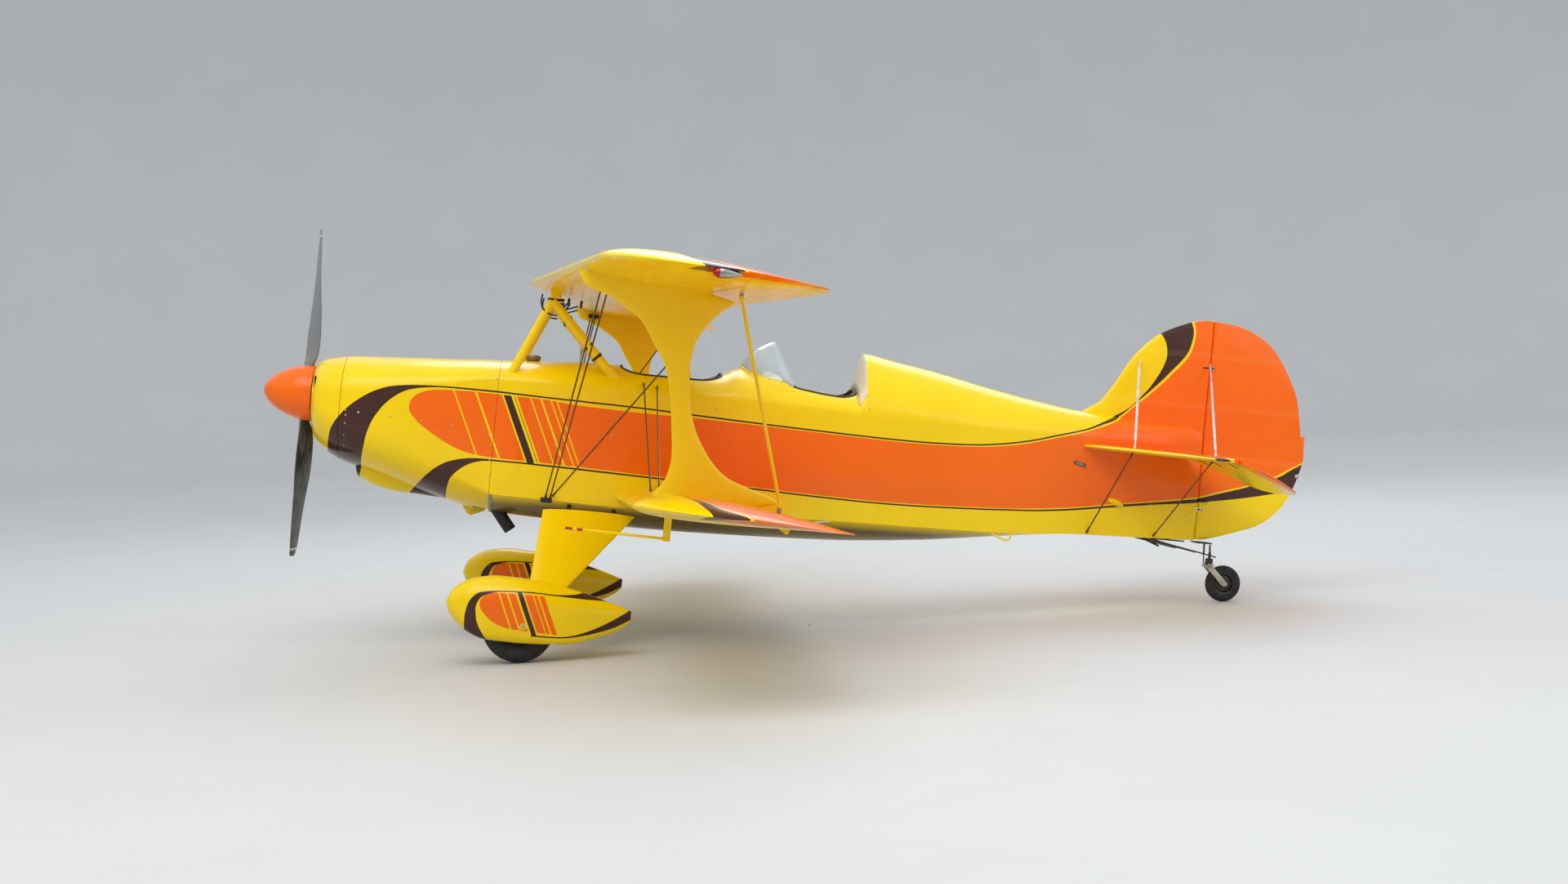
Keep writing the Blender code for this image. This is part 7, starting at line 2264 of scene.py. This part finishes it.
def puffed(part):
    """Cushion blown up by Cloth: 20 steps under inside pressure, each point's move held under the cap."""
    start, faces = remeshed(part, 0.0065)
    obj = scratch((start, faces), outward=False)
    cloth = obj.modifiers.new("cloth", "CLOTH")
    cloth.settings.quality = 4
    cloth.settings.mass = 0.3
    cloth.settings.use_pressure = True
    cloth.settings.uniform_pressure_force = PAD_PRESSURE
    cloth.settings.effector_weights.gravity = 0.0
    cloth.collision_settings.use_collision = False
    cloth.point_cache.frame_start = 1
    cloth.point_cache.frame_end = PAD_FRAMES
    for step in range(1, PAD_FRAMES + 1):
        bpy.context.scene.frame_set(step)
    points, faces = applied(obj)
    bpy.context.scene.frame_set(1)
    move = points - start
    far = np.linalg.norm(move, axis=1)
    return start + move * np.minimum(1.0, PAD_CAP / np.maximum(far, 1e-9))[:, None], faces


def finer(part):
    """One level of Catmull-Clark subdivision."""
    obj = scratch(part, outward=False)
    mod = obj.modifiers.new("subdivide", "SUBSURF")
    mod.levels = 1
    mod.render_levels = 1
    bpy.context.view_layer.update()
    return applied(obj)


def sewn(part, size, channels):
    """Channels sewn down both faces: depth falls off as a bell curve from each line."""
    points, faces = finer(part)
    x = np.abs(points[:, 0]) / (size[0] / 2)
    y = np.abs(points[:, 1]) / (size[1] / 2)
    room = np.clip((0.90 - y) / 0.12, 0, 1) * np.clip((0.93 - x) / 0.1, 0, 1)
    dip = sum(np.exp(-((points[:, 0] - line) / 0.0055)**2) for line in channels)
    points[:, 2] -= np.sign(points[:, 2]) * 0.0070 * dip * room
    return points, faces


def piping(part):
    """Cord sewn round a cushion: the farthest point in each of 72 directions, smoothed."""
    points = part[0]
    belt = points[np.abs(points[:, 2]) < 0.006]
    angle = np.arctan2(belt[:, 1], belt[:, 0])
    reach = np.linalg.norm(belt[:, :2], axis=1)
    bins = np.linspace(-math.pi, math.pi, 73)
    out = np.array([reach[(angle >= a) & (angle <= b)].max() for a, b in zip(bins[:-1], bins[1:])])
    middle = (bins[:-1] + bins[1:]) / 2
    path = np.stack([out * np.cos(middle), out * np.sin(middle), np.zeros(72)], 1)
    path = (np.roll(path, 1, 0) + 2 * path + np.roll(path, -1, 0)) / 4
    return rod(path, 0.0040, 10, closed=True, side_hint=(0, 0, 1))

# %% Belts


def webbing(name, color):
    """Woven belt: fine ribs across and along."""
    look = Look(name, 0.75, 0.0, 0.0, 0.3)
    ribs = look.math("SINE", look.math("MULTIPLY", look.field("along"), 2400.0))
    cross = look.math("SINE", look.math("MULTIPLY", look.field("across"), 3600.0))
    weave = look.math("MULTIPLY", ribs, cross)
    look.color(look.mix(look.span(weave, -1.0, 1.0), tuple(0.55 * c for c in color), color))
    look.rough(0.65, 0.85)
    look.bump(weave, 0.0003, 0.6)
    return look.mat


WEBBING = webbing("belt_webbing", (0.10, 0.105, 0.11))


BELT_THICK = 0.0022


def strap(path, width, up):
    """Flat band along a path, with its fields along and across."""
    path = smooth_path(path, 6)
    ahead = np.gradient(path, axis=0)
    ahead /= np.linalg.norm(ahead, axis=1)[:, None]
    across = np.cross(ahead, np.asarray(up, float))
    across /= np.linalg.norm(across, axis=1)[:, None]
    over = np.cross(across, ahead)
    corners = [(-1.0, 0.0), (-0.97, 1.0), (-0.5, 1.0), (0.0, 1.0), (0.5, 1.0), (0.97, 1.0), (1.0, 0.0),
               (0.97, -1.0), (0.0, -1.0), (-0.97, -1.0)]
    rows = np.stack([path + across * c * width / 2 + over * h * BELT_THICK / 2 for c, h in corners], 1)
    run = np.concatenate([[0], np.cumsum(np.linalg.norm(np.diff(path, axis=0), axis=1))])
    along = np.repeat(run, len(corners))
    side = np.tile([c * width / 2 for c, _ in corners], len(path))
    return skin(rows), along, side

# %% The two seats
BACK_UP = np.array((0.189, 0.0, 0.982))
BACK_OUT = np.array((-0.982, 0.0, 0.189))
SEAT_SIZE = (0.325, 0.242, 0.044)
REST_SIZE = (0.325, 0.385, 0.036)
CHANNELS = (-0.098, -0.049, 0.0, 0.049, 0.098)
seat_pad = sewn(puffed(box_pad(SEAT_SIZE)), SEAT_SIZE, CHANNELS)
rest_pad = sewn(puffed(box_pad(REST_SIZE)), REST_SIZE, CHANNELS)
seat_turn = np.stack([(0.0, -1.0, 0.0), (1.0, 0.0, 0.0), (0.0, 0.0, 1.0)], 1)
rest_turn = np.stack([(0.0, -1.0, 0.0), BACK_UP, BACK_OUT], 1)
PAN = smooth_path([(-0.296, 0.040), (-0.285, 0.031), (-0.20, 0.028), (-0.08, 0.026), (-0.015, 0.032),
                   (0.011, 0.072), (0.026, 0.150), (0.058, 0.320), (0.095, 0.512)], 6)
slope = np.gradient(PAN, axis=0)
slope /= np.linalg.norm(slope, axis=1)[:, None]
PAN_OUT = np.stack([-slope[:, 1], slope[:, 0]], 1)
PAN_EDGE = np.concatenate([(-1.0, -1.0, -0.997, -0.988, -0.970), np.linspace(-0.93, 0.93, 15),
                           (0.970, 0.988, 0.997, 1.0, 1.0)])
PAN_LIFT = np.concatenate([(0.030, 0.015, 0.0065, 0.0022, 0.0004), np.zeros(15),
                           (0.0004, 0.0022, 0.0065, 0.015, 0.030)])
floor_z = -0.4697           # zero height of the seats' own measures, just under the boards
for name, seat_x in (("front_seat", 2.20), ("rear_seat", 2.90)):
    rows = np.array([[(seat_x + p[0] + o[0] * h, 0.178 * e, floor_z + p[1] + o[1] * h)
                      for e, h in zip(PAN_EDGE, PAN_LIFT)] for p, o in zip(PAN, PAN_OUT)])
    pan = piece(name + "_pan", sheet_grid(rows, wrap=False), ALLOY, stands_for=[name],
                recalc=False, angle=50.0)
    thicken(pan, 0.0022)
    rails = [rod([(seat_x - 0.27, y, floor_z + 0.0165), (seat_x, y, floor_z + 0.0165)], 0.0085, 12)
             for y in (-0.13, 0.13)]
    piece(name + "_rails", join(*rails), TUBE)
    seat_at = (seat_x - 0.160, 0.0, floor_z + 0.066)
    rest_at = np.array((seat_x, 0.0, floor_z)) + BACK_UP * 0.318 + BACK_OUT * 0.030
    cushion = placed(seat_pad, seat_at, turn=seat_turn)
    backrest = placed(rest_pad, rest_at, turn=rest_turn)
    piece(name + "_cushion", cushion, LEATHER, angle=70.0)
    piece(name + "_backrest", backrest, LEATHER, angle=70.0)
    cords = join(placed(piping(seat_pad), seat_at, turn=seat_turn),
                 placed(piping(rest_pad), rest_at, turn=rest_turn))
    piece(name + "_piping", cords, BLACK_HIDE)
    soft = bmesh.new()
    mesh = bpy.data.meshes.new("scratch")
    both = join(cushion, backrest)
    mesh.from_pydata(both[0].tolist(), [], both[1])
    soft.from_mesh(mesh)
    bpy.data.meshes.remove(mesh)
    surface = BVHTree.FromBMesh(soft)
    soft.free()

    def lying(path):
        """Path laid on the nearest place of the cushions, a belt's thickness above it."""
        laid = []
        for p in smooth_path(path, 4):
            spot, way, _, _ = surface.find_nearest(Vector(p))
            laid.append(np.array(spot) + np.array(way) * BELT_THICK)
        return np.array(laid)[::2]

    belts = []
    seat_top = floor_z + 0.094
    for side in (-1, 1):
        lap = lying([(seat_x - 0.045, side * y, seat_top) for y in (0.150, 0.12, 0.09, 0.06, 0.03)])
        ends = [(seat_x - 0.020, side * 0.171, floor_z + 0.055),
                (seat_x - 0.035, side * 0.168, seat_top - 0.012)]
        belts.append(strap(np.concatenate([ends, lap[1:]]), 0.042, (0, side, 0.6)))
        top = np.array((seat_x, side * 0.075, floor_z)) + BACK_UP * 0.525 + BACK_OUT * 0.004
        chest = lying([np.array((seat_x, side * y, floor_z)) + BACK_UP * s + BACK_OUT * 0.075
                       for s, y in ((0.490, 0.074), (0.42, 0.072), (0.34, 0.068), (0.26, 0.060),
                                    (0.19, 0.048), (0.15, 0.038))])
        thigh = lying([(seat_x - 0.085, side * 0.028, seat_top + 0.02),
                       (seat_x - 0.062, side * 0.022, seat_top)])
        shoulder = np.concatenate([[top, top + BACK_OUT * 0.03], chest, thigh[:1]])
        belts.append(strap(shoulder, 0.040, BACK_OUT + 0.8 * BACK_UP))
    bands, along, across = zip(*belts)
    piece(name + "_belts", join(*bands), WEBBING,
          fields={"along": np.concatenate(along), "across": np.concatenate(across)})
    spot, way, _, _ = surface.find_nearest(Vector((seat_x - 0.055, 0.0, seat_top)))
    turn = np.array(way.to_track_quat("Z", "Y").to_matrix())
    buckle = join(slab((-0.030, -0.028, 0.002), (0.030, 0.028, 0.010), 0.003, 2),
                  slab((-0.022, -0.012, 0.009), (0.026, 0.012, 0.014), 0.002, 2))
    piece(name + "_buckle", placed(buckle, tuple(spot), turn=turn), STEEL)
print("seats", len(seat_pad[0]), len(rest_pad[0]), "points")

# %% [markdown]
# ## Engine behind the inlets
# Four air-cooled cylinders lie on their sides. A barrel is one turned outline whose radius steps in and
# out for its fins; an Array of discs would do the same with many more pieces. Only what the inlets let one
# see is made: cylinders, heads, the tubes beside them and the crankcase.

# %% Cylinders and crankcase
CRANKCASE = metal("crankcase_grey", (0.13, 0.135, 0.14), 0.45, 0.65, 0.6, scale=200.0, relief=0.0001)
engine = [slab((0.300, -0.128, -0.190), (0.920, 0.128, 0.128), 0.022, 3)]
for x in (0.455, 0.735):
    for side in (-1, 1):
        outline = [(0.0, 0.120), (0.080, 0.120)]
        for k in range(14):
            y = 0.130 + 0.0105 * k
            outline += [(0.072, y), (0.098, y), (0.098, y + 0.003), (0.072, y + 0.003)]
        outline += [(0.072, 0.280), (0.0, 0.280)]
        engine.append(placed(turned(outline, 40), (x, 0.0, 0.0), (0, side, 0)))
        low, high = sorted((side * 0.279, side * 0.335))
        engine.append(slab((x - 0.095, low, -0.088), (x + 0.095, high, 0.088), 0.014, 3))
        for dz in (-0.105, 0.105):
            engine.append(rod([(x, side * 0.120, dz * 0.9), (x, side * 0.300, dz * 0.72)], 0.009, 12))
piece("engine_block", join(*engine), CRANKCASE, stands_for=["engine"], angle=35.0)
print("engine", sum(len(p[1]) for p in engine), "faces")

# %% [markdown]
# ## Floor, light and the end
# The floor's rim curves up into a wall, so that no edge shows from any side. Large area lights and a pale
# sky give the enamel long soft reflections; a sun would be quicker, but draws hard shadows.

# %% Stage and lamps


def floor_look():
    """Pale matt floor."""
    look = Look("pale_floor", 0.7, 0.0, 0.0, 0.3)
    drift = look.span(look.noise(0.6, 4.0), 0.3, 0.7, 0.97, 1.0)
    look.color(look.toned((0.62, 0.62, 0.61), drift))
    look.rough(0.6, 0.8, 3.0)
    look.bump(look.noise(60.0, 4.0), 0.0004, 0.3)
    return look.mat


def make_floor():
    """Round floor whose rim curves up into a wall: radius and height against one angle."""
    rise = np.linspace(0.0, math.pi / 2, 14)
    radii = [0.01, 2.0, 5.0, 9.0, 14.0, 20.0, 26.0] + list(28.0 + 9.0 * np.sin(rise)) + [37.0]
    heights = [0.0] * 7 + list(9.0 - 9.0 * np.cos(rise)) + [15.0]
    turn = np.linspace(0, 2 * math.pi, 72, endpoint=False)
    rows = np.array([[(r * math.cos(a), r * math.sin(a), z) for a in turn] for r, z in zip(radii, heights)])
    points, faces = sheet_grid(rows)
    mesh = bpy.data.meshes.new("floor")
    mesh.from_pydata(points.tolist(), [], faces + [list(range(72))])
    mesh.shade_smooth()
    mesh.materials.append(floor_look())
    floor = linked("floor", mesh)

# %% Area lights


def soft_light(name, at, target, size, power, color=(1.0, 1.0, 1.0)):
    """Large area light aimed at a point."""
    data = bpy.data.lights.new(name, "AREA")
    data.shape = "RECTANGLE"
    data.size = size[0]
    data.size_y = size[1]
    data.energy = power
    data.color = color
    lamp = linked(name, data)
    lamp.location = at
    lamp.rotation_euler = (Vector(target) - Vector(at)).to_track_quat("-Z", "Y").to_euler()

# %% Floor, sky and lamps in place
make_floor()
world = bpy.data.worlds.new("studio")
bpy.context.scene.world = world
world.use_nodes = True
world.node_tree.nodes["Background"].inputs[0].default_value = (0.90, 0.95, 1.0, 1.0)
world.node_tree.nodes["Background"].inputs[1].default_value = 0.95
soft_light("key", (-3.0, -7.0, 9.0), (0.0, 0.0, 0.8), (9.0, 6.0), 520.0, (1.0, 0.985, 0.96))
soft_light("fill", (7.0, -8.0, 4.0), (0.5, 0.0, 0.8), (6.0, 5.0), 120.0, (0.93, 0.97, 1.0))
soft_light("back", (2.0, 8.0, 8.0), (0.0, 0.0, 1.0), (9.0, 5.0), 300.0)
bpy.context.scene.view_settings.view_transform = "Standard"     # keeps the enamel as strong as it is
